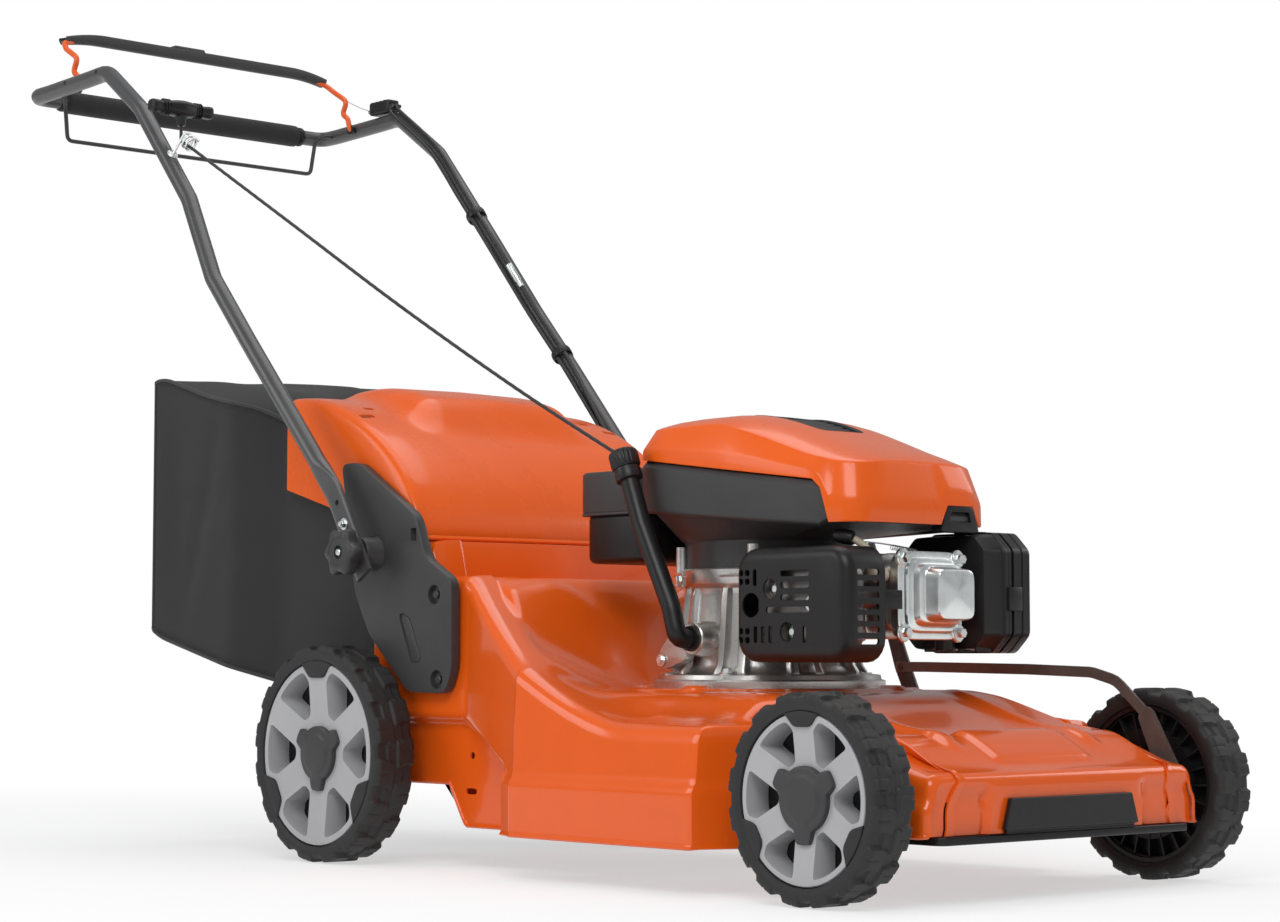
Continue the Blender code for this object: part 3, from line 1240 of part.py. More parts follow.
def mouth_box():
    """The bag's opening, which faces the chute."""
    low = (BAG_FRONT_X - 0.020, -0.190, CHUTE_Z + 0.006)
    high = (BAG_FRONT_X + 0.02, 0.190, 0.346)
    return low, high


def make_bag_frame():
    """Steel hoop inside the bag's mouth, which hooks on the deck."""
    x = BAG_FRONT_X - (BAG_FRONT_X - BAG_REAR_X) * 0.011 - 0.0040 - GAP
    y, z0, z1 = 0.197, CHUTE_Z + 0.012, 0.350
    corners = rounded([(-y, z0), (y, z0), (y, z1), (-y, z1)], 0.020, 3)
    rings = []
    count = len(corners)
    for i, (cy, cz) in enumerate(corners):
        a, b = Vector(corners[i - 1]), Vector(corners[(i + 1) % count])
        along = (b - a).normalized()
        normal = Vector((along.y, -along.x))
        ring = []
        for k in range(6):
            t = 2.0 * math.pi * k / 6
            offset = normal * (0.004 * math.cos(t))
            ring.append((x + 0.004 * math.sin(t), cy + offset.x, cz + offset.y))
        rings.append(ring)
    finish("bag_frame", skin(rings, loop=True), black_steel)


# Handle

def make_handle_brackets():
    """Moulded bracket on each side of the deck, with the boss that carries the handle's end."""
    x0 = REAR_AXLE_X - 0.0055
    outline = [(-0.022, 0.475), (0.013, 0.475), (0.126, 0.407), (0.146, 0.357), (0.195, 0.331), (0.196, 0.229),
               (0.183, 0.200), (0.113, 0.201), (0.036, 0.268), (0.007, 0.318)]
    outline = rounded([(x0 + dx, z) for dx, z in outline], 0.010, 1)
    low, high = DECK_REAR_HALF + GAP, TYRE_INNER_Y - 0.0013
    for side, name in ((-1, "right"), (1, "left")):
        a, b = sorted((side * low, side * high))
        bracket = finish(f"handle_bracket_{name}", prism(outline, a, b), grey_plastic)
        a, b = sorted((side * (high - 0.001), side * (leg_y() - 0.0030 - GAP)))
        boolean(bracket, disc(0.019, a, b, 14, (KNOB_X, 0, KNOB_Z), "Y"), "UNION")
        boolean(bracket, disc(0.0046, -HALF_WIDTH, HALF_WIDTH, 12, (KNOB_X, 0, KNOB_Z), "Y"))
        pocket_a, pocket_b = sorted((side * (high - 0.004), side * (high + 0.01)))
        slot = [(x0 + 0.096, 0.290), (x0 + 0.114, 0.290), (x0 + 0.138, 0.236), (x0 + 0.120, 0.236)]
        slot = rounded(slot, 0.007, 1)
        holes = joined(disc(0.011, pocket_a, pocket_b, 10, (x0 + 0.163, 0, 0.314), "Y"),
                       disc(0.011, pocket_a, pocket_b, 10, (x0 + 0.168, 0, 0.216), "Y"),
                       prism(slot, pocket_a, pocket_b))
        boolean(bracket, holes)
        square = block((x0 + 0.118, -HALF_WIDTH, 0.378), (x0 + 0.128, HALF_WIDTH, 0.392))
        boolean(bracket, square)


def leg_y():
    """How far out each flattened leg of the handle lies."""
    return TYRE_INNER_Y + (LEG_SPREAD - 0.2368)


def handle_leg(side):
    """Middle line of one leg, from its flat end up to the top bend."""
    y = leg_y()
    upper = GRIP_HALF + 0.003
    line = [(0.017, y, -0.027), (0.0, y, 0.0), (-0.045, y, 0.073), (-0.090, y, 0.122), (-0.229, y + 0.004, 0.273),
            (-0.307, y + 0.004, 0.357), (-0.390, upper, 0.471), (-0.511, upper, 0.608), (-0.602, GRIP_HALF, 0.672),
            (-0.650, GRIP_HALF, GRIP_HEIGHT - KNOB_Z + 0.003), (-0.760, GRIP_HALF, GRIP_HEIGHT - KNOB_Z)]
    return [(KNOB_X + dx, side * py, KNOB_Z + dz) for dx, py, dz in line]


def make_handlebar():
    """One tube: flattened ends at the knobs, a bend in each leg, and the crossbar."""
    right = handle_leg(-1)
    left = handle_leg(1)
    grip_z = GRIP_HEIGHT
    path = right + [(GRIP_X, -GRIP_HALF, grip_z), (GRIP_X, GRIP_HALF, grip_z)] + list(reversed(left))
    path = bent(path, 0.042, 34.0)
    flat_x = KNOB_X - 0.048
    round_x = KNOB_X - 0.082
    sizes = []
    for p in path:
        t = ramp(p.x, flat_x, round_x, 0.0, 1.0)
        sizes.append((0.0150 + (TUBE_R - 0.0150) * t, 0.0030 + (TUBE_R - 0.0030) * t))
    bar = finish("handlebar", swept(path, sizes, 8), black_steel, (KNOB_X, 0.0, KNOB_Z))
    boolean(bar, disc(0.0046, -HALF_WIDTH, HALF_WIDTH, 12, (KNOB_X, 0, KNOB_Z), "Y"))
    return bar


def make_foam_grip():
    """Foam sleeve round the crossbar."""
    half = GRIP_HALF - 0.050
    inner = TUBE_R + GAP
    bm = turned([(inner, -half), (GRIP_R - 0.002, -half), (GRIP_R, -half + 0.004), (GRIP_R, half - 0.004),
                 (GRIP_R - 0.002, half), (inner, half)], 16, (GRIP_X, 0, GRIP_HEIGHT), "Y")
    finish("foam_grip", bm, foam)


def make_knobs():
    """Clamp knob with six lobes and its bolt through the leg and the bracket."""
    y0 = leg_y() + 0.0030 + GAP
    y1 = HALF_WIDTH - 0.002
    steps = 24
    for side, name in ((-1, "right"), (1, "left")):
        rings = []
        for y, scale in ((y0, 0.60), (y0 + 0.004, 0.62), (y0 + 0.008, 1.0), (y1 - 0.003, 0.98), (y1, 0.86)):
            ring = []
            for k in range(steps):
                a = 2.0 * math.pi * k / steps
                r = KNOB_R * scale * (0.92 + 0.08 * math.cos(6.0 * a))
                ring.append((KNOB_X + r * math.cos(a), side * y, KNOB_Z + r * math.sin(a)))
            rings.append(ring)
        knob = finish(f"clamp_knob_{name}", skin(rings), grey_plastic, (KNOB_X, side * y0, KNOB_Z))
        a, b = sorted((side * (DECK_REAR_HALF + 0.002), side * (y0 + 0.004)))
        boolean(knob, disc(0.0042, a, b, 12, (KNOB_X, 0, KNOB_Z), "Y"), "UNION")


def stop_bail_pivot():
    return GRIP_X + 0.096, GRIP_HEIGHT + 0.001


def make_stop_bail():
    """Coated rod whose feet turn in the legs, with a crank in each side and the bar across the top."""
    px, pz = stop_bail_pivot()
    y = GRIP_HALF - TUBE_R - 0.0060
    top_x = GRIP_X + 0.034
    half = []
    for s in (-1, 1):
        side = [(px, s * (y + 0.0055), pz), (px, s * y, pz), (px - 0.006, s * y, pz + 0.018),
                (px - 0.020, s * y, pz + 0.026), (px - 0.008, s * y, pz + 0.044), (px - 0.040, s * y, pz + 0.058),
                (top_x, s * y, BAIL_TOP_Z)]
        half.append(side)
    path = bent(half[0] + list(reversed(half[1])), 0.008, 60.0)
    rod("stop_bail", path, BAIL_ROD_R, orange_plastic, 1, (px, 0.0, pz))
    # The moulded cover is a channel over the rod's bar.
    cover_half = y - 0.004
    inner, outer = BAIL_ROD_R + 0.0010, 0.0095
    outline = []
    for k in range(9):
        a = math.radians(-20.0 + 220.0 * k / 8.0)
        outline.append((outer * math.cos(a), outer * math.sin(a)))
    for k in range(9):
        a = math.radians(200.0 - 220.0 * k / 8.0)
        outline.append((inner * math.cos(a), inner * math.sin(a)))
    cover = prism([(top_x + a, BAIL_TOP_Z + b) for a, b in outline], -cover_half + 0.006, cover_half - 0.006)
    finish("bail_cover", cover, grey_plastic, (px, 0.0, pz))


def make_drive_bail():
    """Thin wire bail under the crossbar that engages the drive."""
    px, pz = GRIP_X + 0.040, GRIP_HEIGHT - 0.002
    y = GRIP_HALF - TUBE_R
    half = []
    for s in (-1, 1):
        half.append([(px, s * (y - 0.0008), pz), (px, s * (y - 0.014), pz),
                     (px - 0.012, s * (y - 0.022), pz - 0.010),
                     (px - 0.015, s * (y - 0.028), pz - 0.058)])
    path = bent(half[0] + list(reversed(half[1])), 0.008, 40.0)
    rod("drive_bail", path, 0.0030, black_steel, 1, (px, 0.0, pz))


def make_cable_box():
    x, z = GRIP_X + 0.160, GRIP_HEIGHT + 0.005 + TUBE_R + GAP
    bm = block((x - 0.024, GRIP_HALF - 0.012, z), (x + 0.024, GRIP_HALF + 0.010, z + 0.020), 0.004, 1)
    finish("cable_box", bm, black_plastic)


def beside_leg(leg, k, turn_deg):
    """A place beside a corner of the left leg or halfway to the next, from its inner side upwards."""
    point = (Vector(leg[math.floor(k)]) + Vector(leg[math.ceil(k)])) / 2.0
    along = (Vector(leg[math.floor(k) + 1]) - Vector(leg[math.ceil(k) - 1])).normalized()
    inner = (Vector((0.0, -1.0, 0.0)) + along * along.y).normalized()
    upper = along.cross(inner)
    turn = math.radians(turn_deg)
    reach = (TUBE_R + CABLE_R + 0.0018) / along.xz.length
    return point + (inner * math.cos(turn) + upper * math.sin(turn)) * reach


def shroud_rear_x(y):
    """Where the shroud's rear wall stands at a distance from the middle."""
    half_x = (COVER_FRONT_X - COVER_REAR_X) / 2.0
    return (COVER_FRONT_X + COVER_REAR_X) / 2.0 - half_x * (1.0 - (y / COVER_HALF_Y) ** 5) ** 0.2


def make_cables():
    """Brake and drive cable: from the box along the left leg, then between the flap and the leg to
    the engine and to the deck's shoulder."""
    leg = handle_leg(1)
    box_x, box_z = GRIP_X + 0.1847, GRIP_HEIGHT + 0.024
    slot_y = (TYRE_INNER_Y - 0.0013 + leg_y() - 0.0030) / 2.0
    for name, turn, lift in (("drive_cable", 5.0, 0.0), ("brake_cable", 48.0, 0.009)):
        start = Vector((box_x, GRIP_HALF - 0.009 + 1.35 * lift, box_z))
        route = [start, start + Vector((0.010, 0.0, 0.0)), beside_leg(leg, 8, turn + 12.0)]
        route += [beside_leg(leg, k, turn) for k in (7, 6.5, 6, 5.5, 5, 4.5, 4)]
        route += [Vector((REAR_AXLE_X - 0.100, slot_y + 0.002, 0.540 + lift)),
                  Vector((REAR_AXLE_X - 0.050, slot_y, 0.488 + lift)),
                  Vector((REAR_AXLE_X + 0.010, slot_y, 0.444 + lift)),
                  Vector((REAR_AXLE_X + 0.080, slot_y, 0.420 + lift)),
                  Vector((REAR_AXLE_X + 0.140, slot_y - 0.002, 0.400 + lift))]
        if name == "brake_cable":
            end_y = COVER_HALF_Y * 0.86
            end_x = shroud_rear_x(end_y) - 0.0016
            route += [Vector((REAR_AXLE_X + 0.185, slot_y - 0.030, 0.402)),
                      Vector((COVER_REAR_X - 0.120, 0.150, 0.400)),
                      Vector((COVER_REAR_X - 0.050, end_y + 0.006, 0.418)), Vector((end_x, end_y, 0.430))]
        else:
            end_y = DECK_REAR_HALF - 0.016
            route += [Vector((REAR_AXLE_X + 0.176, slot_y - 0.024, 0.380)),
                      Vector((REAR_AXLE_X + 0.186, end_y + 0.005, 0.362)),
                      Vector((REAR_AXLE_X + 0.187, end_y, REAR_BOX_Z + 0.012)),
                      Vector((REAR_AXLE_X + 0.187, end_y, REAR_BOX_Z - 0.0028))]
        rod(name, curve_through(route, 2), CABLE_R, black_plastic, 1)


def rope_guide_place():
    """The rope guide's foot, on the right leg's upper side."""
    leg = handle_leg(-1)
    at = Vector(leg[6]).lerp(Vector(leg[7]), 0.42)
    return at + Vector((0.749, 0.0, 0.661)) * (TUBE_R + GUIDE_WIRE_R)


def rope_guide_centre():
    return rope_guide_place() + Vector((0.018, 0.013, 0.014))


def rope_guide_axes():
    """The rope's direction in the guide, the level one across it, and the one upright to both."""
    along = (Vector(rope_exit()) - rope_guide_centre()).normalized()
    side = Vector((-along.y, along.x, 0.0)).normalized()
    return along, side, side.cross(along)


def least_gap(path, radius, apart):
    """The least clear room between parts of a wire that lie far enough from each other along it."""
    run = [0.0]
    for a, b in zip(path, path[1:]):
        run.append(run[-1] + (Vector(b) - Vector(a)).length)
    least = 1.0
    for i, a in enumerate(path):
        for j in range(i + 1, len(path)):
            if run[j] - run[i] > apart:
                least = min(least, (Vector(path[j]) - Vector(a)).length)
    return least - 2.0 * radius


def make_rope_guide():
    """Chromed wire wound into an open spiral, with its foot on the right leg."""
    centre = rope_guide_centre()
    along, side, up = rope_guide_axes()
    turns, r, steps = 2.25, 0.0092, 32
    coil = []
    for k in range(steps + 1):
        a = 2.0 * math.pi * turns * k / steps + math.radians(225.0)
        out = -0.007 + 0.017 * k / steps
        coil.append(centre + along * out + side * (r * math.cos(a)) + up * (r * math.sin(a)))
    foot = rope_guide_place()
    path = [foot, foot + Vector((0.004, -0.001, 0.000))] + coil
    gap = least_gap(path, GUIDE_WIRE_R, math.pi * r)
    print(f"rope guide: least gap to itself {gap * 1000.0:.2f} mm")
    rod("rope_guide", path, GUIDE_WIRE_R, zinc, 1)


def grip_place():
    """The middle of the starter grip's bar, resting above the rope guide."""
    return rope_guide_centre() + Vector((-0.017, -0.002, 0.046))


def make_starter_grip():
    """T-shaped grip, thick in the middle of its bar, on a short neck."""
    at = grip_place()
    path = [at + Vector((0.0, y, 0.0)) for y in (-0.046, -0.042, -0.020, 0.0, 0.020, 0.042, 0.046)]
    sizes = [(0.006, 0.006), (0.010, 0.009), (0.010, 0.010), (0.012, 0.012),
             (0.010, 0.010), (0.010, 0.009), (0.006, 0.006)]
    grip = finish("starter_grip", swept(path, sizes, 10, (0, 0, 1)), black_plastic, tuple(at))
    neck = [at, at + Vector((0.0, 0.0, -0.012)), at + Vector((0.001, 0.0, -0.022))]
    boolean(grip, swept(neck, [(0.009, 0.009), (0.007, 0.007), (0.005, 0.005)], 8, (0, 1, 0)), "UNION")


def make_starter_rope():
    """Rope from the engine through the guide to the grip, with a slight sag."""
    end = grip_place() + Vector((0.001, 0.0, -0.022 - 0.0004))
    centre = rope_guide_centre()
    start = Vector(rope_exit())
    line = [start, start + Vector((-0.020, -0.004, 0.013))]
    for share, sag in ((0.25, 0.010), (0.5, 0.013), (0.75, 0.009)):
        line.append(start.lerp(centre, share) - Vector((0, 0, sag)))
    along, _, up = rope_guide_axes()
    rest = centre + up * 0.0047
    line += [rest + along * 0.030, rest + along * 0.012, rest - along * 0.008, rest - along * 0.0140,
             end - Vector((0.0, 0.0, 0.006)), end]
    rod("starter_rope", curve_through(line, 2), ROPE_R, black_plastic, 1)


make_deck()
make_nose_trim()
make_wheels()
make_front_axle()
make_height_strap()
make_height_lever()
make_rear_crank()
make_rear_axle()
make_gearbox()
make_gearbox_pulley()
make_drive_belt()
make_crankshaft()
make_blade_adapter()
make_blade()
make_crankcase()
make_cylinder()
make_valve_cover()
make_muffler()
make_muffler_guard()
make_plug_lead()
make_carburettor()
make_air_filter_base()
make_air_filter_cover()
make_oil_tube()
make_dipstick()
make_shroud()
make_engine_cover()
make_flywheel()
make_starter_pulley()
make_fuel_tank()
make_fuel_cap()
make_rear_flap()
make_grass_bag()
make_bag_frame()
make_handle_brackets()
make_handlebar()
make_foam_grip()
make_knobs()
make_stop_bail()
make_drive_bail()
make_cable_box()
make_cables()
make_rope_guide()
make_starter_grip()
make_starter_rope()
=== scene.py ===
import json
import math
import bmesh
import bpy
import numpy as np
from mathutils import Matrix

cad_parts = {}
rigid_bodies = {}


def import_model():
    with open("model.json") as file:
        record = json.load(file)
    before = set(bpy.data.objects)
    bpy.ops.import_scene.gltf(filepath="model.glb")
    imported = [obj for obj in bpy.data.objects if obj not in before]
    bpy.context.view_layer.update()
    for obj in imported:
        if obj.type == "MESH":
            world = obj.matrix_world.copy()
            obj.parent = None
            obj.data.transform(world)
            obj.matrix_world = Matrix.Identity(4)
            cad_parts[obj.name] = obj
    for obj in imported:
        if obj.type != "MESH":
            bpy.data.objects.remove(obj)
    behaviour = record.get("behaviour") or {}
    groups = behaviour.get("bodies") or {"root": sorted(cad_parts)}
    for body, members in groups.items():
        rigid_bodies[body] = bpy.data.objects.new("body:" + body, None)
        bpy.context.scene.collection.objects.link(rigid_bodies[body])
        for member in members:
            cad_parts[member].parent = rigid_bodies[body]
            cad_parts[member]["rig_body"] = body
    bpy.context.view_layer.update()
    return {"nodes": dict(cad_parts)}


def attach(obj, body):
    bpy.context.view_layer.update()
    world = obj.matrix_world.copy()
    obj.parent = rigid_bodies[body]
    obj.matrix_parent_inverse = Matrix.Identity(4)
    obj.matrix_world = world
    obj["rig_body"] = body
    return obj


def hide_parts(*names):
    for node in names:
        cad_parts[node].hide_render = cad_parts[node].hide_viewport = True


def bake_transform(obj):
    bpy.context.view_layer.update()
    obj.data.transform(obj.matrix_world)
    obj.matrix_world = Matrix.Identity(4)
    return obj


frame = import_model()
shift = np.array([0.74085, 0, 0])  # the pieces are drawn with x = 0 at the front axle
print("frame loaded,", len(frame["nodes"]), "nodes")

# Shape tools. A part is its points, and its faces as lists of point numbers.


def pack(*values):  # arrays or numbers of one shape side by side
    return np.stack(np.broadcast_arrays(*values), -1)


def unit(v):  # vectors made one long
    return v / np.maximum(np.linalg.norm(v, axis=-1, keepdims=True), 1e-12)


def ease(x, x0, x1, a=0, b=1):  # from a to b with level ends: 3t squared minus 2t cubed
    t = np.clip((x - x0) / (x1 - x0), 0, 1)
    return a + (b - a) * t * t * (3 - 2 * t)


def ramp(x, x0, x1, a=0, b=1):  # from a to b in a straight line
    return a + (b - a) * np.clip((x - x0) / (x1 - x0), 0, 1)


def hill(x, x0, x1, x2, x3):  # rises from 0 to 1 between x0 and x1 and falls back between x2 and x3
    return ease(x, x0, x1) * ease(x, x3, x2)


# Faces of a grid of points, which may join up with its own start both ways.
def quads(rows, cols, closeRows=False, closeCols=False):
    i, j = np.meshgrid(np.arange(rows if closeRows else rows - 1), np.arange(cols if closeCols else cols - 1),
        indexing="ij")
    k, m = (i + 1) % rows, (j + 1) % cols
    return pack(i * cols + j, i * cols + m, k * cols + m, k * cols + j).reshape(-1, 4).tolist()


# Rings of points joined row by row, with one face at each end as caps.
def loft(rings, closeRows=False, closeCols=True, caps=True):
    rings = np.asarray(rings, float)
    rows, cols = rings.shape[:2]
    faces = quads(rows, cols, closeRows, closeCols)
    if caps and not closeRows:
        faces.append(list(range(cols))[::-1])
        faces.append([(rows - 1) * cols + k for k in range(cols)])
    return rings.reshape(-1, 3), faces


def combine(*parts):  # several parts as one
    points, faces, start = [], [], 0
    for p, f in parts:
        points.append(np.asarray(p, float).reshape(-1, 3))
        faces += [[start + k for k in face] for face in f]
        start += len(points[-1])
    return np.concatenate(points), faces


def axes(along):  # two unit vectors upright to a direction and to each other
    along = unit(np.asarray(along, float))
    other = np.array([0, 0, 1]) if abs(along[2]) < 0.9 else np.array([1, 0, 0])
    side = unit(np.cross(other, along))
    return side, np.cross(along, side)


# An outline of (radius, height) turned about a line.
def turn(profile, steps, centre=(0, 0, 0), along=(0, 1, 0)):
    profile = np.asarray(profile, float)
    side, up = axes(along)
    a = 2 * np.pi * np.arange(steps) / steps
    across = np.cos(a)[:, None] * side + np.sin(a)[:, None] * up
    rings = (profile[:, None, 0:1] * across[None] + profile[:, None, 1:2] * unit(np.asarray(along, float))
        + np.asarray(centre, float))
    return loft(rings)


def rod(radius, low, high, steps, centre, along):  # a plain round bar
    return turn([(0, low), (radius, low), (radius, high), (0, high)], steps, centre, along)


def evenly(run, step):  # points at even distances along a line
    reach = np.concatenate([[0], np.cumsum(np.linalg.norm(np.diff(run, axis=0), axis=1))])
    count = max(2, int(round(reach[-1] / step)) + 1)
    at = np.linspace(0, reach[-1], count)
    return np.stack([np.interp(at, reach, run[:, k]) for k in range(run.shape[1])], -1)


def evenRing(outline, step):  # the same for a line that closes on itself
    return evenly(np.concatenate([outline, outline[:1]]), step)[:-1]


def smoothPath(points, step=0.006):  # a Catmull-Rom curve through points, read off at even distances
    p = np.asarray(points, float)
    p = np.concatenate([[2 * p[0] - p[1]], p, [2 * p[-1] - p[-2]]])
    t = np.linspace(0, 1, 24, endpoint=False)[:, None, None]
    a, b, c, d = p[:-3], p[1:-2], p[2:-1], p[3:]
    run = 0.5 * (2 * b + (c - a) * t + (2 * a - 5 * b + 4 * c - d) * t * t + (3 * b - a - 3 * c + d) * t ** 3)
    return evenly(np.concatenate([run.transpose(1, 0, 2).reshape(-1, 3), p[-2:-1]]), step)


# Each corner b, between a and c, as a parabola that starts and ends a reach away from it.
def cornerArcs(a, b, c, reach, steps, share=2.1):
    u, v = a - b, c - b
    lu, lv = np.linalg.norm(u, axis=-1), np.linalg.norm(v, axis=-1)
    reach = np.minimum.reduce([np.broadcast_to(reach, lu.shape), lu / share, lv / share])[..., None]
    t = np.linspace(0, 1, steps)[:, None]
    first, middle, last = (p[..., None, :] for p in (b + unit(u) * reach, b, b + unit(v) * reach))
    return first * (1 - t) ** 2 + middle * 2 * t * (1 - t) + last * t ** 2


# Straight runs whose corners are rounded to about a radius.
def bentPath(points, radius, step=0.006):
    p = np.asarray(points, float)
    a, b, c = p[:-2], p[1:-1], p[2:]
    half = (np.pi - np.arccos(np.clip((unit(a - b) * unit(c - b)).sum(1), -1, 1))) / 2
    arcs = cornerArcs(a, b, c, radius * np.tan(half) + 1e-6, 9)
    return evenly(np.concatenate([p[:1], arcs.reshape(-1, 3), p[-1:]]), step)


def tangents(path):  # unit directions along a line
    return unit(np.gradient(path, axis=0))


# An outline carried along a path: its first number runs across, its second upright to that.
def sweep(path, outline, across=(0, 1, 0), closed=False):
    path = np.asarray(path, float)
    along = unit(np.roll(path, -1, 0) - np.roll(path, 1, 0)) if closed else tangents(path)
    across = np.broadcast_to(np.asarray(across, float), path.shape)
    across = unit(across - along * (across * along).sum(1, keepdims=True))
    up = np.cross(along, across)
    outline = np.asarray(outline, float)
    if outline.ndim == 2:
        outline = outline[None]
    rings = path[:, None] + outline[..., 0:1] * across[:, None] + outline[..., 1:2] * up[:, None]
    return loft(rings, closeRows=closed)


# An oval or rounded box: cosine and sine divided by their power norm.
def ringOutline(halfA, halfB=None, sides=16, power=2):
    a = 2 * np.pi * (np.arange(sides) + 0.5) / sides
    c, s = np.cos(a), np.sin(a)
    n = (np.abs(c) ** power + np.abs(s) ** power) ** (-1 / power)
    return pack(halfA * n * c, (halfA if halfB is None else halfB) * n * s)


# A box with round edges: its outline is drawn in by a quarter circle at both ends.
def roundBox(low, high, radius, along=1, steps=4, corner=None):
    low, high = np.asarray(low, float), np.asarray(high, float)
    u, v = [k for k in range(3) if k != along]
    middle, half = (low + high) / 2, (high - low) / 2
    corner = max(corner or radius, radius)
    t = np.linspace(0, np.pi / 2, steps + 1)
    a = np.concatenate([t + k * np.pi / 2 for k in range(4)])
    signU, signV = np.repeat([1, -1, -1, 1], steps + 1), np.repeat([1, 1, -1, -1], steps + 1)
    inset = np.concatenate([radius * (1 - np.sin(t)), radius * (1 - np.sin(t[::-1]))])
    height = np.concatenate([-half[along] + radius * (1 - np.cos(t)), half[along] - radius * (1 - np.cos(t[::-1]))])
    r = np.maximum(corner - inset, 1e-4)[:, None]
    rings = np.zeros((len(inset), len(a), 3))
    rings[..., u] = middle[u] + ((half[u] - corner) * signU + r * np.cos(a))
    rings[..., v] = middle[v] + ((half[v] - corner) * signV + r * np.sin(a))
    rings[..., along] = middle[along] + height[:, None]
    return loft(rings[:, ::-1] if along == 1 else rings)


# A flat outline given thickness along an axis, with its edges rounded inwards.
def prism(outline, low, high, axis=1, bevel=0.0015, steps=3):
    p = np.asarray(outline, float)
    low, high = min(low, high), max(low, high)
    d = unit(np.roll(p, -1, 0) - np.roll(p, 1, 0))
    n = pack(d[:, 1], -d[:, 0])
    if (p[:, 0] * np.roll(p[:, 1], -1) - p[:, 1] * np.roll(p[:, 0], -1)).sum() < 0:
        n = -n
    t = np.linspace(0, np.pi / 2, steps + 1)
    inset = bevel * np.concatenate([1 - np.sin(t), 1 - np.sin(t[::-1])])
    height = np.concatenate([low + bevel * (1 - np.cos(t)), high - bevel * (1 - np.cos(t[::-1]))])
    flat = p - n * inset[:, None, None]
    columns = [flat[..., 0], flat[..., 1]]
    columns.insert(axis, height[:, None])
    return loft(pack(*columns))


def slab(outline, low, high, axis=1):  # a prism with plain edges
    return prism(outline, low, high, axis, 0, 1)


def tilted(part, degrees, at=(0, 0, 0)):  # a part turned about the y axis, then moved
    p, a = part[0], math.radians(degrees)
    c, s = math.cos(a), math.sin(a)
    return pack(p[:, 0] * c + p[:, 2] * s, p[:, 1], p[:, 2] * c - p[:, 0] * s) + np.asarray(at), part[1]


# A closed flat outline with its corners rounded.
def roundCorners(points, radius, steps=5):
    p = np.asarray(points, float)
    return cornerArcs(np.roll(p, 1, 0), p, np.roll(p, -1, 0), radius, steps + 1).reshape(-1, 2)


# A hexagon head on a round washer, with its upper corners turned off.
def bolt(centre, along, radius=0.006, height=0.005):
    head = turn([(0, 0), (radius * 1.28, 0), (radius * 1.28, 0.001), (radius, 0.0012), (radius, height * 0.8),
        (radius * 0.86, height), (0, height)], 6, centre, along)
    washer = turn([(0, 0), (radius * 1.45, 0), (radius * 1.45, 0.0011), (0, 0.0011)], 24, centre, along)
    return combine(head, washer)


def linked(name, data):  # a new object in the scene
    obj = bpy.data.objects.new(name, data)
    bpy.context.scene.collection.objects.link(obj)
    return obj


def shade(obj, angle):  # smooth, with sharp edges where faces meet at more than the angle
    obj.data.polygons.foreach_set("use_smooth", np.ones(len(obj.data.polygons), bool))
    obj.data.set_sharp_from_angle(angle=math.radians(angle))
    return obj


# Puts a part, or a list of them, into a mesh object in the frame's place, with its finish and body.
# It stands for the CAD node that it names, and a piece without a body is put on one later or left in place.
def build(name, part, finish, body="chassis", stands=None, angle=32, weld=True):
    points, faces = combine(*part) if isinstance(part, list) else part
    mesh = bpy.data.meshes.new(name)
    mesh.from_pydata((np.asarray(points) + shift).tolist(), [], faces)
    if weld:
        bm = bmesh.new()
        bm.from_mesh(mesh)
        bmesh.ops.remove_doubles(bm, verts=bm.verts, dist=1e-6)
        bmesh.ops.dissolve_degenerate(bm, edges=bm.edges, dist=1e-7)
        bmesh.ops.recalc_face_normals(bm, faces=bm.faces)
        bm.to_mesh(mesh)
        bm.free()
    obj = shade(linked(name, mesh), angle)
    mesh.materials.append(finishes[finish])
    if stands:
        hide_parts(stands)
    if body:
        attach(obj, body)
    return obj


def apply(obj):  # makes an object's modifiers part of its mesh
    graph = bpy.context.evaluated_depsgraph_get()
    mesh = bpy.data.meshes.new_from_object(obj.evaluated_get(graph))
    obj.modifiers.clear()
    obj.data = mesh
    return obj


def cut(obj, part, operation="DIFFERENCE"):  # takes a part away from a piece, or adds it, for good
    other = build(obj.name + "Tool", part, "blackPlastic", None)
    step = obj.modifiers.new("cut", "BOOLEAN")
    step.operation, step.solver, step.object = operation, "EXACT", other
    apply(obj)
    bpy.data.objects.remove(other)
    return obj


def read(items, key, width, kind=float):  # an array of one field of all of a mesh's parts
    out = np.zeros(len(items) * width, kind)
    items.foreach_get(key, out)
    return out.reshape(-1, width)


def walled(obj, wall):  # gives a surface its thickness, inwards
    normals, centres = read(obj.data.polygons, "normal", 3), read(obj.data.polygons, "center", 3)
    if (normals * (centres - centres.mean(0))).sum() < 0:
        obj.data.flip_normals()
    step = obj.modifiers.new("wall", "SOLIDIFY")
    step.thickness, step.offset = wall, -1
    apply(obj)


# rounds a piece's sharp edges with a live Bevel
def soften(obj, width, segments=2, angle=35, shadeAngle=60):
    edge = obj.modifiers.new("edge", "BEVEL")
    edge.width, edge.segments, edge.limit_method = width, segments, "ANGLE"
    edge.angle_limit = math.radians(angle)
    edge.harden_normals = True
    return shade(obj, shadeAngle)


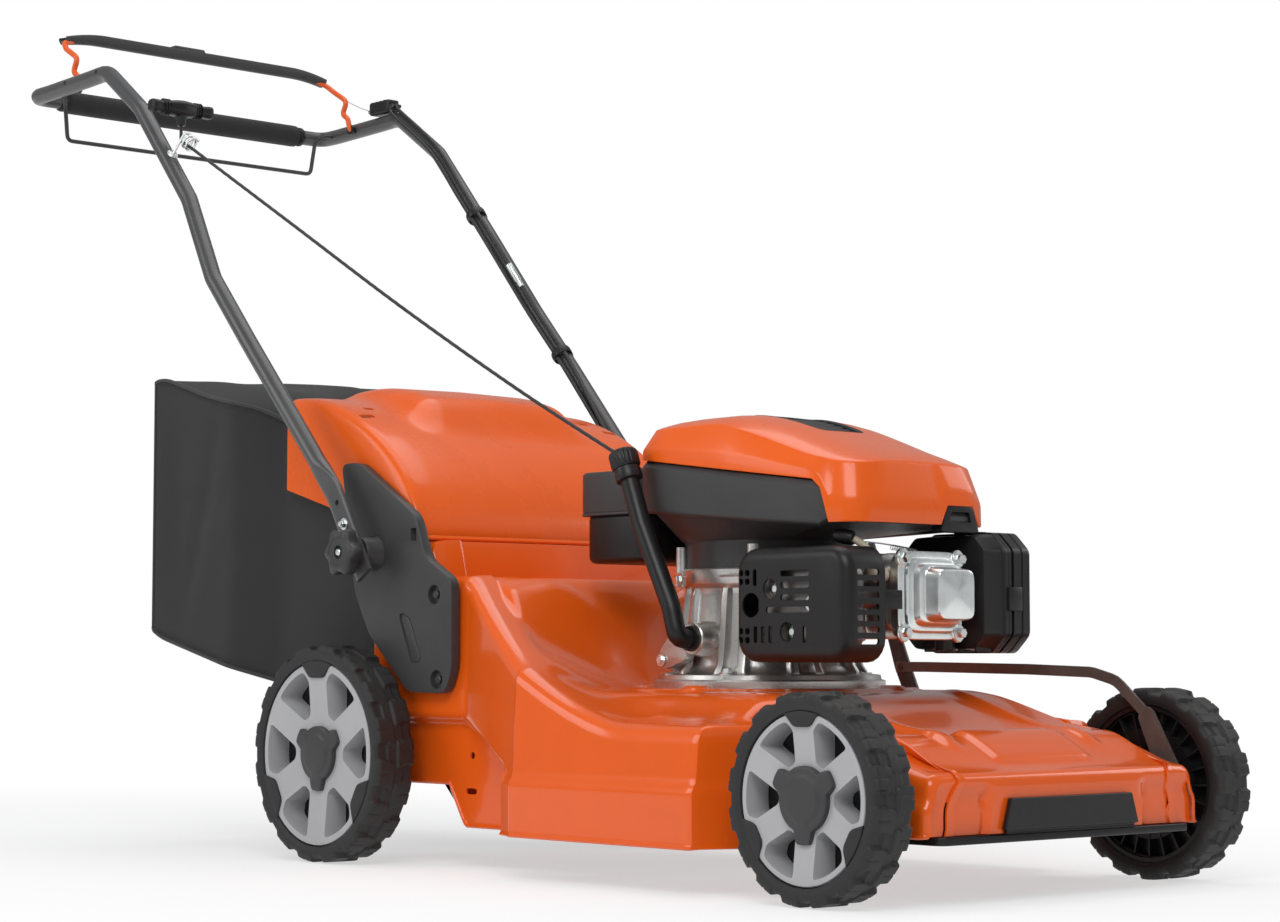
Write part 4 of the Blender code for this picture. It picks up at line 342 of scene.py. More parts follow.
# A welded copy of a CAD node with its edges rounded, which stands for the node.
def refined(node, finish, width, name, bend=None):
    source = frame["nodes"][node]
    bm = bmesh.new()
    bm.from_mesh(source.data)
    bmesh.ops.remove_doubles(bm, verts=bm.verts, dist=1e-6)
    bmesh.ops.dissolve_limit(bm, angle_limit=math.radians(1), verts=bm.verts, edges=bm.edges)
    mesh = bpy.data.meshes.new(name)
    bm.to_mesh(mesh)
    bm.free()
    obj = linked(name, mesh)
    mesh.materials.append(finishes[finish])
    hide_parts(node)
    if bend:
        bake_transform(obj)
    else:
        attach(obj, source["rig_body"])
    if width > 0:
        return soften(obj, width, 2, 30)
    return shade(obj, 30)

# Finishes. Shared effects are node groups, and each finish sets its own values.


def newGroup(name, inputs, outputs):  # an empty node group with its sockets
    tree = bpy.data.node_groups.new(name, "ShaderNodeTree")
    for label, value in inputs.items():
        tree.interface.new_socket(label, in_out="INPUT", socket_type="NodeSocketFloat").default_value = value
    for label in outputs:
        tree.interface.new_socket(label, in_out="OUTPUT", socket_type="NodeSocketFloat")
    return tree, tree.nodes.new("NodeGroupInput"), tree.nodes.new("NodeGroupOutput")


# Adds a node, sets its fields and plain inputs, and links the inputs named by keyword.
def put(tree, kind, values=None, **links):
    made = tree.nodes.new("ShaderNode" + kind)
    for key, value in (values or {}).items():
        if hasattr(made, key):
            setattr(made, key, value)
        else:
            made.inputs[int(key[1:]) if key[0] == "#" else key].default_value = value
    for key, source in links.items():
        socket = made.inputs[int(key[1:]) if key[0] == "i" and key[1:].isdigit() else key.replace("_", " ")]
        tree.links.new(source, socket)
    return made


def reckon(tree, operation, a, b=None, clamp=False):  # a sum of two numbers or sockets
    made = tree.nodes.new("ShaderNodeMath")
    made.operation, made.use_clamp = operation, clamp
    for socket, value in zip(made.inputs, (a, b)):
        if isinstance(value, (int, float)):
            socket.default_value = value
        elif value is not None:
            tree.links.new(value, socket)
    return made.outputs[0]


def between(tree, value, low, high, a=0, b=1):  # a value's place from low to high, as one from a to b
    return put(tree, "MapRange", {"#1": low, "#2": high, "#3": a, "#4": b}, i0=value).outputs[0]


def here(tree):  # a point's place in the whole object
    return put(tree, "TexCoord").outputs["Object"]


def choose(tree, factor, a, b, end):  # one shader or the other, by the factor, into the material's output
    choice = tree.nodes.new("ShaderNodeMixShader")
    for source, socket in zip((factor, a.outputs[0], b.outputs[0], choice.outputs[0]),
            (*choice.inputs, end.inputs[0])):
        tree.links.new(source, socket)


def closed(tree, end, *values):  # a finished node group whose outputs are the given values
    for value, socket in zip(values, end.inputs):
        tree.links.new(value, socket)
    return tree


def noise(tree, place, scale, detail, roughness):
    values = {"Scale": scale, "Detail": detail, "Roughness": roughness}
    return put(tree, "TexNoise", values, Vector=place).outputs[0]


# Moulded or sprayed skin: small cells with finer noise between, and a slow change of tone.
def grainGroup():
    tree, start, end = newGroup("mouldedGrain", {"Scale": 900}, ("Height", "Tone"))
    place = here(tree)
    cells = put(tree, "TexVoronoi", {"feature": "SMOOTH_F1"}, Vector=place, Scale=start.outputs[0])
    fine = put(tree, "TexNoise", {"Detail": 3}, Vector=place, Scale=reckon(tree, "MULTIPLY", start.outputs[0], 2.3))
    height = reckon(tree, "ADD", cells.outputs["Distance"], reckon(tree, "MULTIPLY", fine.outputs[0], 0.6))
    slow = noise(tree, place, 7, 4, 0.6)
    return closed(tree, end, height, slow)


def castGroup():  # sand-cast skin: three sizes of noise added up, with small dark pits
    tree, start, end = newGroup("castSkin", {"Scale": 260}, ("Height", "Pits"))
    place = here(tree)
    coarse = put(tree, "TexNoise", {"Detail": 8, "Roughness": 0.7}, Vector=place, Scale=start.outputs[0])
    lumps = put(tree, "TexNoise", {"Scale": 70, "Detail": 3}, Vector=place)
    pits = put(tree, "TexVoronoi", {}, Vector=place, Scale=reckon(tree, "MULTIPLY", start.outputs[0], 1.7))
    height = reckon(tree, "ADD", coarse.outputs[0], reckon(tree, "MULTIPLY", lumps.outputs[0], 0.8))
    return closed(tree, end, height, between(tree, pits.outputs["Distance"], 0.05, 0.32, 1, 0))


def brushGroup():  # fine parallel scratches: noise squeezed along one direction
    tree, start, end = newGroup("brushedLines", {"Across": 900, "Along": 14}, ("Height", "Tone"))
    place = here(tree)
    scale = tree.nodes.new("ShaderNodeCombineXYZ")
    tree.links.new(start.outputs[1], scale.inputs[0])
    tree.links.new(start.outputs[0], scale.inputs[1])
    tree.links.new(start.outputs[0], scale.inputs[2])
    squeezed = put(tree, "VectorMath", {"operation": "MULTIPLY"}, i0=place, i1=scale.outputs[0])
    lines = put(tree, "TexNoise", {"Scale": 1, "Detail": 4}, Vector=squeezed.outputs[0])
    stains = noise(tree, place, 28, 5, 0.65)
    return closed(tree, end, lines.outputs[0], stains)


def wearGroup():  # where outer edges are rubbed: the mesh's pointiness, broken up by noise
    tree, start, end = newGroup("rubbedEdges", {"Amount": 0.5}, ("Mask",))
    point = put(tree, "NewGeometry").outputs["Pointiness"]
    place = here(tree)
    patches = noise(tree, place, 55, 5, 0.7)
    mask = reckon(tree, "MULTIPLY", between(tree, point, 0.53, 0.6), between(tree, patches, 0.46, 0.62))
    return closed(tree, end, reckon(tree, "MULTIPLY", mask, start.outputs[0], True))


def dustGroup():  # dust that has settled from above: how far a surface faces up, times patchy noise
    tree, start, end = newGroup("settledDust", {"Amount": 0.2}, ("Mask",))
    facing = put(tree, "SeparateXYZ", i0=put(tree, "NewGeometry").outputs["Normal"]).outputs[2]
    place = here(tree)
    patches = noise(tree, place, 22, 6, 0.72)
    mask = reckon(tree, "MULTIPLY", between(tree, facing, 0.1, 1), between(tree, patches, 0.4, 0.75))
    return closed(tree, end, reckon(tree, "MULTIPLY", mask, start.outputs[0], True))


# The weave's second output is painted shade: 1 in the low gaps between threads, 0 on their tops.
def weaveGroup():  # plain weave: rounded threads that pass over and under in turn
    tree, start, end = newGroup("plainWeave", {"Threads": 1}, ("Height", "PaintedGapShade"))
    uv = put(tree, "UVMap", {"uv_map": "cloth"}).outputs[0]
    split = put(tree, "SeparateXYZ", i0=uv)
    u = reckon(tree, "MULTIPLY", split.outputs[0], start.outputs[0])
    v = reckon(tree, "MULTIPLY", split.outputs[1], start.outputs[0])
    ribU = reckon(tree, "ABSOLUTE", reckon(tree, "SINE", reckon(tree, "MULTIPLY", u, math.pi)))
    ribV = reckon(tree, "ABSOLUTE", reckon(tree, "SINE", reckon(tree, "MULTIPLY", v, math.pi)))
    turnU = reckon(tree, "FLOOR", u)
    turnV = reckon(tree, "FLOOR", v)
    over = reckon(tree, "ABSOLUTE", reckon(tree, "MODULO", reckon(tree, "ADD", turnU, turnV), 2))
    under = reckon(tree, "SUBTRACT", 1, over)
    threadU = reckon(tree, "MULTIPLY", ribU, reckon(tree, "ADD", 0.45, reckon(tree, "MULTIPLY", over, 0.55)))
    threadV = reckon(tree, "MULTIPLY", ribV, reckon(tree, "ADD", 0.45, reckon(tree, "MULTIPLY", under, 0.55)))
    height = reckon(tree, "MAXIMUM", threadU, threadV)
    return closed(tree, end, height, between(tree, height, 0.15, 0.55, 1, 0))


groups = {"grain": grainGroup(), "cast": castGroup(), "brushed": brushGroup(), "weave": weaveGroup()}
wear, dust = wearGroup(), dustGroup()


def useGroup(tree, group, values):  # a group placed in a material with its own values
    made = tree.nodes.new("ShaderNodeGroup")
    made.node_tree = group
    for key, value in values.items():
        made.inputs[key].default_value = value
    return made


def mixColour(tree, factor, a, b):  # from a to b by the factor, each a colour or a socket
    made = tree.nodes.new("ShaderNodeMix")
    made.data_type = "RGBA"
    tree.links.new(factor, made.inputs[0])
    for socket, value in ((made.inputs[6], a), (made.inputs[7], b)):
        if isinstance(value, tuple):
            socket.default_value = (*value, 1)
        else:
            tree.links.new(value, socket)
    return made.outputs[2]


# A Principled material: two tones of its colour, worn edges and dust over them, and a fine relief.
def finish(name, look):
    made = bpy.data.materials.new(name)
    made.use_nodes = True
    tree = made.node_tree
    shader = tree.nodes["Principled BSDF"]
    values = {"Scale": look["scale"]} if "scale" in look else look.get("skinValues", {})
    skin = useGroup(tree, groups[look.get("skin", "grain")], values)
    # The skin's second output sets the tone: for the weave it is painted shade in the gaps between threads, and for
    # the other skins it is their own patchy tone and pits.
    toneAndGapShade = skin.outputs[1]
    colour = np.array(look["colour"])
    low, high = look.get("tones", (0.86, 1.1))
    shown = mixColour(tree, between(tree, toneAndGapShade, 0.32, 0.68), tuple(colour * low), tuple(colour * high))
    worn = useGroup(tree, wear, {"Amount": look.get("wear", 0.3)})
    shown = mixColour(tree, worn.outputs[0], shown, tuple(look.get("wornColour", tuple(colour * 1.6 + 0.02))))
    settled = useGroup(tree, dust, {"Amount": look.get("dust", 0.12)})
    shown = mixColour(tree, settled.outputs[0], shown, tuple(look.get("dustColour", (0.33, 0.3, 0.26))))
    tree.links.new(shown, shader.inputs["Base Color"])
    rough = between(tree, toneAndGapShade, 0.3, 0.7, look["rough"] * 0.88, look["rough"] * 1.12)
    rough = reckon(tree, "ADD", rough, reckon(tree, "MULTIPLY", settled.outputs[0], 0.35), True)
    tree.links.new(rough, shader.inputs["Roughness"])
    relief = put(tree, "Bump", {"Strength": look.get("relief", 0.2), "Distance": look.get("depth", 0.0002)},
        Height=skin.outputs[0])
    tree.links.new(relief.outputs[0], shader.inputs["Normal"])
    for key, socket, plain in (("metal", "Metallic", 0), ("coat", "Coat Weight", 0),
            ("coatRough", "Coat Roughness", 0.05), ("sheen", "Sheen Weight", 0),
            ("specular", "Specular IOR Level", 0.5)):
        shader.inputs[socket].default_value = look.get(key, plain)
    made.diffuse_color = (*look["colour"], 1)
    return made


looks = {
    "orangePaint": dict(colour=(0.82, 0.112, 0.007), rough=0.22, coat=0.45, coatRough=0.06, specular=0.25,
        tones=(0.97, 1.03), scale=420, relief=0.035, wear=0, dust=0.03),
    "orangePlastic": dict(colour=(0.82, 0.116, 0.008), rough=0.27, coat=0.25, coatRough=0.1, specular=0.25,
        tones=(0.97, 1.03), scale=1400, relief=0.05, wear=0, dust=0.04),
    "blackPlastic": dict(colour=(0.009, 0.009, 0.01), rough=0.38, specular=0.35, scale=1500, relief=0.22, wear=0.2,
        dust=0.05),
    "greyPlastic": dict(colour=(0.046, 0.046, 0.048), rough=0.44, specular=0.35, scale=1500, relief=0.25, wear=0.25,
        dust=0.1),
    "palePlastic": dict(colour=(0.43, 0.43, 0.44), rough=0.4, scale=1300, relief=0.12, tones=(0.95, 1.04),
        wear=0.15, wornColour=(0.55, 0.55, 0.55), dust=0.08),
    "tyreRubber": dict(colour=(0.014, 0.014, 0.014), rough=0.62, scale=700, relief=0.35, tones=(0.8, 1.35),
        wear=0.5, wornColour=(0.045, 0.044, 0.042), dust=0.1),
    "blackSteel": dict(colour=(0.03, 0.03, 0.032), rough=0.38, scale=800, relief=0.12, wear=0.1, dust=0.05),
    "bareSteel": dict(colour=(0.44, 0.4, 0.37), rough=0.3, metal=1, skin="brushed", relief=0.12, tones=(0.8, 1.1),
        wear=0.3, wornColour=(0.66, 0.62, 0.58), dust=0.04),
    "zinc": dict(colour=(0.8, 0.84, 0.83), rough=0.3, metal=1, skin="brushed",
        skinValues={"Across": 260, "Along": 120}, relief=0.06, tones=(0.86, 1.08), wear=0.2,
        wornColour=(0.85, 0.85, 0.82), dust=0.03),
    "castAluminium": dict(colour=(0.5, 0.49, 0.47), rough=0.38, metal=0.95, skin="cast", relief=0.36, depth=0.0005,
        tones=(1.08, 0.55), wear=0.6, wornColour=(0.82, 0.82, 0.8), dust=0.08),
    "creamRubber": dict(colour=(0.62, 0.56, 0.42), rough=0.5, scale=900, relief=0.15, wear=0.1),
    "foam": dict(colour=(0.012, 0.012, 0.012), rough=0.85, scale=1100, relief=0.6, depth=0.0004, tones=(0.8, 1.3),
        wear=0.3, wornColour=(0.03, 0.03, 0.03), dust=0.08, sheen=0.15),
    "orangeWire": dict(colour=(0.8, 0.11, 0.01), rough=0.33, scale=900, relief=0.08, wear=0.1, tones=(0.95, 1.05),
        dust=0.02),
    # Black of the vent's grille, also used for the painted-shade sheet under the vent.
    "ventBlackAndShade": dict(colour=(0.01, 0.01, 0.011), rough=0.5, scale=900, relief=0.2, wear=0.1),
    "ropeFibre": dict(colour=(0.02, 0.02, 0.021), rough=0.75, scale=2600, relief=0.6, depth=0.0003,
        tones=(0.6, 1.7), wear=0.5, wornColour=(0.06, 0.06, 0.06), dust=0.1, sheen=0.2),
    # The fabric's tones are painted shade from the weave: thread tops lighter, gaps between threads darker.
    "blackFabric": dict(colour=(0.011, 0.011, 0.012), rough=0.85, skin="weave", skinValues={"Threads": 1150},
        relief=0.5, depth=0.0004, tones=(1.12, 0.82), wear=0, dust=0.05, sheen=0.08, dustColour=(0.1, 0.095, 0.09)),
    "bagBinding": dict(colour=(0.018, 0.018, 0.019), rough=0.7, scale=2400, relief=0.5, depth=0.0003, wear=0,
        dust=0.08, sheen=0.2),
    "greyTube": dict(colour=(0.06, 0.06, 0.062), rough=0.34, scale=900, relief=0.02, coat=0.15, coatRough=0.2,
        wear=0, dust=0.05, tones=(0.92, 1.08)),
    "blackCable": dict(colour=(0.014, 0.014, 0.014), rough=0.38, scale=900, relief=0.05, wear=0.1, dust=0.06),
    "mufflerSteel": dict(colour=(0.2, 0.19, 0.18), rough=0.45, metal=0.8, skin="cast", relief=0.2,
        tones=(1.15, 0.7), wear=0.3, dust=0.05),
    "strapSteel": dict(colour=(0.13, 0.115, 0.105), rough=0.42, metal=0.35, skin="brushed", relief=0.1,
        tones=(0.85, 1.15), wear=0.4, wornColour=(0.3, 0.25, 0.22), dust=0.05),
}
finishes = {name: finish(name, look) for name, look in looks.items()}
print("finishes made")

# Camera, floor and light.
cameraPlace = dict(at=(2.67135, -2.2181, 0.2404), forward=(-0.7448, 0.6635, 0.0702), right=(0.6652, 0.7467, 0.0003),
    lens=78.87, sensor=36)


def placed(right, up, back, at):  # a place matrix from three directions and a point
    return Matrix(np.column_stack([right, up, back, at]).tolist()).to_4x4()


def makeCamera():  # stands where the photo was taken from
    data = bpy.data.cameras.new("camera")
    data.lens, data.sensor_width = cameraPlace["lens"], cameraPlace["sensor"]
    data.clip_start, data.clip_end = 0.05, 60
    camera = linked("camera", data)
    forward, right = (unit(np.array(cameraPlace[k])) for k in ("forward", "right"))
    up = np.cross(right, forward)
    camera.matrix_world = placed(right, up, -forward, cameraPlace["at"])
    bpy.context.scene.camera = camera


def seenRay(tree):  # 1 for what the camera sees straight, in a mirror or through glass
    ray = tree.nodes.new("ShaderNodeLightPath")
    most = reckon(tree, "MAXIMUM", ray.outputs["Is Camera Ray"], ray.outputs["Is Glossy Ray"])
    return reckon(tree, "MAXIMUM", most, ray.outputs["Is Transmission Ray"])


lights = dict(world=0.36, seen=1, lamps=(dict(name="key", at=(2.4, -2.6, 2.9), aim=(0.1, 0, 0.25), size=(2.2, 1.6),
    power=70), dict(name="side", at=(-1.6, -3, 1.9), aim=(-0.2, 0, 0.3), size=(1.6, 1.9), power=27),
    dict(name="top", at=(-0.2, 0.4, 3.2), aim=(0, 0, 0.2), size=(2.6, 1.8), power=31),
    dict(name="far", at=(1.4, 2.9, 1.7), aim=(0.1, 0, 0.3), size=(1.6, 1.4), power=18)))


def makeLights():  # white surroundings and four soft lamps
    world = bpy.data.worlds.new("studio")
    bpy.context.scene.world = world
    world.use_nodes = True
    tree = world.node_tree
    tree.nodes.clear()
    end = tree.nodes.new("ShaderNodeOutputWorld")
    lit = put(tree, "Background", {"Color": (0.97, 0.985, 1, 1), "Strength": lights["world"]})
    plain = put(tree, "Background", {"Color": (1, 1, 1, 1), "Strength": lights["seen"]})
    ray = tree.nodes.new("ShaderNodeLightPath")
    seen = reckon(tree, "MAXIMUM", ray.outputs["Is Camera Ray"], ray.outputs["Is Transmission Ray"])
    choose(tree, seen, lit, plain, end)
    for lamp in lights["lamps"]:
        data = bpy.data.lights.new(lamp["name"], "AREA")
        data.shape, data.size, data.size_y, data.energy = "RECTANGLE", *lamp["size"], lamp["power"]
        back = unit(np.array(lamp["at"]) - lamp["aim"])
        linked(lamp["name"], data).matrix_world = placed(*axes(back), back, lamp["at"])


def makeFloor():  # its middle keeps the shadow and it goes over to plain white further out
    angle = np.linspace(0, 2 * np.pi, 96, endpoint=False)
    radius = np.array([0.02, 0.6, 1.2, 2.5, 6, 30])
    rings = pack(radius[:, None] * np.cos(angle), radius[:, None] * np.sin(angle), -0.0004)
    mesh = bpy.data.meshes.new("floor")
    mesh.from_pydata(rings.reshape(-1, 3).tolist(), [], loft(rings)[1][:-1])
    floor = linked("floor", mesh)
    paper = bpy.data.materials.new("floorPaper")
    paper.use_nodes = True
    tree = paper.node_tree
    tree.nodes.clear()
    end = tree.nodes.new("ShaderNodeOutputMaterial")
    matt = put(tree, "BsdfDiffuse", {"Color": (0.95, 0.95, 0.95, 1)})
    glow = put(tree, "Emission", {"Color": (1, 1, 1, 1), "Strength": 1})
    place = here(tree)
    flat = put(tree, "VectorMath", {"operation": "MULTIPLY", "#1": (0.75, 1.35, 0)}, i0=place)
    away = put(tree, "VectorMath", {"operation": "LENGTH"}, i0=flat.outputs[0])
    share = between(tree, away.outputs["Value"], 0.55, 1.7, 0.56, 1)
    choose(tree, reckon(tree, "MULTIPLY", share, seenRay(tree)), matt, glow, end)
    mesh.materials.append(paper)


makeCamera()
makeLights()
makeFloor()
bpy.context.scene.view_settings.view_transform = "Standard"
print("stage set")

# Handle legs and the starter rope, which other pieces are placed by.
handle = dict(knob=(-0.77, 0.365), gripX=-1.57, gripZ=1.032, gripHalf=0.2475, legY=0.262)


def handleLeg(side):  # middle line of one leg, from its flat end up to the top bend
    y, g = handle["legY"], handle["gripHalf"]
    line = np.array([(0.017, y, -0.027), (0, y, 0), (-0.045, y, 0.073), (-0.09, y, 0.122),
        (-0.229, y + 0.004, 0.273), (-0.307, y + 0.004, 0.357), (-0.39, g + 0.003, 0.471),
        (-0.511, g + 0.003, 0.608), (-0.602, g, 0.672), (-0.65, g, 0.67), (-0.76, g, 0.667)])
    line[:, 1] *= side
    return line + np.array([handle["knob"][0], 0, handle["knob"][1]])


tube = dict(radius=0.011, bend=0.042, flatWide=0.015, flatThin=0.003, flatTo=-0.818, roundFrom=-0.852)
guide = dict(wire=0.0018, coil=0.0092, turns=2.25, out=np.array([0.749, 0, 0.661]), along=0.42)
rope = dict(radius=0.0022, exit=(-0.441, -0.092, 0.4475), above=0.0047, pitch=0.0046, sides=12)
legs = {side: handleLeg(side) for side in (-1, 1)}
guideFoot = legs[-1][6] + (legs[-1][7] - legs[-1][6]) * guide["along"] + (guide["out"]
    * (tube["radius"] + guide["wire"]))
guideMiddle = guideFoot + (0.018, 0.013, 0.014)
ropeAlong = unit(np.array(rope["exit"]) - guideMiddle)
ropeSide = unit(np.array([-ropeAlong[1], ropeAlong[0], 0]))
ropeUp = np.cross(ropeSide, ropeAlong)
starterGripAt = guideMiddle + (-0.017, -0.002, 0.046)


# The CAD rope's points: out of the engine, a slight sag, over the guide's coil and up to the grip.
def ropeRoute():
    start = np.array(rope["exit"])
    end = starterGripAt + (0.001, 0, -0.0224)
    line = [start, start + (-0.02, -0.004, 0.013)]
    line += [start + (guideMiddle - start) * k - (0, 0, sag) for k, sag in ((0.25, 0.01), (0.5, 0.013),
        (0.75, 0.009))]
    rest = guideMiddle + ropeUp * rope["above"]
    line += [rest + ropeAlong * k for k in (0.03, 0.012, -0.008, -0.014)]
    return np.array(line + [end - (0, 0, 0.006), end])


# A braided rope, whose radius swells where its strands cross.
def ropePiece(name, path):
    around = np.arange(rope["sides"])
    along = np.concatenate([[0], np.cumsum(np.linalg.norm(np.diff(path, axis=0), axis=1))])
    swell = 1 + 0.05 * np.cos(2 * np.pi * (along[:, None] / rope["pitch"] + around[None] / 4))
    a = 2 * np.pi * around / rope["sides"]
    outline = rope["radius"] * 0.97 * swell[..., None] * pack(np.cos(a), np.sin(a))[None]
    return build(name, sweep(path, outline), "ropeFibre", None, weld=False)


fullRoute = smoothPath(ropeRoute(), 0.0035)
overCoil = guideMiddle + ropeUp * rope["above"]
ropeSplit = int(np.argmin(np.linalg.norm(fullRoute - overCoil, axis=1)))
longRun, shortRun = fullRoute[:ropeSplit + 1], fullRoute[ropeSplit:]
longRope = ropePiece("starterRope", longRun)
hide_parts("starter_rope")
endRope = ropePiece("starterRopeEnd", shortRun)
for piece, run, bodies in ((longRope, longRun, ("chassis", "handle")),
        (endRope, shortRun, ("handle", "starter_grip"))):
    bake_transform(piece)

# Wheels, drawn about their own axis as (across, out, up).
corners = (("front_right", 0, -1, 0.1043, 0.0846), ("front_left", 0, 1, 0.1043, 0.0846),
    ("rear_right", -0.811, -1, 0.1279, 0.1083), ("rear_left", -0.811, 1, 0.1279, 0.1083))
wheel = dict(half=0.02785, middle=0.26465, lugs=16, lug=0.005, face=0.0245, back=-0.006, ribs=24)


def polar(r, a):  # points on the wheel's face from radius and angle
    return pack(r * np.sin(a), r * np.cos(a))


def notch(rim):  # the tyre's tongue in the rim's edge: it narrows inwards from the rim's circle
    a = np.linspace(0.272, -0.272, 9)
    arc = polar(np.full(9, rim * 1.012), a)
    foot = np.array([(-0.125, 0.825), (0.125, 0.825)]) * rim
    foot = roundCorners(np.concatenate([arc[-1:], foot, arc[:1]]), [0, 0.005, 0.005, 0], 5)
    return np.concatenate([foot[6:18], arc])


def turnedFlat(outline, angle):  # a flat outline turned about the axle
    c, s = math.cos(angle), math.sin(angle)
    return pack(outline[:, 0] * c + outline[:, 1] * s, outline[:, 1] * c - outline[:, 0] * s)


# Side blocks, one row half a pitch behind the other, and a low middle band.
def tyrePart(radius, rim):
    half, low = wheel["half"] - 0.0009, radius - wheel["lug"]
    side = [(rim - 0.006, -half + 0.01), (rim + 0.0004, -half + 0.0065), (rim + 0.0012, -half + 0.0022),
        (rim + 0.0035, -half + 0.0009), (rim + 0.0042, -half + 0.0014), (rim + 0.005, -half + 0.0006),
        (low - 0.006, -half), (low - 0.0028, -half + 0.0004), (low - 0.0008, -half + 0.0022), (low, -half + 0.0055)]
    outline = evenly(np.array(side + [(low + 0.0004, 0)] + [(r, -h) for r, h in side[::-1]]), 0.0015)
    across = unit(np.gradient(outline, axis=0))
    normal = pack(across[:, 1], -across[:, 0])
    normal *= np.sign((normal * (outline - [[rim, 0]])).sum(1).mean())
    steps = wheel["lugs"] * 22
    a = 2 * np.pi * np.arange(steps) / steps
    u = outline[:, 1] / wheel["half"]
    phase = a[:, None] * wheel["lugs"] / (2 * np.pi) + 0.1 * np.sin(np.abs(u) * 2.4) + np.where(u > 0, 0, 0.5)
    p = np.abs((phase % 1) - 0.5)
    u = np.abs(u)
    block = ease(p, 0.335, 0.285) * ease(u, 0.03, 0.08, 0.35, 1)
    sipe = 1 - 0.22 * ease(p, 0.035, 0.015) * ease(u, 0.2, 0.35)
    rise = np.maximum(block * sipe, 0.42 * ease(u, 0.46, 0.36)) * ease(outline[:, 0], low - 0.0062, low - 0.0004)
    edge = rise * wheel["lug"] * ease(u, 0.8, 0.97, 1, 0.18)
    flat = outline + normal * edge[..., None]
    flat[..., 1] = np.clip(flat[..., 1], -wheel["half"] + 0.0001, wheel["half"] - 0.0001)
    flat[..., 0] = np.minimum(flat[..., 0], radius)
    rings = pack(flat[..., 0] * np.sin(a)[:, None], flat[..., 1], flat[..., 0] * np.cos(a)[:, None])
    return loft(rings, closeRows=True)


# One window, with a corner cut off beside the tyre's tongue.
def windowOutline(rim, flip):
    w = 0.16  # half of a spoke's width, as a share of the rim's radius
    cutSide = np.array([(w, 0.405), (w, 0.79), (0.262, 0.885)])
    arc = polar(np.full(7, 0.925), np.radians(np.linspace(17.2, 49.2, 7)))
    other = turnedFlat(np.array([(-w, 0.911), (-w, 0.405)]), math.radians(60))
    outline = np.concatenate([cutSide, arc[1:-1], other]) * rim
    outline = roundCorners(outline, rim * np.array([0.05, 0.05, 0.05, 0, 0, 0, 0, 0, 0.05, 0.05]), 4)
    if flip:
        angle = np.arctan2(outline[:, 0], outline[:, 1])
        outline = polar(np.linalg.norm(outline, axis=1), np.radians(60) - angle)[::-1]
    return outline


def rimPart(rim):  # the wheel's pale face as a turned solid, before its windows are cut
    r, face, back = rim, wheel["face"], wheel["back"]
    profile = [(0.0064, back - 0.01), (0.015, back - 0.01), (0.016, back), (r - 0.001, back), (r, back + 0.002),
        (r, face - 0.0035), (r - 0.0012, face - 0.0008), (r - 0.0035, face - 0.0002), (r * 0.9, face - 0.0009),
        (0.034, face - 0.0062), (0.0064, face - 0.0062)]
    return turn(profile, 120)


def onWheel(part, side, at):  # a part drawn for a left wheel, put on its own side and axle
    points = np.asarray(part[0], float).reshape(-1, 3) * (1, side, 1) + at
    return points, part[1] if side > 0 else [face[::-1] for face in part[1]]


def capPart():  # domed cap: a disc joined with three narrow lobes, flat on top with a raised round boss
    a = 2 * np.pi * np.arange(144) / 144
    lobe = np.zeros(144)
    for k in (np.pi, np.pi / 3, -np.pi / 3):
        off = (a - k + np.pi) % (2 * np.pi) - np.pi
        lobe = np.maximum(lobe, ease(np.abs(off), 0.4, 0.17))
    plan = 0.0325 + 0.0115 * lobe
    rows = [(0.018, 1, 0), (0.0228, 1, 0), (0.024, 0.985, 0), (0.0247, 0.95, 0), (0.025, 0.88, 0.15),
        (0.0252, 0.8, 0.4), (0.0258, 0.74, 0.8), (0.0269, 0.7, 1), (0.0272, 0.66, 1), (0.0273, 0.3, 1),
        (0.0273, 0.02, 1)]
    rings = []
    for h, k, toRound in rows:
        r = (plan * (1 - toRound) + 0.0315 * toRound) * k
        rings.append(pack(r * np.sin(a), h, r * np.cos(a)))
    return loft(rings)


def backPart(rim):  # the inner half of the wheel: a dark dish with radial ribs and two hoops
    dish = turn([(0.0066, -0.0115), (0.013, -0.0115), (rim - 0.006, -0.008), (rim - 0.004, -0.0225),
        (rim + 0.0005, -0.0225), (rim + 0.0005, -0.0065), (0.0066, -0.0065)], 96, (0, 0, 0), (0, 1, 0))
    hub = turn([(0.0066, -0.0225), (0.017, -0.0225), (0.018, -0.0085), (0.0066, -0.0085)], 40, (0, 0, 0), (0, 1, 0))
    parts = [dish, hub]
    rib = roundBox((-0.0009, -0.0195, 0.0165), (0.0009, -0.0085, rim - 0.0045), 0.0005, 2, 2)
    parts += [tilted(rib, 360 * k / wheel["ribs"]) for k in range(wheel["ribs"])]
    for r in (rim * 0.45, rim * 0.7):
        parts.append(turn([(r - 0.0009, -0.0185), (r + 0.0009, -0.0185), (r + 0.0009, -0.008),
            (r - 0.0009, -0.008)], 72, (0, 0, 0), (0, 1, 0)))
    return combine(*parts)


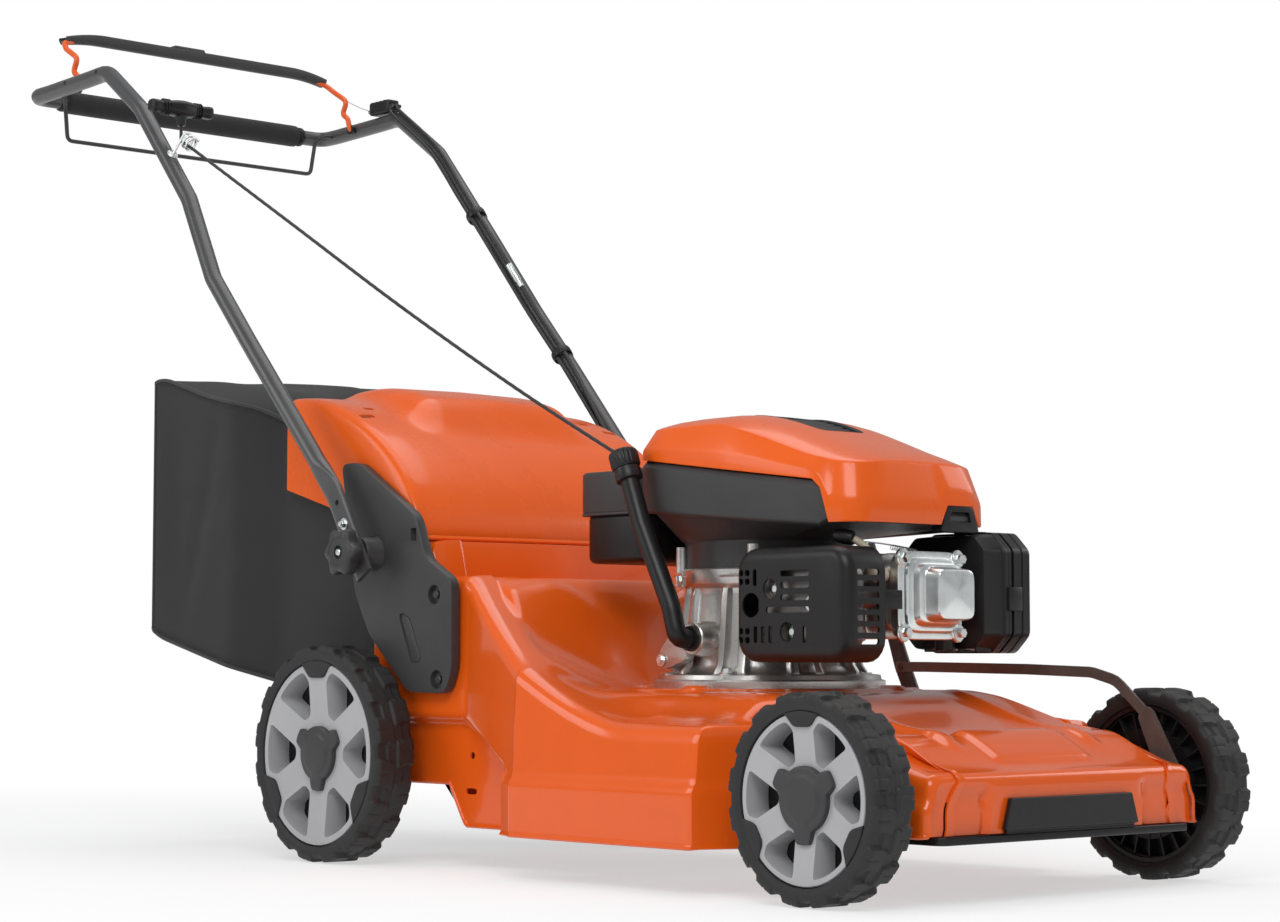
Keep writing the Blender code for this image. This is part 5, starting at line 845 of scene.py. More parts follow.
for corner, x, side, radius, rim in corners:
    at = np.array([x, side * wheel["middle"], radius])
    body, title = "wheel_" + corner, corner.title().replace("_", "")
    tongues = [prism(turnedFlat(notch(rim), k * 2 * math.pi / 3), 0.004, 0.0262, 1, 0.0012, 3) for k in range(3)]
    for kind, part, look, stands in (("tyre", tyrePart(radius, rim), "tyreRubber", "tyre_" + corner),
            ("cap", capPart(), "greyPlastic", "hub_cap_" + corner), ("back", backPart(rim), "blackPlastic", None),
            ("tongues", combine(*tongues), "tyreRubber", None)):
        build(kind + title, onWheel(part, side, at), look, body, stands)
    obj = build("rim" + title, onWheel(rimPart(rim), side, at), "palePlastic", None, "rim_" + corner)
    tools = []
    for k in range(3):
        tools.append(slab(turnedFlat(notch(rim), k * 2 * math.pi / 3), -0.02, 0.04))
        for flip in (False, True):
            outline = turnedFlat(windowOutline(rim, flip), k * 2 * math.pi / 3 + (math.radians(-60) if flip else 0))
            middle = outline.mean(0)  # the window narrows a little inwards
            tools.append(loft([np.insert((outline - middle) * s + middle, 1, h, axis=1)
                for h, s in ((-0.03, 0.84), (0.034, 1.02))]))
    cut(obj, onWheel(combine(*tools), side, at))
    soften(obj, 0.0007, 2, 40)
    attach(obj, body)
print("wheels made")

# Deck: stamped steel, drawn as cross-sections that change along its length.
deck = dict(sheet=0.0024, seat=0.15, bossRing=0.156, engine=-0.34, front=0.0918, noseLow=0.0685)
deck["pressed"] = dict(ring=0.003, boss=0.0062, plateau=0.0045, ridges=0.005, hollow=0.003)  # heights
deck["collars"] = ((0.055, 0.1043, 0.0115), (-0.756, 0.1279, 0.0125))  # x, z and radius


# Half widths and heights of the section at each x.
def deckShape(x):
    wall = ramp(x, -0.61, -0.46, 0.222, 0.273)
    wall = np.where(x < -0.46, wall, ramp(x, -0.165, -0.137, 0.277, ease(x, 0, 0.092, 0.216, 0.207)))
    skirt = 0.208 + ramp(x, -0.497, -0.487) * (wall - 0.202)
    step = ramp(x, -0.68, -0.668, 0.043, 0)
    left = np.clip((-0.29 - x) / 0.33, 0, 1)
    shoulder = np.where(x < -0.05, 0.172 + 0.163 * left ** 1.5 + step, ease(x, -0.05, 0.092, 0.166, 0.128))
    middle = np.where(x < deck["engine"], ease(x, -0.605, -0.495, 0.335, 0.205) + step,
        ease(x, -0.19, 0, 0.205, 0.164))
    middle = np.where(x < 0, middle, ease(x, 0, 0.092, 0.164, 0.128))
    ledge = np.minimum(ramp(x, -0.62, -0.48, 0.168, 0.11), shoulder - 0.03)
    foot = np.where(x < -0.626, ramp(x, -0.656, -0.626, 0.096, 0.048), ease(x, -0.13, 0.06, 0.048, 0.068))
    return wall, skirt, shoulder, middle, ledge, foot


# Open sections, many rows at once, with their inner corners rounded.
def roundedRows(rows, radii, steps):
    arcs = cornerArcs(rows[:, :-2], rows[:, 1:-1], rows[:, 2:], radii, steps, 2.05)
    return np.concatenate([rows[:, :1], arcs.reshape(len(rows), -1, 2), rows[:, -1:]], axis=1)


# Whole sections from the half ones at each x, from one side over the middle to the other.
def mirrored(xs, half):
    y = np.concatenate([-half[..., 0], half[:, ::-1, 0][:, 1:]], 1)
    z = np.concatenate([half[..., 1], half[:, ::-1, 1][:, 1:]], 1)
    return np.broadcast_arrays(xs[:, None], y, z)


def filled(rows, step):  # more points between those of each section
    gaps = np.linalg.norm(np.diff(rows, axis=1), axis=-1)
    counts = np.maximum(1, np.ceil(gaps.max(0) / step)).astype(int)
    out = []
    for k, n in enumerate(counts):
        t = np.arange(n)[None, :, None] / n
        out.append(rows[:, k:k + 1] * (1 - t) + rows[:, k + 1:k + 2] * t)
    return np.concatenate(out + [rows[:, -1:]], axis=1)


# Pressed into the top: seat ring with bosses, plateau, ridges and hollow.
def relief(x, y):
    high, r, side = deck["pressed"], np.hypot(x - deck["engine"], y), np.abs(y)
    out = high["ring"] * ease(np.abs(r - 0.157), 0.016, 0.006) * ease(x, -0.44, -0.4)
    for k in range(4):
        a = math.radians(45 + 90 * k + 60)
        bx, by = deck["engine"] + deck["bossRing"] * math.cos(a), deck["bossRing"] * math.sin(a)
        out = np.maximum(out, high["boss"] * ease(np.hypot(x - bx, y - by), 0.02, 0.011))
    out = out + high["plateau"] * (ease(side, 0.078, 0.066) * hill(x, -0.004, 0.006, 0.058, 0.066))
    ridge = ease(np.abs(side - 0.108 - 0.05 * (x + 0.02) ** 2), 0.014, 0.005)
    out = out + high["ridges"] * (ridge * hill(x, -0.185, -0.15, 0.022, 0.048))
    return out - high["hollow"] * (ease(side, 0.092, 0.08) * hill(x, -0.15, -0.12, -0.03, -0.012))


# Half a section at each x, from the skirt's foot over wall, rim and seat to the middle, mirrored.
# A quarter circle draws the nose in, and the relief is added to the heights.
def deckPart():
    xs = np.unique(np.concatenate([np.arange(-0.79, -0.69, 0.01), np.arange(-0.69, -0.66, 0.002),
        np.arange(-0.66, -0.5, 0.004), np.arange(-0.5, -0.484, 0.002), np.arange(-0.484, 0.08, 0.0045),
        np.linspace(0.0805, 0.0917, 9)]).round(5))
    front = np.sqrt(np.maximum(0, 1 - np.clip((xs - 0.0822) / 0.0098, 0, 1) ** 2))
    draw = 0.0098 * (1 - front)
    wall, skirt, rim, top, ledge, foot = deckShape(xs)
    rib = 0.01 * ease(xs, -0.6, -0.575) * ease(xs, -0.462, -0.425, 1, 0)
    wall, skirt, rim, top = wall - draw, skirt - draw, rim - draw, top - draw
    seat = np.full_like(xs, deck["seat"])
    cross = (wall - 0.026) * 0.55 + seat * 0.45
    crease = ease(xs, -0.6, -0.56, 0.105, 0.062) + ease(xs, -0.52, -0.43, 0, 0.088)
    inner = np.where(xs < -0.44, np.minimum(crease, 0.15), 0.15)
    points = np.stack([pack(skirt + 0.0028, foot), pack(skirt, foot + 0.003), pack(skirt, ledge - 0.004),
        pack(wall, ledge + 0.005), pack(wall - 0.005, rim), pack(wall - 0.045, rim + 0.002),
        pack(cross, rim + (top - rim) * 0.35 + rib), pack(inner + 0.022, top + rib * 0.9),
        pack(inner - 0.016, top - rib * 0.1), pack(inner * 0, top)], 1)
    half = roundedRows(points, [0.003, 0.007, 0.008, 0.026, 0.03, 0.03, 0.018, 0.018], 9)
    x, y, z = mirrored(xs, filled(half, 0.006))
    flat = ease(np.abs(y), wall[:, None] - 0.02, wall[:, None] - 0.05)
    z = z + relief(x, y) * flat * (z > foot[:, None] + 0.03)
    return pack(x, y, z)


# The nose's front, with its sides set back.
def frontFace(edge):
    side = edge[:len(edge) // 2 + 1]
    edge = edge[edge[:, 2] > edge[:, 2].max() - 0.0045]
    first, top = edge[0], edge[:, 2]
    rows = [edge]
    for t in np.linspace(0, 1, 9)[1:]:
        level = first[2] + (deck["noseLow"] - first[2]) * t
        y = edge[:, 1] * np.interp(level, side[:, 2], np.abs(side[:, 1])) / abs(first[1])
        z = top + (np.minimum(top, deck["noseLow"]) - top) * t
        back = 0.0065 * ease(np.abs(y), 0.12, 0.126) * ease(t, 0, 0.35)
        notch = 0.003 * ease(np.abs(np.abs(y) - 0.123), 0.006, 0.002) * ease(t, 0.05, 0.3)
        rows.append(pack(deck["front"] - back - notch, y, z))
    return np.array(rows)


def makeDeck():  # the walled shell with its holes, collars about the axles and a baffle at the rear
    rings = deckPart()
    sheets = [loft(rows, closeCols=False, caps=False) for rows in (rings, frontFace(rings[-1]))]
    obj = build("deckShell", sheets, "orangePaint", None, "deck", 40)
    walled(obj, deck["sheet"])
    holes = [rod(r, -0.3, 0.3, 24, (x, 0, z), (0, 1, 0)) for (x, z, _), r in zip(deck["collars"], (0.0066, 0.0086))]
    holes.append(rod(0.05, 0.12, 0.25, 48, (deck["engine"], 0, 0), (0, 0, 1)))
    for side in (-1, 1):
        holes.append(rod(0.0042, 0, 0.03, 20, (-0.615, side * 0.195, 0.129), (0, side, 0)))
        slot = ringOutline(0.01, 0.0035, 20, 4) + [-0.617, 0.088]
        holes.append(slab(slot, side * 0.19, side * 0.24))
    for hole in holes:
        cut(obj, hole)
    shade(obj, 40)
    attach(obj, "chassis")
    parts = []
    for side in (-1, 1):
        for x, z, r in deck["collars"]:
            y = float(deckShape(np.array([x]))[1][0]) if x > 0 else 0.208
            parts.append(turn([(r * 0.62, -0.003), (r, -0.003), (r, 0.0018), (r - 0.0012, 0.003),
                (r * 0.62, 0.003)], 32, (x, side * (y + 0.001), z), (0, side, 0)))
    build("pivotCollars", parts, "blackPlastic")
    floor = [(-0.626, 0.056), (-0.629, 0.056), (-0.723, 0.214), (-0.789, 0.214), (-0.789, 0.211), (-0.7215, 0.211)]
    build("deckBaffle", slab(floor, -0.2065, 0.2065), "orangePaint")


makeDeck()
print("deck made")

# Rear flap: its back curves down to the hinge edge, with side walls and a raised middle.
flap = dict(length=0.273, rise=0.182, half=0.2222, wall=0.0026)
flap["slots"] = ((0.62, 0.196, 0.0105), (0.7, 0.174, 0.0075))  # place along the back, y and half width


def flapLine(t):  # x and z of the back, from the hinge at 0 to the free edge at 1
    a = t * np.pi / 2
    return -0.7 - flap["length"] * (1 - np.cos(a)) ** 0.8, 0.384 + flap["rise"] * np.sin(a) ** 0.95


# Half sections along the back with side walls under them, mirrored, then walled and slotted.
def makeFlap():
    t = np.concatenate([np.linspace(0, 0.05, 6), np.linspace(0.06, 1, 90)])
    x, z = flapLine(t)
    low = np.minimum(ramp(x, -0.7, -0.973, 0.374, 0.45), z - 0.008)
    half = np.full_like(x, flap["half"] - 0.0003)
    rise = ease(x, -0.795, -0.845) * ramp(x, -0.828, -0.973, 0.03, 0.016)
    over = ease(t, 0, 0.1, 0.3, 1)
    points = np.stack([pack(half, low), pack(half, z - 0.03 * over), pack(half - 0.004, z - 0.002),
        pack(half - 0.034, z + 0.0005), pack(0.137 + 0 * x, z + 0.0008), pack(0.108 + 0 * x, z + rise * 0.97),
        pack(0 * x, z + rise * 1.05)], 1)
    half = filled(roundedRows(points, [0.012, 0.024, 0.02, 0.024, 0.016], 9), 0.008)
    hood = loft(pack(*mirrored(x, half)), closeCols=False, caps=False)
    obj = build("flapHood", hood, "orangePlastic", None, "rear_flap", 40)
    walled(obj, flap["wall"])
    for side in (-1, 1):
        for t, y, wide in flap["slots"]:
            at = np.insert(flapLine(t), 1, side * y)
            reach = np.array([0.0045, wide, 0.02])
            cut(obj, roundBox(at - reach, at + reach, 0.002, 2, 3))
    shade(obj, 40)
    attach(obj, "rear_flap")
    lip = [(-0.695, 0.379), (-0.6915, 0.3795), (-0.6905, 0.3815), (-0.6918, 0.384), (-0.694, 0.3848)]
    build("flapLip", prism(lip, -0.221, 0.221, 1, 0.001, 2), "orangePlastic")


makeFlap()


# Grass bag: woven panels that sag a little between piped seams, open at its mouth.
bag = dict(wall=0.0016, mouth=(0.19, 0.064), stitch=0.0034, across=57, down=39)


def bagShape(x):  # heights of seam, ridge and foot, and half width, between measured places
    seam = np.interp(x, [-1.2655, -1.259, -1.245, -1.226, -1.135, -1.039, -0.973, -0.8525, -0.7905],
        [0.596, 0.604, 0.607, 0.605, 0.578, 0.557, 0.531, 0.458, 0.362])
    apex = np.interp(x, [-1.2655, -1.259, -1.245, -1.13, -1.06, -1.015, -0.975, -0.92, -0.8525, -0.7905],
        [0.598, 0.607, 0.612, 0.603, 0.596, 0.586, 0.548, 0.516, 0.464, 0.364])
    foot = np.interp(x, [-1.2655, -1.259, -1.2375, -0.8655, -0.835, -0.7905],
        [0.29, 0.278, 0.268, 0.18, 0.181, 0.195])
    half = np.interp(x, [-1.2655, -1.258, -1.0805, -1.0005, -0.7905], [0.23, 0.236, 0.236, 0.211, 0.211])
    return seam, apex, foot, half


# A ring of top, sides and floor at each x. Sines make the panels droop and fold between seams.
def bagRings():
    xs = np.concatenate([[-1.2655, -1.263, -1.259, -1.253], np.arange(-1.245, -0.8, 0.0075),
        [-0.797, -0.7925, -0.7905]])
    seam, apex, foot, half = bagShape(xs)
    soft = np.exp(-((np.arange(-3, 4)) / 1.6) ** 2)
    soft /= soft.sum()
    smoothRow = lambda v: np.concatenate([v[:4], np.convolve(np.pad(v, 3, mode="edge"), soft, "valid")[4:-4],
        v[-4:]])
    seam, apex, foot, half = (smoothRow(v) for v in (seam, apex, foot, half))
    u = np.linspace(-1, 1, bag["across"])
    v = np.linspace(0, 1, bag["down"] + 2)[1:-1]
    rows = []
    for x, s, a, b, h in zip(xs, seam, apex, foot, half):
        inside = ease(x, -1.262, -1.2) * ease(x, -0.795, -0.86)
        droop = 0.006 * np.sin(np.pi * v) * inside
        fold = 0.0016 * (0.4 + 0.6 * math.sin(13 * x) ** 2) * inside
        fold = fold * np.sin(9 * v * np.pi + 28 * x) * np.sin(np.pi * v) ** 2
        crease = 0.0026 * np.exp(-((x + 1.205 - 0.1 * (1 - v)) / 0.016) ** 2) * np.sin(np.pi * v) * inside
        pucker = 0.0033 * inside * np.sin(5 * np.pi * np.abs(u)) * (1 - np.abs(u))
        top = s + (a - s) * (1 - np.abs(u) ** 2.2) - pucker
        out = h - droop + fold - crease
        right = pack(x, -out, s + (b - s) * v)
        left = pack(x, out + 0.0012 * np.sin(7 * v), s + (b - s) * v)
        over = pack(x, u * h, top)
        sag = b - 0.01 * (1 - u ** 2) * inside * 0.8
        under = pack(x, u[::-1] * h, sag[::-1])
        rows.append(np.concatenate([over, left, under, right[::-1]]))
    return xs, np.array(rows)


# A bulging panel: the ring drawn in towards its middle, or towards a hole's outline.
def capRows(ring, x, depth, shares, hole=None):
    aim = ring.mean(0) if hole is None else hole
    rows = []
    for s in shares:
        row = ring * (1 - s) + aim * s
        row[:, 0] = x + depth * (1 - (1 - min(s * 2.2, 1)) ** 2)
        rows.append(row)
    return rows


def stitched(path, out):  # a row of short threads along a path
    path = evenly(path, 0.0052)
    along = tangents(path)
    out = unit(np.broadcast_to(np.asarray(out, float), path.shape))
    side = np.cross(along, out)
    parts = []
    for p, a, o, s in zip(path[1:-1], along[1:-1], out[1:-1], side[1:-1]):
        ends = np.array([-1, -0.6, 0.6, 1])[:, None] * a * bag["stitch"] / 2
        lift = np.array([-0.0003, 0.00035, 0.00035, -0.0003])[:, None] * o
        line = p + ends + lift
        parts.append(loft(line[:, None] + 0.00045 * np.stack([s, o, -s, -o])[None], caps=True))
    return combine(*parts)


# The rings closed at the rear and open at the mouth, with a UV map for the weave, then piping,
# stitches and the hoop.
def makeBag():
    xs, rows = bagRings()
    rear = capRows(rows[0], xs[0], -0.0045, (0.98, 0.9, 0.8, 0.7, 0.6, 0.5, 0.4, 0.3, 0.2, 0.12, 0.06, 0.03, 0.012))
    y, z = rows[-1][:, 1], rows[-1][:, 2]
    around = np.arctan2((z - z.mean()) / 0.09, y / 0.2)
    c, s = np.cos(around), np.sin(around)
    n = (np.abs(c) ** 8 + np.abs(s) ** 8) ** -0.125
    mouth = pack(xs[-1], bag["mouth"][0] * n * c, 0.282 + bag["mouth"][1] * n * s)
    front = capRows(rows[-1], xs[-1], 0.0005, (0.04, 0.15, 0.35, 0.6, 0.85, 1), mouth)
    full = np.concatenate([np.array(rear), rows, np.array(front)])
    points, faces = loft(full, caps=False)
    faces.append(list(range(full.shape[1]))[::-1])
    obj = build("grassBagShell", (points, faces), "blackFabric", None, "grass_bag", 50)
    mesh = obj.data
    layer = mesh.uv_layers.new(name="cloth")
    totals = read(mesh.polygons, "loop_total", 1, np.int32)[:, 0]
    main = np.repeat(np.abs(read(mesh.polygons, "normal", 3)).argmax(1), totals)
    p = read(mesh.vertices, "co", 3)[read(mesh.loops, "vertex_index", 1, np.int32)[:, 0]]
    uv = pack(np.where(main == 0, p[:, 1], p[:, 0]), np.where(main == 2, p[:, 1], p[:, 2]))
    layer.data.foreach_set("uv", uv.ravel())
    walled(obj, bag["wall"])
    shade(obj, 50)
    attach(obj, "grass_bag")
    piping, threads = [], []
    edge, n, m = ringOutline(0.0023, sides=8), bag["across"], bag["down"]
    for side in (-1, 1):
        top = rows[:, n - 1 if side > 0 else 0] + (0, side * 0.0006, 0.0004)
        low = rows[:, n + m if side > 0 else 2 * n + m - 1] + (0, side * 0.0006, -0.0004)
        for line in (top, low):
            piping.append(sweep(evenly(line, 0.006), edge, (0, 1, 0)))
        threads.append(stitched(top[3:-2] + (0, side * 0.0002, -0.0065), (0, side, 0)))
        threads.append(stitched(low[3:-2] + (0, side * 0.0002, 0.0065), (0, side, 0)))
    piping.append(sweep(evenRing(rows[2], 0.006), edge, (1, 0, 0), closed=True))
    hem = ringOutline(0.0035, 0.0028, 8)
    piping.append(sweep(evenRing(mouth, 0.006), hem, (1, 0, 0), closed=True))
    build("bagPiping", piping, "bagBinding", "grass_bag")
    build("bagStitches", threads, "bagBinding", "grass_bag", weld=False)
    hoop = roundCorners([(-0.197, 0.224), (0.197, 0.224), (0.197, 0.35), (-0.197, 0.35)], 0.02, 6)
    hoop = np.insert(hoop, 0, -0.8, axis=1)
    hoop = sweep(evenRing(hoop, 0.005), ringOutline(0.004, sides=14), (1, 0, 0), closed=True)
    build("bagHoop", hoop, "blackSteel", "grass_bag", "bag_frame")


makeBag()
print("flap and bag made")

# Handle brackets with their pressed shapes, and the clamp knobs.
bracket = dict(x0=-0.8165, low=0.2226, high=0.2355, bolts=((0.163, 0.314), (0.168, 0.216)))


# A turned knob whose radius swings between its lobes: 1 - depth (1 - cosine) / 2.
def fluted(centre, side, profile, lobes, depth):
    a = 2 * np.pi * np.arange(96) / 96
    rings = []
    for r, h, share in profile:
        rr = r * (1 - share * depth * (0.5 - 0.5 * np.cos(lobes * a)) ** 0.8)
        rings.append(pack(centre[0] + rr * np.cos(a), side * h, centre[1] + rr * np.sin(a)))
    return loft(rings)


def makeBracket(side, name):  # an outlined plate with a round boss, a sunk slot and two seated bolts
    x0, low, high = bracket["x0"], bracket["low"], bracket["high"]
    outline = [(-0.022, 0.475), (0.013, 0.475), (0.126, 0.407), (0.146, 0.357), (0.195, 0.331), (0.196, 0.229),
        (0.183, 0.2), (0.113, 0.201), (0.036, 0.268), (0.007, 0.318)]
    outline = roundCorners([(x0 + dx, z) for dx, z in outline], 0.012, 5)
    obj = build("bracketBody" + name, prism(outline, side * low, side * high, 1, 0.0016, 3), "greyPlastic", None,
        "handle_bracket_" + name.lower())
    boss = turn([(0.0048, 0.01), (0.021, 0.01), (0.021, 0.0142), (0.0195, 0.016), (0.019, 0.0333), (0.0175, 0.0358),
        (0.0048, 0.0358)], 40, (x0 + 0.0465, side * (high - 0.0129), 0.365), (0, side, 0))
    cut(obj, boss, "UNION")
    deep = high - 0.0022
    slot = roundCorners([(x0 + 0.094, 0.294), (x0 + 0.115, 0.292), (x0 + 0.141, 0.236), (x0 + 0.121, 0.232)], 0.01,
        5)
    cut(obj, slab(slot, side * deep, side * (high + 0.01)))
    for dx, z in bracket["bolts"]:  # a dished seat for each bolt
        seat = [(0, high - 0.0062), (0.011, high - 0.0062), (0.0116, high + 0.01), (0, high + 0.01)]
        cut(obj, turn(seat, 32, (x0 + dx, 0, z), (0, side, 0)))
    sq = roundCorners([(x0 + 0.1175, 0.3775), (x0 + 0.1285, 0.3775), (x0 + 0.1285, 0.3925), (x0 + 0.1175, 0.3925)],
        0.001, 2)
    cut(obj, slab(sq, side * 0.2, side * 0.26))
    raised = [(x0 + 0.0965, 0.2905), (x0 + 0.1135, 0.289), (x0 + 0.1375, 0.2385), (x0 + 0.1215, 0.235)]
    raised = prism(roundCorners(raised, 0.008, 5), side * (deep - 0.0004), side * (deep + 0.001), 1, 0.0006, 2)
    soften(obj, 0.0007, 2, 40)
    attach(obj, "chassis")
    bolts = [bolt((x0 + dx, side * (high - 0.0062), z), (0, side, 0), 0.0052, 0.0046) for dx, z in bracket["bolts"]]
    build("bracketBolts" + name, bolts, "blackSteel")
    build("bracketRaised" + name, raised, "greyPlastic")


def makeKnob(side, name):  # a fluted knob on its screw
    body = "clamp_knob_" + name.lower()
    profile = [(0.0178, 0.2653, 0), (0.0182, 0.269, 0), (0.0186, 0.2725, 0.3), (0.029, 0.2745, 1),
        (0.0299, 0.276, 1), (0.03, 0.2835, 1), (0.0296, 0.2862, 1), (0.0282, 0.2882, 1), (0.0255, 0.2895, 0.9),
        (0.0205, 0.29, 0.3), (0.0175, 0.2902, 0), (0.0168, 0.2893, 0), (0.011, 0.2888, 0), (0.008, 0.2888, 0),
        (0.0078, 0.285, 0), (0.0004, 0.285, 0)]
    axis = np.insert(handle["knob"], 1, 0), (0, side, 0)
    knob = fluted(handle["knob"], side, profile, 6, 0.22)
    stem = rod(0.0042, 0.224, 0.268, 24, *axis)
    build("clampKnob" + name, [knob, stem], "greyPlastic", body, body)
    end = turn([(0, 0.2848), (0.0042, 0.2848), (0.0042, 0.2886), (0.0034, 0.2896), (0, 0.2899)], 24, *axis)
    build("clampScrew" + name, end, "zinc", body)


for side, name in ((-1, "Right"), (1, "Left")):
    makeBracket(side, name)
    makeKnob(side, name)
print("brackets and knobs made")

# Handle: tube with flattened ends, foam grip, bails, cable box, cables and rope guide.


# One tube from foot to foot. Its section's power goes from 6, a rounded bar, to 2, a circle.
def makeHandlebar():
    g, gx, gz, r = handle["gripHalf"], handle["gripX"], handle["gripZ"], tube["radius"]
    path = bentPath(np.concatenate([legs[-1], [(gx, -g, gz), (gx, g, gz)], legs[1][::-1]]), tube["bend"])
    t = ease(path[:, 0:1], tube["flatTo"], tube["roundFrom"])
    a = 2 * np.pi * (np.arange(28) + 0.5) / 28
    power = 6 - 4 * t  # from a rounded bar to a circle
    c, s = np.cos(a)[None], np.sin(a)[None]
    n = (np.abs(c) ** power + np.abs(s) ** power) ** (-1 / power)
    wide = tube["flatWide"] + (r - tube["flatWide"]) * t
    thin = tube["flatThin"] + (r - tube["flatThin"]) * t
    along = tangents(path)
    inTurn = np.abs(along[:, 1]) > 0.5
    outline = pack(thin * n * c, wide * n * s)
    outline[inTurn] = pack(r * n * c, r * n * s)[inTurn]
    across = np.where(inTurn[:, None], [[1.0, 0.0, 0.0]], [[0.0, 1.0, 0.0]])
    for k in range(1, len(path)):
        across[k] = across[k - 1] - along[k] * (across[k - 1] * along[k]).sum()
        across[k] /= np.linalg.norm(across[k])
    obj = build("handleTube", sweep(path, outline, across), "greyTube", None, "handlebar", 40)
    for x, z, r in ((-0.77, 0.365, 0.0048), (-0.806, 0.4255, 0.0036)):
        cut(obj, rod(r, -0.3, 0.3, 20, (x, 0, z), (0, 1, 0)))
    shade(obj, 40)
    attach(obj, "handle")
    parts, dark = [], []
    for side in (-1, 1):
        at = (-0.7905, side * (handle["legY"] + tube["flatThin"]), 0.3995)
        parts.append(bolt(at, (0, side, 0), 0.005, 0.005))
        parts.append(turn([(0, 0.005), (0.003, 0.005), (0.0028, 0.0072), (0, 0.0075)], 20, at, (0, side, 0)))
        for k, share in ((8, 0.3), (9, 0.45)):
            p = legs[side][k] * (1 - share) + legs[side][k + 1] * share
            dark.append(turn([(0, 0.0104), (0.0032, 0.0104), (0.003, 0.0112), (0, 0.0114)], 16, p, (0, side, 0.25)))
    build("handleBolts", parts, "zinc", "handle")
    build("handlePlugs", dark, "blackPlastic", "handle")


foam = dict(half=0.1975, radius=0.016, bore=0.0113, sides=40)


def makeFoam():  # a sleeve: circles along y with turned ends, and its bore
    y = np.linspace(-0.19, 0.19, 60)
    ends = foam["half"] - np.array([0, 0.0005, 0.002])
    y = np.concatenate([-ends, y, ends[::-1]])
    r = np.full_like(y, foam["radius"])
    r[:3] = 0.0128, 0.0146, 0.0157
    r[-3:] = r[2::-1]
    middle = np.array([handle["gripX"], 0, handle["gripZ"]])
    a = 2 * np.pi * np.arange(foam["sides"]) / foam["sides"]
    rings = pack(r[:, None] * np.cos(a), y[:, None], r[:, None] * np.sin(a))
    inner = rings[[-1, 0]] * np.array([foam["bore"] / r[0], 1, foam["bore"] / r[0]])
    part = loft(np.concatenate([rings, inner]) + middle, closeRows=True)
    build("foamGrip", part, "foam", "handle", "foam_grip")


stopBail = dict(pivot=(-1.474, 1.033), y=0.2305, bar=(-1.536, 1.121), wire=0.0039, bend=0.009)


# Wire bent through mirrored points, under a cover whose section is carried along the bar.
def makeStopBail():
    (px, pz), (barX, top), y = stopBail["pivot"], stopBail["bar"], stopBail["y"]
    half = lambda s: [(px, s * (y + 0.0045), pz), (px, s * y, pz), (px - 0.006, s * y, pz + 0.018),
        (px - 0.02, s * y, pz + 0.026), (px - 0.008, s * y, pz + 0.044), (px - 0.04, s * y, pz + 0.062),
        (barX + 0.007, s * (y - 0.005), top - 0.014), (barX, s * 0.185, top - 0.0005)]
    path = bentPath(half(-1) + half(1)[::-1], stopBail["bend"], 0.0035)
    build("stopBailRod", sweep(path, ringOutline(stopBail["wire"], sides=16), (1, 0, 0.2)), "orangeWire",
        "stop_bail", "stop_bail", 60)
    # The cover's section: a shell open below, its outside first and its inside back.
    a = np.radians(np.linspace(-28, 208, 13))
    outside = pack(0.0115 * np.cos(a), np.where(np.sin(a) > 0, 0.0095, 0.0105) * np.sin(a))
    inside = pack(0.0092 * np.cos(a), np.where(np.sin(a) > 0, 0.0074, 0.0105) * np.sin(a))[::-1]
    ys = np.linspace(-0.2235, 0.2235, 90)
    near = np.clip((np.abs(ys) - 0.165) / 0.06, 0, 1)
    shape = np.repeat((np.concatenate([outside, inside]) * (-1, 1))[None], len(ys), 0)
    shape[..., 1] *= np.where(shape[..., 1] < 0, 1 - 0.6 * near[:, None], 1)
    cover = sweep(pack(barX, ys, top - 0.007 * near ** 2), shape, (1, 0, 0))
    p, faces = roundBox((barX - 0.01, -0.048, top + 0.002), (barX + 0.01, 0.01, top + 0.0094), 0.0022, 1, 3)
    p[:, 1] += (p[:, 1] + 0.019) * (top + 0.002 - p[:, 2]) * 18  # the tab's ends slant
    build("bailCover", [cover, (p, faces)], "greyPlastic", "stop_bail", "bail_cover", 45)
    bush = [(0.0042, -0.0035), (0.0072, -0.0035), (0.0076, 0), (0.006, 0.0042), (0.0042, 0.0045)]
    parts = [turn(bush, 24, (px, side * (y + 0.0035), pz), (0, side, 0)) for side in (-1, 1)]
    build("bailBushes", parts, "blackPlastic", "handle")


driveBail = dict(pivot=(-1.53, 1.03), wire=0.0029, bend=0.009, clip=0.012, clipY=0.204)


def makeDriveBail():  # wire bent through mirrored points, and two clips that hold it to the grip
    px, pz = driveBail["pivot"]
    half = lambda s: [(px, s * 0.235, pz), (px, s * 0.2225, pz), (px - 0.012, s * 0.2145, pz - 0.01),
        (px - 0.015, s * 0.2085, pz - 0.058)]
    path = bentPath(half(-1) + half(1)[::-1], driveBail["bend"], 0.0035)
    build("driveBailWire", sweep(path, ringOutline(driveBail["wire"], sides=14), (1, 0, 0.2)), "blackSteel",
        "drive_bail", "drive_bail", 60)
    a, r = np.linspace(0, 2 * np.pi, 40, endpoint=False), driveBail["clip"]
    clips = [sweep(pack(handle["gripX"] + r * np.cos(a), side * driveBail["clipY"], handle["gripZ"] + r
        * np.sin(a)), ringOutline(0.0022, 0.0042, 8, 4), (1, 0, 0.1), closed=True) for side in (-1, 1)]
    build("bailClips", clips, "blackPlastic", "handle")


cable = dict(radius=0.0029, gap=0.0018, slot=0.24725, hinge=-0.811, clips=(-1.188, -1.016))


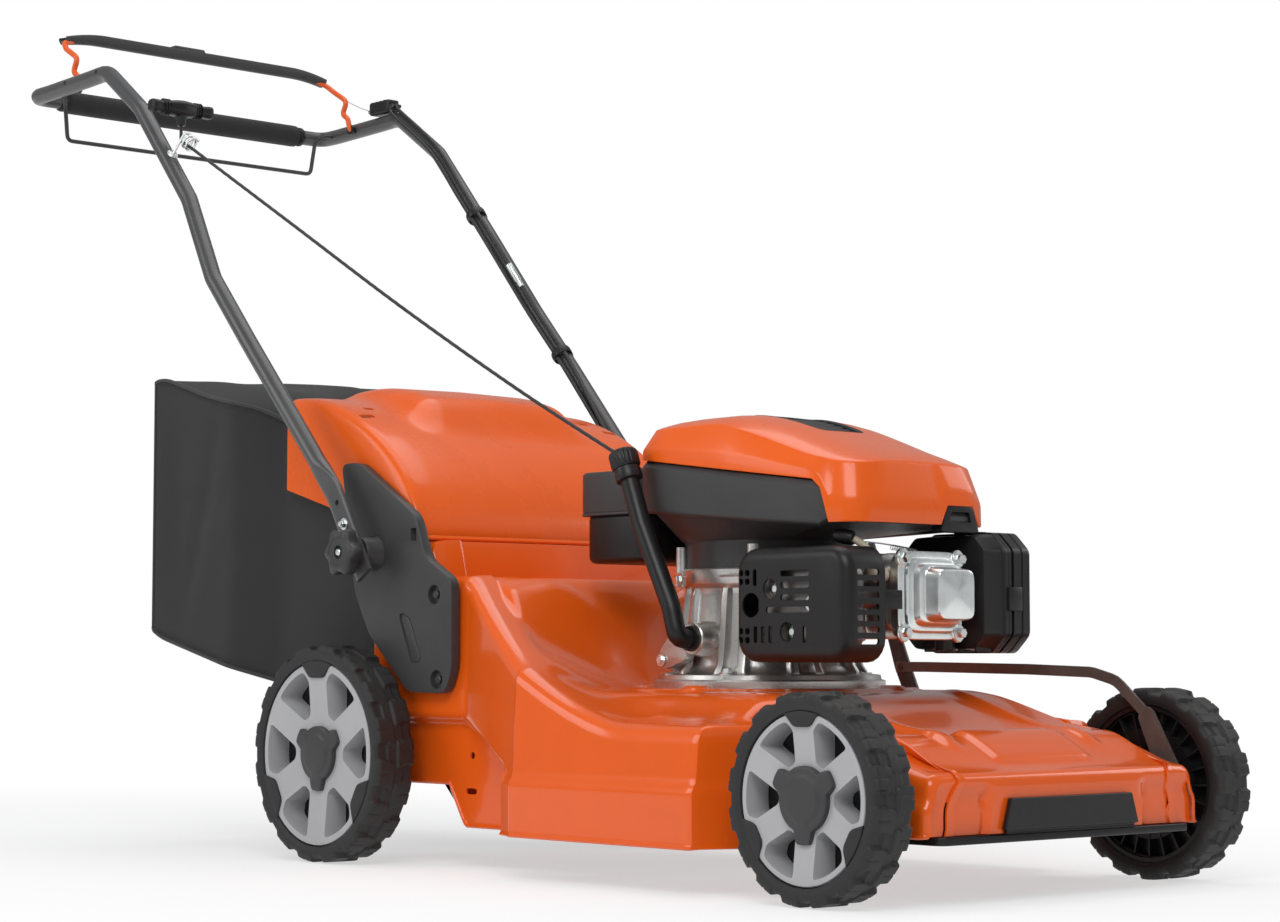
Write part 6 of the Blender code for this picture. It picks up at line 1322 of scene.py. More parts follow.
# The CAD cable's route: along the left leg and down between flap and leg.
def cablePath(turnDegrees, lift, last):
    leg = legs[1]
    run = [np.array([-1.3853, 0.2385 + 1.35 * lift, 1.056])]
    run.append(run[0] + (0.01, 0, 0))
    for k, extra in ((8, 12), (7, 0), (6.5, 0), (6, 0), (5.5, 0), (5, 0), (4.5, 0), (4, 0)):
        low, high = math.floor(k), math.ceil(k)
        point = (leg[low] + leg[high]) / 2
        along = unit(leg[low + 1] - leg[high - 1])
        inner = unit(np.array([0, -1, 0]) + along * along[1])
        upper = np.cross(along, inner)
        a = math.radians(turnDegrees + extra)
        reach = (tube["radius"] + 0.003 + cable["gap"]) / math.hypot(along[0], along[2])
        run.append(point + (inner * math.cos(a) + upper * math.sin(a)) * reach)
    slot, r = cable["slot"], cable["hinge"]
    run += [np.array(p) for p in ((r - 0.1, slot + 0.002, 0.54 + lift), (r - 0.05, slot, 0.488 + lift),
        (r + 0.01, slot, 0.444 + lift), (r + 0.08, slot, 0.42 + lift), (r + 0.14, slot - 0.002, 0.4 + lift))]
    return smoothPath(np.array(run + [np.array(p) for p in last]), 0.006)


# Both cables with ferrules, the clips, the adjuster, the box and the wire to the stop bail.
def makeCables():
    r, slot = cable["hinge"], cable["slot"]
    endY = 0.128 * 0.86  # the brake cable ends in the shroud's rounded rear corner
    rear = -0.2745 - 0.1665 * (1 - 0.86 ** 5) ** 0.2
    routes = {"drive_cable": cablePath(5, 0, ((r + 0.176, slot - 0.024, 0.38), (r + 0.186, 0.211, 0.362),
        (r + 0.187, 0.206, 0.347), (r + 0.187, 0.206, 0.3322))),
        "brake_cable": cablePath(48, 0.009, ((r + 0.185, slot - 0.03, 0.402), (-0.561, 0.15, 0.4),
        (-0.491, endY + 0.006, 0.418), (rear - 0.0016, endY, 0.43)))}
    for node, path in routes.items():
        obj = build(node.replace("_c", "C"), sweep(path, ringOutline(cable["radius"], sides=12), (0, 1, 0.3)),
            "blackCable", None, node, 60)
        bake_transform(obj)
        ferrule = turn([(0.0031, -0.016), (0.0046, -0.016), (0.005, -0.006), (0.0042, 0), (0.0031, 0)], 20,
            path[-1], path[-1] - path[-4])
        build(node.replace("_c", "C") + "Ferrule", ferrule, "blackPlastic")
    clips = []
    for x in cable["clips"]:
        k = int((legs[1][:, 0] >= x).sum()) - 1  # the leg's stretch that reaches over x
        a, b = legs[1][k], legs[1][k + 1]
        p = a + (b - a) * (x - a[0]) / (b[0] - a[0])
        along = unit(b - a)
        inner = np.array([0, -1, 0])
        upper = np.cross(along, inner)
        t = np.linspace(0, 2 * np.pi, 60, endpoint=False)
        reach = 0.0116 + 0.0078 * np.clip(np.cos(t - math.radians(28)), 0, 1) ** 1.2
        ring = p + reach[:, None] * (np.cos(t)[:, None] * inner + np.sin(t)[:, None] * upper)
        clips.append(sweep(ring, ringOutline(0.0012, 0.0055, 8, 4), unit(ring - p), closed=True))
    build("cableClips", clips, "blackPlastic", "handle")
    path = routes["brake_cable"]
    k = int(np.argmin(np.abs(path[:, 0] + 1.104)))
    adjuster = turn([(0.0031, -0.018), (0.005, -0.018), (0.005, 0.01), (0.0038, 0.012), (0.0038, 0.022),
        (0.0031, 0.022)], 20, path[k], path[k + 1] - path[k])
    build("cableAdjuster", adjuster, "zinc", "handle")
    box = roundBox((-1.434, 0.2357, 1.0485), (-1.386, 0.2573, 1.0681), 0.0035, 0, 3)
    slots = [roundBox((-1.4335 + 0.01 * j, 0.2395, 1.0676), (-1.4285 + 0.01 * j, 0.2535, 1.069), 0.0006, 1, 2)
        for j in range(4)]
    build("cableBox", [box, *slots], "blackPlastic", "handle", "cable_box")
    wire = smoothPath([(-1.436, 0.242, 1.056), (-1.47, 0.2405, 1.069), (-1.505, 0.238, 1.086),
        (-1.533, 0.235, 1.1)], 0.004)
    obj = build("bailWire", sweep(wire, ringOutline(0.0006, sides=8), (0, 1, 0)), "zinc", None)
    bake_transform(obj)
    tip = turn([(0, -0.004), (0.003, -0.004), (0.0034, 0), (0.003, 0.004), (0, 0.004)], 20, wire[0], (1, 0, 0))
    build("wireTip", tip, "zinc", "handle")


def makeGuide():  # chromed wire wound into an open spiral, with a base nut on the leg
    a = np.linspace(0, 2 * np.pi * guide["turns"], 110) + math.radians(225)
    out = np.linspace(-0.007, 0.01, 110)
    coil = guideMiddle + ropeAlong * out[:, None] + guide["coil"] * (ropeSide * np.cos(a)[:, None] + ropeUp
        * np.sin(a)[:, None])
    path = smoothPath(np.concatenate([[guideFoot, guideFoot + (0.004, -0.001, 0)], coil[::4]]), 0.0016)
    wire = sweep(path, ringOutline(guide["wire"], sides=14), (0, 0, 1))
    nut = bolt(guideFoot - guide["out"] * guide["wire"], guide["out"], 0.0052, 0.0045)
    build("ropeGuide", [wire, nut], "zinc", "handle", "rope_guide", 50)


# A rounded oval carried along y. Its size swells by one bell curve and sinks by two others.
def makeStarterGrip():
    at = starterGripAt
    y = np.concatenate([[-0.0465, -0.0462, -0.0455, -0.044], np.linspace(-0.041, 0.041, 45),
        [0.044, 0.0455, 0.0462, 0.0465]])
    swell = 0.0096 + 0.0026 * np.exp(-(y / 0.017) ** 2) - 0.0012 * np.exp(-((np.abs(y) - 0.03) / 0.01) ** 2)
    ends = np.array([0.45, 0.72, 0.9, 0.97])
    swell[:4] *= ends
    swell[-4:] *= ends[::-1]
    outline = ringOutline(1, 0.92, 32, 2.8) * swell[:, None, None]
    bar = sweep(pack(at[0], y + at[1], at[2]), outline, (1, 0, 0))
    neck = turn([(0, 0), (0.0095, 0), (0.0088, 0.01), (0.0066, 0.014), (0.0058, 0.0215), (0.005, 0.0224),
        (0, 0.0224)], 28, at, (0.04, 0, -1))
    ribs = [turn([(0.0104, -0.0006), (0.011, -0.0003), (0.011, 0.0003), (0.0104, 0.0006)], 32, at + (0, s * d, 0),
        (0, 1, 0)) for s in (-1, 1) for d in (0.02, 0.024, 0.028)]
    build("starterHandle", [bar, neck, *ribs], "blackPlastic", "starter_grip", "starter_grip", 50)


makeHandlebar()
makeFoam()
makeStopBail()
makeDriveBail()
makeCables()
makeGuide()
makeStarterGrip()
print("handle made")

# Engine: shroud and top cover share one plan, a rounded rectangle that narrows to the front.
engine = dict(x=-0.34, front=-0.098, rear=-0.441, half=0.128, top=0.512, flange=0.2053, sides=144, cylinderZ=0.307,
    wall=0.0022)


def coverPlan(inset, power=7):  # x and y of the plan, drawn in by an inset
    halfX = (engine["front"] - engine["rear"]) / 2 - inset
    middle = (engine["front"] + engine["rear"]) / 2
    x, y = ringOutline(halfX, engine["half"] - inset, engine["sides"], power).T
    return middle + x, y * ramp(x, 0, halfX, 1, 0.88)


def seamLine(x):  # height where the top cover meets the shroud
    return ramp(x, engine["rear"], -0.13, 0.465, 0.426) - ramp(x, -0.15, engine["front"], 0, 0.026)


def floorLine(x):  # height of the shroud's lower edge
    return ramp(x, engine["rear"], engine["front"], 0.408, 0.38)


def hoodLow(x, y):  # the hood's lower edge: along the seam, down over the front, up round the handle frame
    z = ramp(x, -0.147, -0.138, seamLine(x) + 0.0006, 0.3835)
    notch = np.minimum(ramp(y, 0.0225, 0.0325), ramp(y, 0.0755, 0.0855, 1, 0)) * (x > -0.108)
    return z + (0.4045 - z) * notch


def makeShroud():  # the plan at rising heights, from the round neck over the lower edge up to the seam
    x, y = coverPlan(0)
    a = np.arctan2(y, x - engine["x"])
    neck = lambda r, z: pack(engine["x"] + r * np.cos(a), r * np.sin(a), z)
    front = ramp(engine["front"] - x, 0.044, 0.036)
    floor, seam = floorLine(x) + 0.007 * front, np.maximum(seamLine(x), floorLine(x) + 0.012)
    pull = 0.0036 * front
    rows = [neck(0.094, 0.3403), neck(0.094, 0.366), neck(0.0955, 0.3705), neck(0.099, 0.3725)]
    for inset, z in ((0.012, floor - 0.004), (0.005, floor - 0.0036), (0.0022, floor - 0.0022), (0.0006, floor),
            (0.0002, floor + 0.003), (0.0002, seam - 0.0072), (0.0008, seam - 0.0064), (0.0042, seam - 0.0008),
            (0.005, seam - 0.0004)):
        rows.append(pack(*coverPlan(inset + pull), z))
    obj = build("shroudShell", loft(rows, caps=False), "greyPlastic", None, "shroud")
    walled(obj, engine["wall"])
    cut(obj, rod(0.0058, -0.02, 0.02, 24, rope["exit"], (1, 0, 0)))
    shade(obj, 32)
    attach(obj, "chassis")
    eyelet = turn([(0.0036, -0.003), (0.0072, -0.003), (0.0078, -0.0014), (0.007, 0), (0.0048, 0.0004),
        (0.0036, -0.0008)], 28, np.array(rope["exit"]) + (-0.0012, 0, 0), (-1, 0, 0))
    build("ropeEyelet", eyelet, "blackPlastic")
    bridge = roundBox((engine["x"] - 0.014, -0.1252, 0.456), (engine["x"] + 0.014, 0.1252, 0.46), 0.001, 1, 2)
    build("shroudBridge", bridge, "blackPlastic")


def crownAt(x, y, drop):  # height of the hood's domed top, less a drop
    fall = ease(x, engine["x"] + 0.02, engine["front"], 0, 0.052)
    rear = ease(x, engine["rear"], engine["rear"] + 0.034, 0.01, 0)
    return engine["top"] - fall - rear - 0.006 * (y / engine["half"]) ** 2 - drop


hood = dict(vent=((-0.318, -0.046), (-0.318, 0.046), (-0.222, 0.034), (-0.222, -0.034)), blades=7, pitch=0.0136,
    tilt=34, wall=0.0024)


# Rows of the plan from the lower edge up to the crown, then rows of the crown drawn in.
def makeCover():
    low = hoodLow(*coverPlan(0))
    rows = [pack(*coverPlan(0.003), low + 0.0002), pack(*coverPlan(0.0006), low)]
    for inset, share in ((0, 0.02), (0.0003, 0.34), (0.0008, 0.41), (0.0016, 0.46), (0.0112, 0.955),
            (0.0117, 0.975), (0.0124, 0.988)):
        x, y = coverPlan(inset)
        rows.append(pack(x, y, low + (crownAt(x, y, 0.01) - low) * share))
    for inset, drop in ((0.0134, 0.0097), (0.0148, 0.009), (0.02, 0.0072), (0.03, 0.0042), (0.045, 0.0018),
            (0.062, 0.0005), (0.08, 0), (0.095, 0), (0.108, 0), (0.118, 0)):
        x, y = coverPlan(inset, 7 - min(inset, 0.07) * 50)
        rows.append(pack(x, y, crownAt(x, y, drop)))
    points, faces = loft(rows, caps=False)
    faces.append([len(points) - engine["sides"] + k for k in range(engine["sides"])])
    obj = build("engineHood", (points, faces), "orangePlastic", None, "engine_cover", 28)
    walled(obj, hood["wall"])
    vent = hood["vent"]
    cut(obj, slab(roundCorners(vent, 0.01), 0.455, 0.56, 2))
    shade(obj, 28)
    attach(obj, "chassis")
    grille = []
    for k in range(hood["blades"]):
        x, half = -0.3105 + hood["pitch"] * k, 0.0455 - 0.0115 * k / 6.5
        blade = roundBox((-0.0052, -half, -0.0011), (0.0052, half, 0.0011), 0.0008, 1, 2)
        grille.append(tilted(blade, hood["tilt"], (x, 0, crownAt(x, 0, 0.0055))))
    for y in (-0.016, 0.016):
        line = np.array([(-0.316, y, 0), (-0.29, y, 0), (-0.26, y, 0), (-0.224, y, 0)])
        line[:, 2] = crownAt(line[:, 0], line[:, 1], 0.009)
        grille.append(sweep(smoothPath(line, 0.006), ringOutline(0.0016, 0.0026, 8, 4), (0, 1, 0)))
    frameRun = evenRing(roundCorners(vent, 0.01, 6), 0.004)
    z = crownAt(frameRun[:, 0], frameRun[:, 1], 0.0022)
    grille.append(sweep(np.column_stack([frameRun, z]), ringOutline(0.0026, sides=8, power=3), (0, 0, 1),
        closed=True))
    build("hoodGrille", grille, "ventBlackAndShade")
    # A dark sheet under the vent: painted shade that stands for the dark inside of the hood.
    build("hoodVentShadeSheet", slab(roundCorners(vent, 0.01), 0.469, 0.472, 2), "ventBlackAndShade")
    outer = roundCorners([(0.0235, 0.376), (0.033, 0.4045), (0.075, 0.4045), (0.0845, 0.376)], 0.004, 4)
    inner = roundCorners([(0.037, 0.387), (0.04, 0.398), (0.068, 0.398), (0.071, 0.387)], 0.002, 4)
    obj = build("hoodHandle", prism(outer, -0.116, -0.0992, 0, 0.001, 2), "blackPlastic", None)
    cut(obj, slab(inner, -0.13, -0.09, 0))
    soften(obj, 0.0006, 2, 40)
    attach(obj, "chassis")


tank = dict(cap=(-0.496, 0.045, 0.4563), ribs=18, depth=0.045)


# Rows of a cap's turned side, whose radius dips between its grip ribs, at heights along its axis.
def ribbed(profile, steps, ribs, depth, power, at, up, u, v):
    a = 2 * np.pi * np.arange(steps) / steps
    dip = depth * (0.5 + 0.5 * np.cos(ribs * a)) ** power
    return loft([at + np.asarray(up) * h + (r * (1 - share * dip))[:, None]
        * (np.cos(a)[:, None] * u + np.sin(a)[:, None] * v) for h, r, share in profile])


def makeTank():  # two rounded boxes, a bead between them and a ribbed cap
    low = roundBox((-0.554, -0.096, 0.35), (-0.4432, 0.096, 0.408), 0.008, 2, 4, corner=0.022)
    lip = roundBox((-0.56, -0.1, 0.406), (-0.442, 0.1, 0.456), 0.0045, 2, 4, corner=0.02)
    build("tankBody", low, "blackPlastic")
    bead = roundBox((-0.5605, -0.1004, 0.405), (-0.442, 0.1004, 0.4082), 0.0012, 2, 2, corner=0.02)
    build("tankTop", [lip, bead], "greyPlastic", "chassis", "fuel_tank")
    x, y, z = tank["cap"]
    collar = [(0.0195, -0.004), (0.0215, -0.004), (0.0215, 0.0001), (0.0195, 0.0001)]
    build("tankNeck", turn(collar, 40, (x, y, z), (0, 0, 1)), "blackPlastic")
    profile = ((0, 0.0236, 0), (0.0012, 0.0248, 0), (0.0018, 0.0258, 1), (0.0135, 0.0258, 1), (0.016, 0.0248, 0.6),
        (0.0176, 0.0228, 0), (0.018, 0.02, 0), (0.0172, 0.0188, 0), (0.0172, 0.0004, 0))
    cap = ribbed(profile, 144, tank["ribs"], tank["depth"], 3, (x, y, z), (0, 0, 1), np.eye(3)[0], np.eye(3)[1])
    bar = roundBox((x - 0.0195, y - 0.0038, 0.4728), (x + 0.0195, y + 0.0038, 0.4744), 0.0007, 0, 3)
    build("tankCap", [cap, bar], "blackPlastic", "fuel_cap", "fuel_cap")


oil = dict(radius=0.0109, bend=0.03, up=(-0.3675, 0, 0.93), ribs=20, depth=0.055,
    run=((-0.336, -0.1243, 0.262), (-0.336, -0.144, 0.262), (-0.346, -0.144, 0.296), (-0.3955, -0.144, 0.39),
    (-0.42, -0.144, 0.452)))


def makeOil():  # a bent tube with two collars, its stay, and the dipstick under a ribbed cap
    path = bentPath(oil["run"], oil["bend"], 0.004)
    pipe, up = sweep(path, ringOutline(oil["radius"], sides=28), (1, 0, 0)), unit(np.array(oil["up"]))
    foot = [(0.0108, -0.006), (0.0136, -0.006), (0.0142, -0.003), (0.0136, 0), (0.0108, 0)]
    neck = [(0.0108, -0.015), (0.015, -0.0135), (0.0156, -0.01), (0.015, -0.003), (0.0146, -0.0002), (0.0108, 0)]
    build("oilTube", [pipe, turn(foot, 36, path[1], (0, -1, 0)), turn(neck, 40, path[-1], up)], "blackPlastic",
        "chassis", "oil_filler_tube")
    stay = roundBox((-0.001, -0.1385, 0), (0.001, -0.1285, 0.072), 0.0008, 2, 2)
    build("oilTubeStay", tilted(stay, -26, (-0.3645, 0, 0.292)), "blackSteel")
    side = np.array([0, 1, 0])
    profile = ((-0.046, 0.0021, 0), (0.0006, 0.0022, 0), (0.0006, 0.015, 0), (0.002, 0.016, 0.2),
        (0.0034, 0.0168, 1), (0.0175, 0.0168, 1), (0.02, 0.0158, 0.5), (0.0215, 0.0138, 0), (0.022, 0.011, 0),
        (0.022, 0.0003, 0))
    cap = ribbed(profile, 160, oil["ribs"], oil["depth"], 2, path[-1], up, side, np.cross(up, side))
    build("dipstickCap", cap, "blackPlastic", "dipstick", "dipstick")


# Rows about the crankshaft: a height, a radius, and how far eight pairs of ribs stand out there.
def ringRows(levels):
    a = 2 * np.pi * np.arange(288) / 288
    pair = np.minimum(*(np.abs((a * 8 / np.pi + off) % 2 - 1) for off in (0.32, -0.32)))
    ribs = ease(pair, 0.2, 0.09)
    return [pack(engine["x"] + (r + rib * ribs) * np.cos(a), (r + rib * ribs) * np.sin(a), z)
        for z, r, rib in levels]


# Turned rows with ribs, joined with the cylinder's seat, a boss and an ear.
def makeCrankcase():
    base = engine["flange"]
    body = loft(ringRows([(base, 0.1285, 0), (base + 0.0012, 0.1306, 0), (base + 0.01, 0.1308, 0),
        (base + 0.0112, 0.1296, 0), (base + 0.0118, 0.1262, 0), (base + 0.0165, 0.125, 0),
        (base + 0.0172, 0.1232, 0), (base + 0.018, 0.112, 0.001), (base + 0.0205, 0.106, 0.007),
        (base + 0.028, 0.101, 0.007), (base + 0.05, 0.0975, 0.0068), (base + 0.104, 0.092, 0.006),
        (0.312, 0.0915, 0.006), (0.318, 0.093, 0.003), (0.3215, 0.0975, 0), (0.3235, 0.0988, 0),
        (0.3385, 0.0988, 0), (0.34, 0.0975, 0)]))
    obj = build("crankcaseBody", body, "castAluminium", None, "crankcase", 34)
    cut(obj, roundBox((-0.29, -0.054, 0.258), (-0.2343, 0.054, 0.3385), 0.006, 0, 3, corner=0.01), "UNION")
    boss = turn([(0, 0.055), (0.0195, 0.055), (0.0195, 0.112), (0.018, 0.115), (0.018, 0.1225), (0.0168, 0.1238),
        (0, 0.1238)], 40, (-0.336, 0, 0.262), (0, -1, 0))
    cut(obj, boss, "UNION")
    ear = prism(roundCorners([(-0.352, 0.238), (-0.387, 0.228), (-0.398, 0.236), (-0.394, 0.25), (-0.372, 0.272),
        (-0.345, 0.28)], 0.006, 4), -0.118, -0.104, 1, 0.0015, 2)
    cut(obj, ear, "UNION")
    cut(obj, rod(0.013, -0.2, 0.2, 40, (engine["x"], 0, 0.3), (0, 0, 1)))
    shade(obj, 34)
    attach(obj, "chassis")
    bumps, bolts = [], []
    for k in range(8):
        a = math.radians(22.5 + 45 * k)
        at = np.array([engine["x"] + 0.1165 * math.cos(a), 0.1165 * math.sin(a), base + 0.0125])
        if k in (0, 7):  # the cylinder is here
            continue
        bumps.append(turn([(0, 0), (0.0098, 0), (0.0094, 0.0055), (0.008, 0.0068), (0, 0.0068)], 28, at, (0, 0, 1)))
        if k % 2 == 0:
            bolts.append(bolt(at + (0, 0, 0.0068), (0, 0, 1), 0.0052, 0.005))
    build("flangeBumps", bumps, "castAluminium")
    bolts.append(bolt((-0.3905, -0.1185, 0.2385), (0, -1, 0), 0.0046, 0.0042))
    bolts.append(bolt((-0.379, -0.1015, 0.326), (-0.35, -0.93, 0), 0.0068, 0.006))
    build("crankcaseBolts", bolts, "zinc")
    plate = prism(roundCorners([(-0.405, -0.088), (-0.25, -0.104), (-0.238, -0.092), (-0.25, -0.08),
        (-0.39, -0.07)], 0.006, 4), 0.33, 0.3325, 2, 0.0006, 2)
    posts = [turn([(0, 0), (0.0075, 0), (0.007, 0.045), (0, 0.045)], 28, (x, y, 0.32), (0, 0, 1))
        for x, y in ((-0.4, -0.078), (-0.402, 0.078), (-0.27, -0.092))]
    build("blowerPlate", [plate, *posts], "castAluminium")


cylinder = dict(rear=-0.2337, front=-0.097, halfY=0.048, halfZ=0.046, fins=6)


def makeCylinder():  # fins between the crankcase and the head, from levels along its axis
    rear, front, fins = cylinder["rear"], cylinder["front"], cylinder["fins"]
    pitch = (front - rear) / (fins + 1)
    fin = ((0.3, 0.78), (0.37, 0.79), (0.41, 0.965), (0.46, 0.995), (0.54, 0.995), (0.59, 0.965), (0.63, 0.79),
        (0.7, 0.78))
    levels = [(rear, 0.8)] + [(rear + pitch * (k + share), s) for k in range(fins) for share, s in fin]
    levels += [(rear + pitch * (fins + share), s) for share, s in ((0.25, 0.8), (0.4, 0.985), (0.48, 1))]
    levels += [(front - 0.0004, 1), (front, 0.992)]
    y, z = ringOutline(cylinder["halfY"], cylinder["halfZ"], 96, 7).T
    rows = [pack(x, y * s, engine["cylinderZ"] + z * s) for x, s in levels]
    build("cylinderBlock", loft(rows), "castAluminium", "chassis", "cylinder", 34)


valveCover = dict(x=-0.0967, bolts=(0.0425, 0.0395))


def makeValveCover():  # rounded rectangles stacked along x, with a boss and a bolt near each corner
    # Distance from its foot, half widths, and how far each level is set to the side and up.
    levels = ((0, 0.049, 0.046, 0, 0), (0.0003, 0.0498, 0.0468, 0, 0), (0.0016, 0.05, 0.047, 0, 0),
        (0.0026, 0.049, 0.046, 0, 0), (0.003, 0.044, 0.041, 0, 0), (0.0036, 0.0422, 0.0396, 0, 0),
        (0.007, 0.041, 0.0385, 0, 0), (0.0078, 0.04, 0.0375, 0, 0), (0.008, 0.0372, 0.0348, 0.002, 0),
        (0.0088, 0.0355, 0.0332, 0.002, 0), (0.015, 0.034, 0.0318, 0.003, 0.001),
        (0.0166, 0.0325, 0.0304, 0.004, 0.001), (0.0172, 0.0305, 0.0292, 0.005, 0.001),
        (0.0185, 0.0296, 0.0284, 0.005, 0.001), (0.033, 0.0284, 0.0272, 0.005, 0.001),
        (0.0356, 0.0272, 0.026, 0.005, 0.001), (0.0364, 0.0248, 0.0238, 0.005, 0.001),
        (0.0364, 0.0004, 0.0004, 0.005, 0.001))
    rows = [pack(valveCover["x"] + h, *(ringOutline(a, b, 112, 6.5) + (dy, engine["cylinderZ"] + dz)).T)
        for h, a, b, dy, dz in levels]
    build("valveCoverBox", loft(rows), "zinc", "chassis", "valve_cover")
    (y, z), along = valveCover["bolts"], (1, 0, 0)
    spots = [np.array([valveCover["x"], k * y, engine["cylinderZ"] + m * z]) for k in (-1, 1) for m in (-1, 1)]
    boss = [(0, 0), (0.01, 0), (0.01, 0.0032), (0.009, 0.004), (0, 0.004)]
    build("valveCoverBosses", [turn(boss, 32, at, along) for at in spots], "zinc")
    build("valveCoverBolts", [bolt(at + (0.004, 0, 0), along, 0.0058, 0.0075) for at in spots], "zinc")


def slotShape(x0, z0, x1, z1):  # a slot with round ends
    r = min(x1 - x0, z1 - z0) / 2 - 0.0002
    return roundCorners([(x0, z0), (x1, z0), (x1, z1), (x0, z1)], r, 5)


guard = dict(low=(-0.251, -0.14, 0.236), high=(-0.082, -0.083, 0.358), wall=0.0026)


# A hollow rounded box, open towards the engine, with slots and holes through its front and end.
def makeGuard():
    low, high = np.array(guard["low"]), np.array(guard["high"])
    inside, outside = guard["wall"], np.array([0, 0.04, 0])
    obj = build("guardShell", roundBox(low, high + outside, 0.0125, 1, 5, corner=0.026), "blackPlastic", None,
        "muffler_guard", 40)
    cut(obj, roundBox((-0.27, high[1], 0.22), (-0.06, -0.03, 0.38), 0, 1, 1, corner=0.0001))
    cut(obj, roundBox(low + inside, high - inside + 2 * outside, 0.01, 1, 4, corner=0.0235))
    shapes = [slotShape(cx - 0.0036, cz - 0.0034, cx + 0.0036, cz + 0.0034) for cx in (0.011, 0.0208)
        for cz in (0.0238, 0.0332, 0.086, 0.0954)]
    shapes.append(slotShape(0.0294, 0.081, 0.035, 0.0992))
    shapes += [slotShape(cx - 0.0027, 0.0205, cx + 0.0027, 0.0385) for cx in (0.0332, 0.0444, 0.0556, 0.1066)]
    shapes += [slotShape(left, z, 0.1134, z + 0.0064) for left, z in ((0.071, 0.0905), (0.071, 0.0782),
        (0.071, 0.0652), (0.049, 0.0522))]
    circle = ringOutline(1, sides=36)
    shapes += [circle * r + (cx, cz) for cx, cz, r in ((0.0262, 0.0608, 0.0132), (0.0548, 0.078, 0.0104),
        (0.0804, 0.0322, 0.0104))]
    tools = [slab(s + low[[0, 2]], low[1] - 0.01, low[1] + 0.006) for s in shapes]
    for k in range(7):
        z = low[2] + 0.019 + 0.012 * k
        slot = slotShape(low[1] + 0.015, z, low[1] + 0.048, z + 0.0061)
        tools.append(slab(slot, high[0] - 0.007, high[0] + 0.007, 0))
    cut(obj, tools)
    soften(obj, 0.0005, 2, 42, 44)
    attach(obj, "chassis")
    tabs = [roundBox((x, -0.086, 0.292), (x + 0.003, -reach, 0.312), 0.0008, 1, 2)
        for x, reach in ((-0.241, 0.0543), (-0.091, 0.0503))]
    build("guardTabs", tabs, "blackPlastic")
    box = roundBox((-0.229, -0.129, 0.249), (-0.102, -0.09, 0.34), 0.008, 1, 4, corner=0.014)
    neck = rod(0.014, -0.002, 0.041, 32, (-0.137, -0.09, 0.307), (0, 1, 0))
    build("mufflerBox", [box, neck], "mufflerSteel", "chassis", "muffler")
    spots = (low[0] + 0.0548, low[2] + 0.078), (low[0] + 0.0804, low[2] + 0.0322), (low[0] + 0.108, low[2] + 0.062)
    rings = [turn([(0.007, 0), (0.0092, 0), (0.0096, 0.0012), (0.007, 0.0016)], 28, (x, -0.129, z), (0, -1, 0))
        for x, z in spots]
    heads = [bolt((x, -0.129, z), (0, -1, 0), 0.0046, 0.004) for x, z in spots[:2]]
    build("mufflerBolts", rings + heads, "zinc")


def makeLead():  # braided cord that comes out of a smooth boot over the spark plug
    path = smoothPath([(-0.117, -0.0483, 0.329), (-0.117, -0.0583, 0.329), (-0.117, -0.0663, 0.334),
        (-0.118, -0.0683, 0.347), (-0.121, -0.0723, 0.358), (-0.127, -0.0843, 0.367)], 0.0012)
    reach = np.linspace(0, 1, len(path))
    radius = np.interp(reach, [0, 0.16, 0.32, 0.5, 0.62, 1], [0.008, 0.0085, 0.008, 0.006, 0.0042, 0.004])
    a = 2 * np.pi * np.arange(20) / 20
    braid = 1 + 0.05 * np.cos(a[None] * 5 + reach[:, None] * 60) * np.cos(a[None] * 5 - reach[:, None] * 60)
    outline = (radius[:, None] * np.where(reach[:, None] > 0.5, braid, 1))[..., None] * pack(np.cos(a), np.sin(a))
    build("plugLeadCord", sweep(path, outline, (1, 0, 0)), "creamRubber", "chassis", "plug_lead",
        60)
    boot = turn([(0, 0), (0.0075, 0), (0.0082, 0.004), (0.008, 0.014), (0.0062, 0.02), (0, 0.02)], 28, path[-1],
        (-0.75, -0.35, 0.15))
    build("plugBoot", boot, "blackPlastic")


filterBox = dict(low=(-0.205, 0.246), high=(-0.08, 0.378), corner=0.02)


# The filter's eight-cornered outline, drawn in by an inset.
def filterOutline(inset):
    (x0, z0), (x1, z1), c = filterBox["low"], filterBox["high"], filterBox["corner"]
    p = [(x0 + inset, z0 + c), (x0 + c, z0 + inset), (x1 - c, z0 + inset), (x1 - inset, z0 + c),
        (x1 - inset, z1 - c), (x1 - c, z1 - inset), (x0 + c, z1 - inset), (x0 + inset, z1 - c)]
    return roundCorners(p, 0.005, 4)


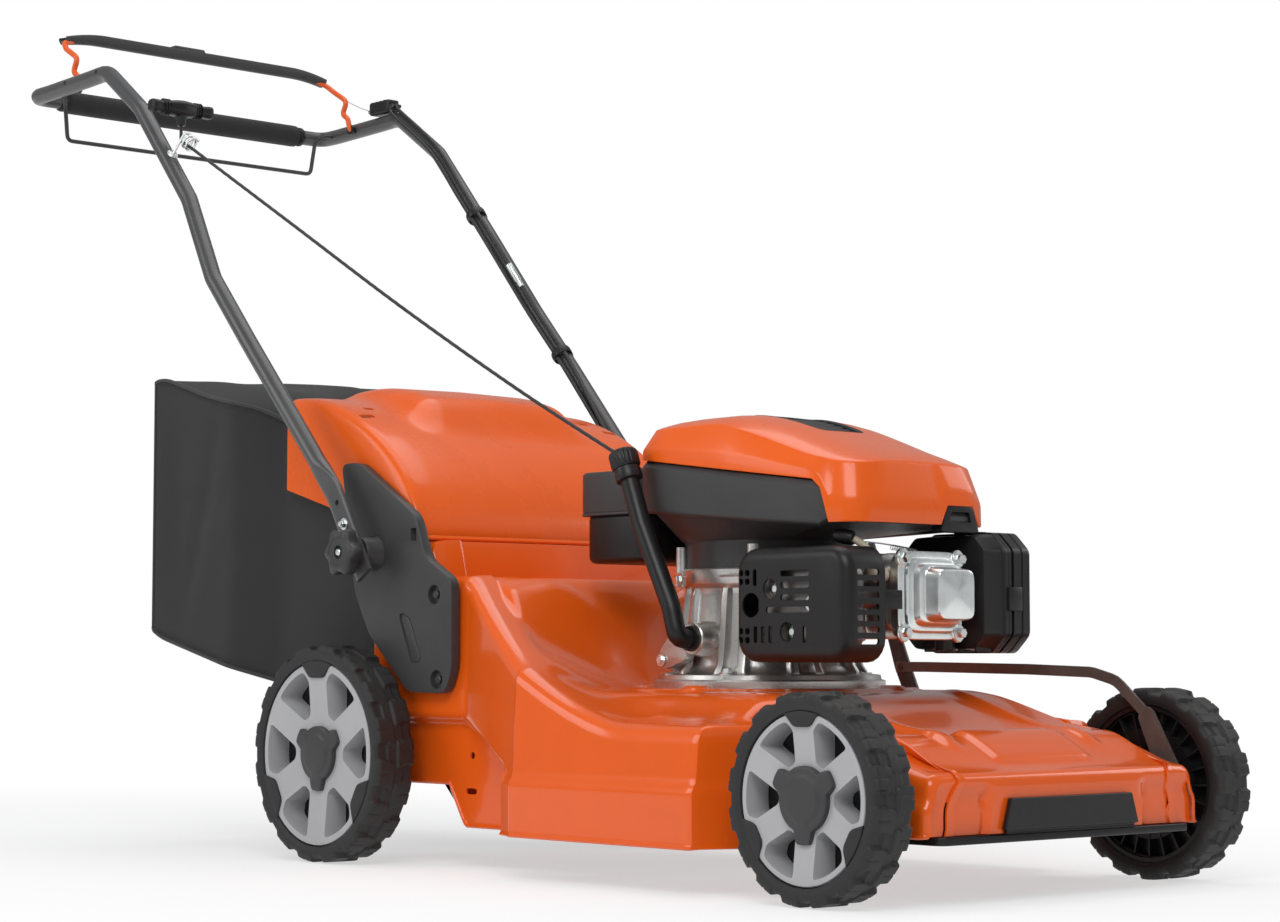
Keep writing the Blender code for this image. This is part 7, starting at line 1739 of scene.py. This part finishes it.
# Eight-cornered rows stacked along y for tray and cover, with ribs, clips and a sprung wire.
def makeFilter():
    shell = lambda levels: loft([np.insert(filterOutline(inset), 1, y, axis=1) for y, inset in levels])
    levels = [(0.0742, 0.006), (0.0748, 0.0048), (0.103, 0.002), (0.1038, 0.0012), (0.1042, 0), (0.1098, 0),
        (0.11, 0.0008)]
    build("filterTray", shell(levels), "blackPlastic", "chassis", "air_filter_base", 34)
    ribs = [roundBox((-0.1985 + 0.0245 * k, 0.076, 0.2475), (-0.1955 + 0.0245 * k, 0.1, 0.3685), 0.0008, 2, 2)
        for k in range(1, 5)]
    build("filterRibs", ribs, "blackPlastic")
    levels = [(0.1103, 0.0008), (0.1106, 0), (0.114, 0), (0.1144, 0.0026), (0.118, 0.0026), (0.1184, 0), (0.13, 0),
        (0.1304, 0.001), (0.133, 0.001), (0.1334, 0), (0.144, 0), (0.1452, 0.0008), (0.1545, 0.0085),
        (0.1556, 0.0108), (0.156, 0.015)]
    build("filterCover", shell(levels), "blackPlastic", "air_filter_cover", "air_filter_cover", 30)
    panel = roundBox((-0.184, 0.1545, 0.27), (-0.103, 0.1558, 0.346), 0.0006, 1, 2, corner=0.006)
    build("filterPanel", panel, "blackPlastic", "air_filter_cover")
    clip = [roundBox((-0.158, 0.108, 0.3776), (-0.13, 0.132, 0.38), 0.001, 1, 2),
        roundBox((-0.081, 0.108, 0.292), (-0.0775, 0.13, 0.318), 0.001, 1, 2)]
    build("filterClips", clip, "blackPlastic", "air_filter_cover")
    wire = smoothPath([(-0.15, 0.066, 0.352), (-0.16, 0.02, 0.362), (-0.165, -0.03, 0.366), (-0.15, -0.06, 0.362)],
        0.004)
    spring = np.linspace(0, 1, 140)
    coil = np.array([-0.157, 0.045, 0.357]) + pack(-0.004 * spring + 0.0028 * np.cos(spring * 75), -0.034 * spring,
        0.004 * spring + 0.0028 * np.sin(spring * 75))
    build("throttleWire", combine(sweep(wire, ringOutline(0.0008, sides=8), (1, 0, 0)),
        sweep(coil, ringOutline(0.0004, sides=6), (0, 1, 0))), "zinc", "chassis", weld=False)


makeShroud()
makeCover()
makeTank()
makeOil()
makeCrankcase()
makeCylinder()
makeValveCover()
makeGuard()
makeLead()
makeFilter()
print("engine made")

# Pieces whose CAD form is already full: welded copies with rounded edges and their own finish.
rest = {"nose_trim": ("blackPlastic", 0.0012), "carburettor": ("blackPlastic", 0.001),
    "front_axle": ("strapSteel", 0.0006), "rear_axle": ("bareSteel", 0.0004), "rear_crank": ("blackSteel", 0.0006),
    "height_strap": ("strapSteel", 0.0005), "height_lever": ("blackSteel", 0.0006),
    "gearbox": ("castAluminium", 0.0012), "gearbox_pulley": ("zinc", 0.0004), "drive_belt": ("tyreRubber", 0.0),
    "blade": ("bareSteel", 0.0004), "blade_adapter": ("castAluminium", 0.0006), "crankshaft": ("bareSteel", 0.0004),
    "flywheel": ("castAluminium", 0.0008), "starter_pulley": ("blackPlastic", 0.0006)}
for node, (look, width) in rest.items():
    bend = ("chassis", "rear_crank", (0.3, 0.0, 0.172), (0.036, 0.0, 0.172)) if node == "drive_belt" else None
    refined(node, look, width, "piece" + node.title().replace("_", ""), bend)
print("other pieces refined")
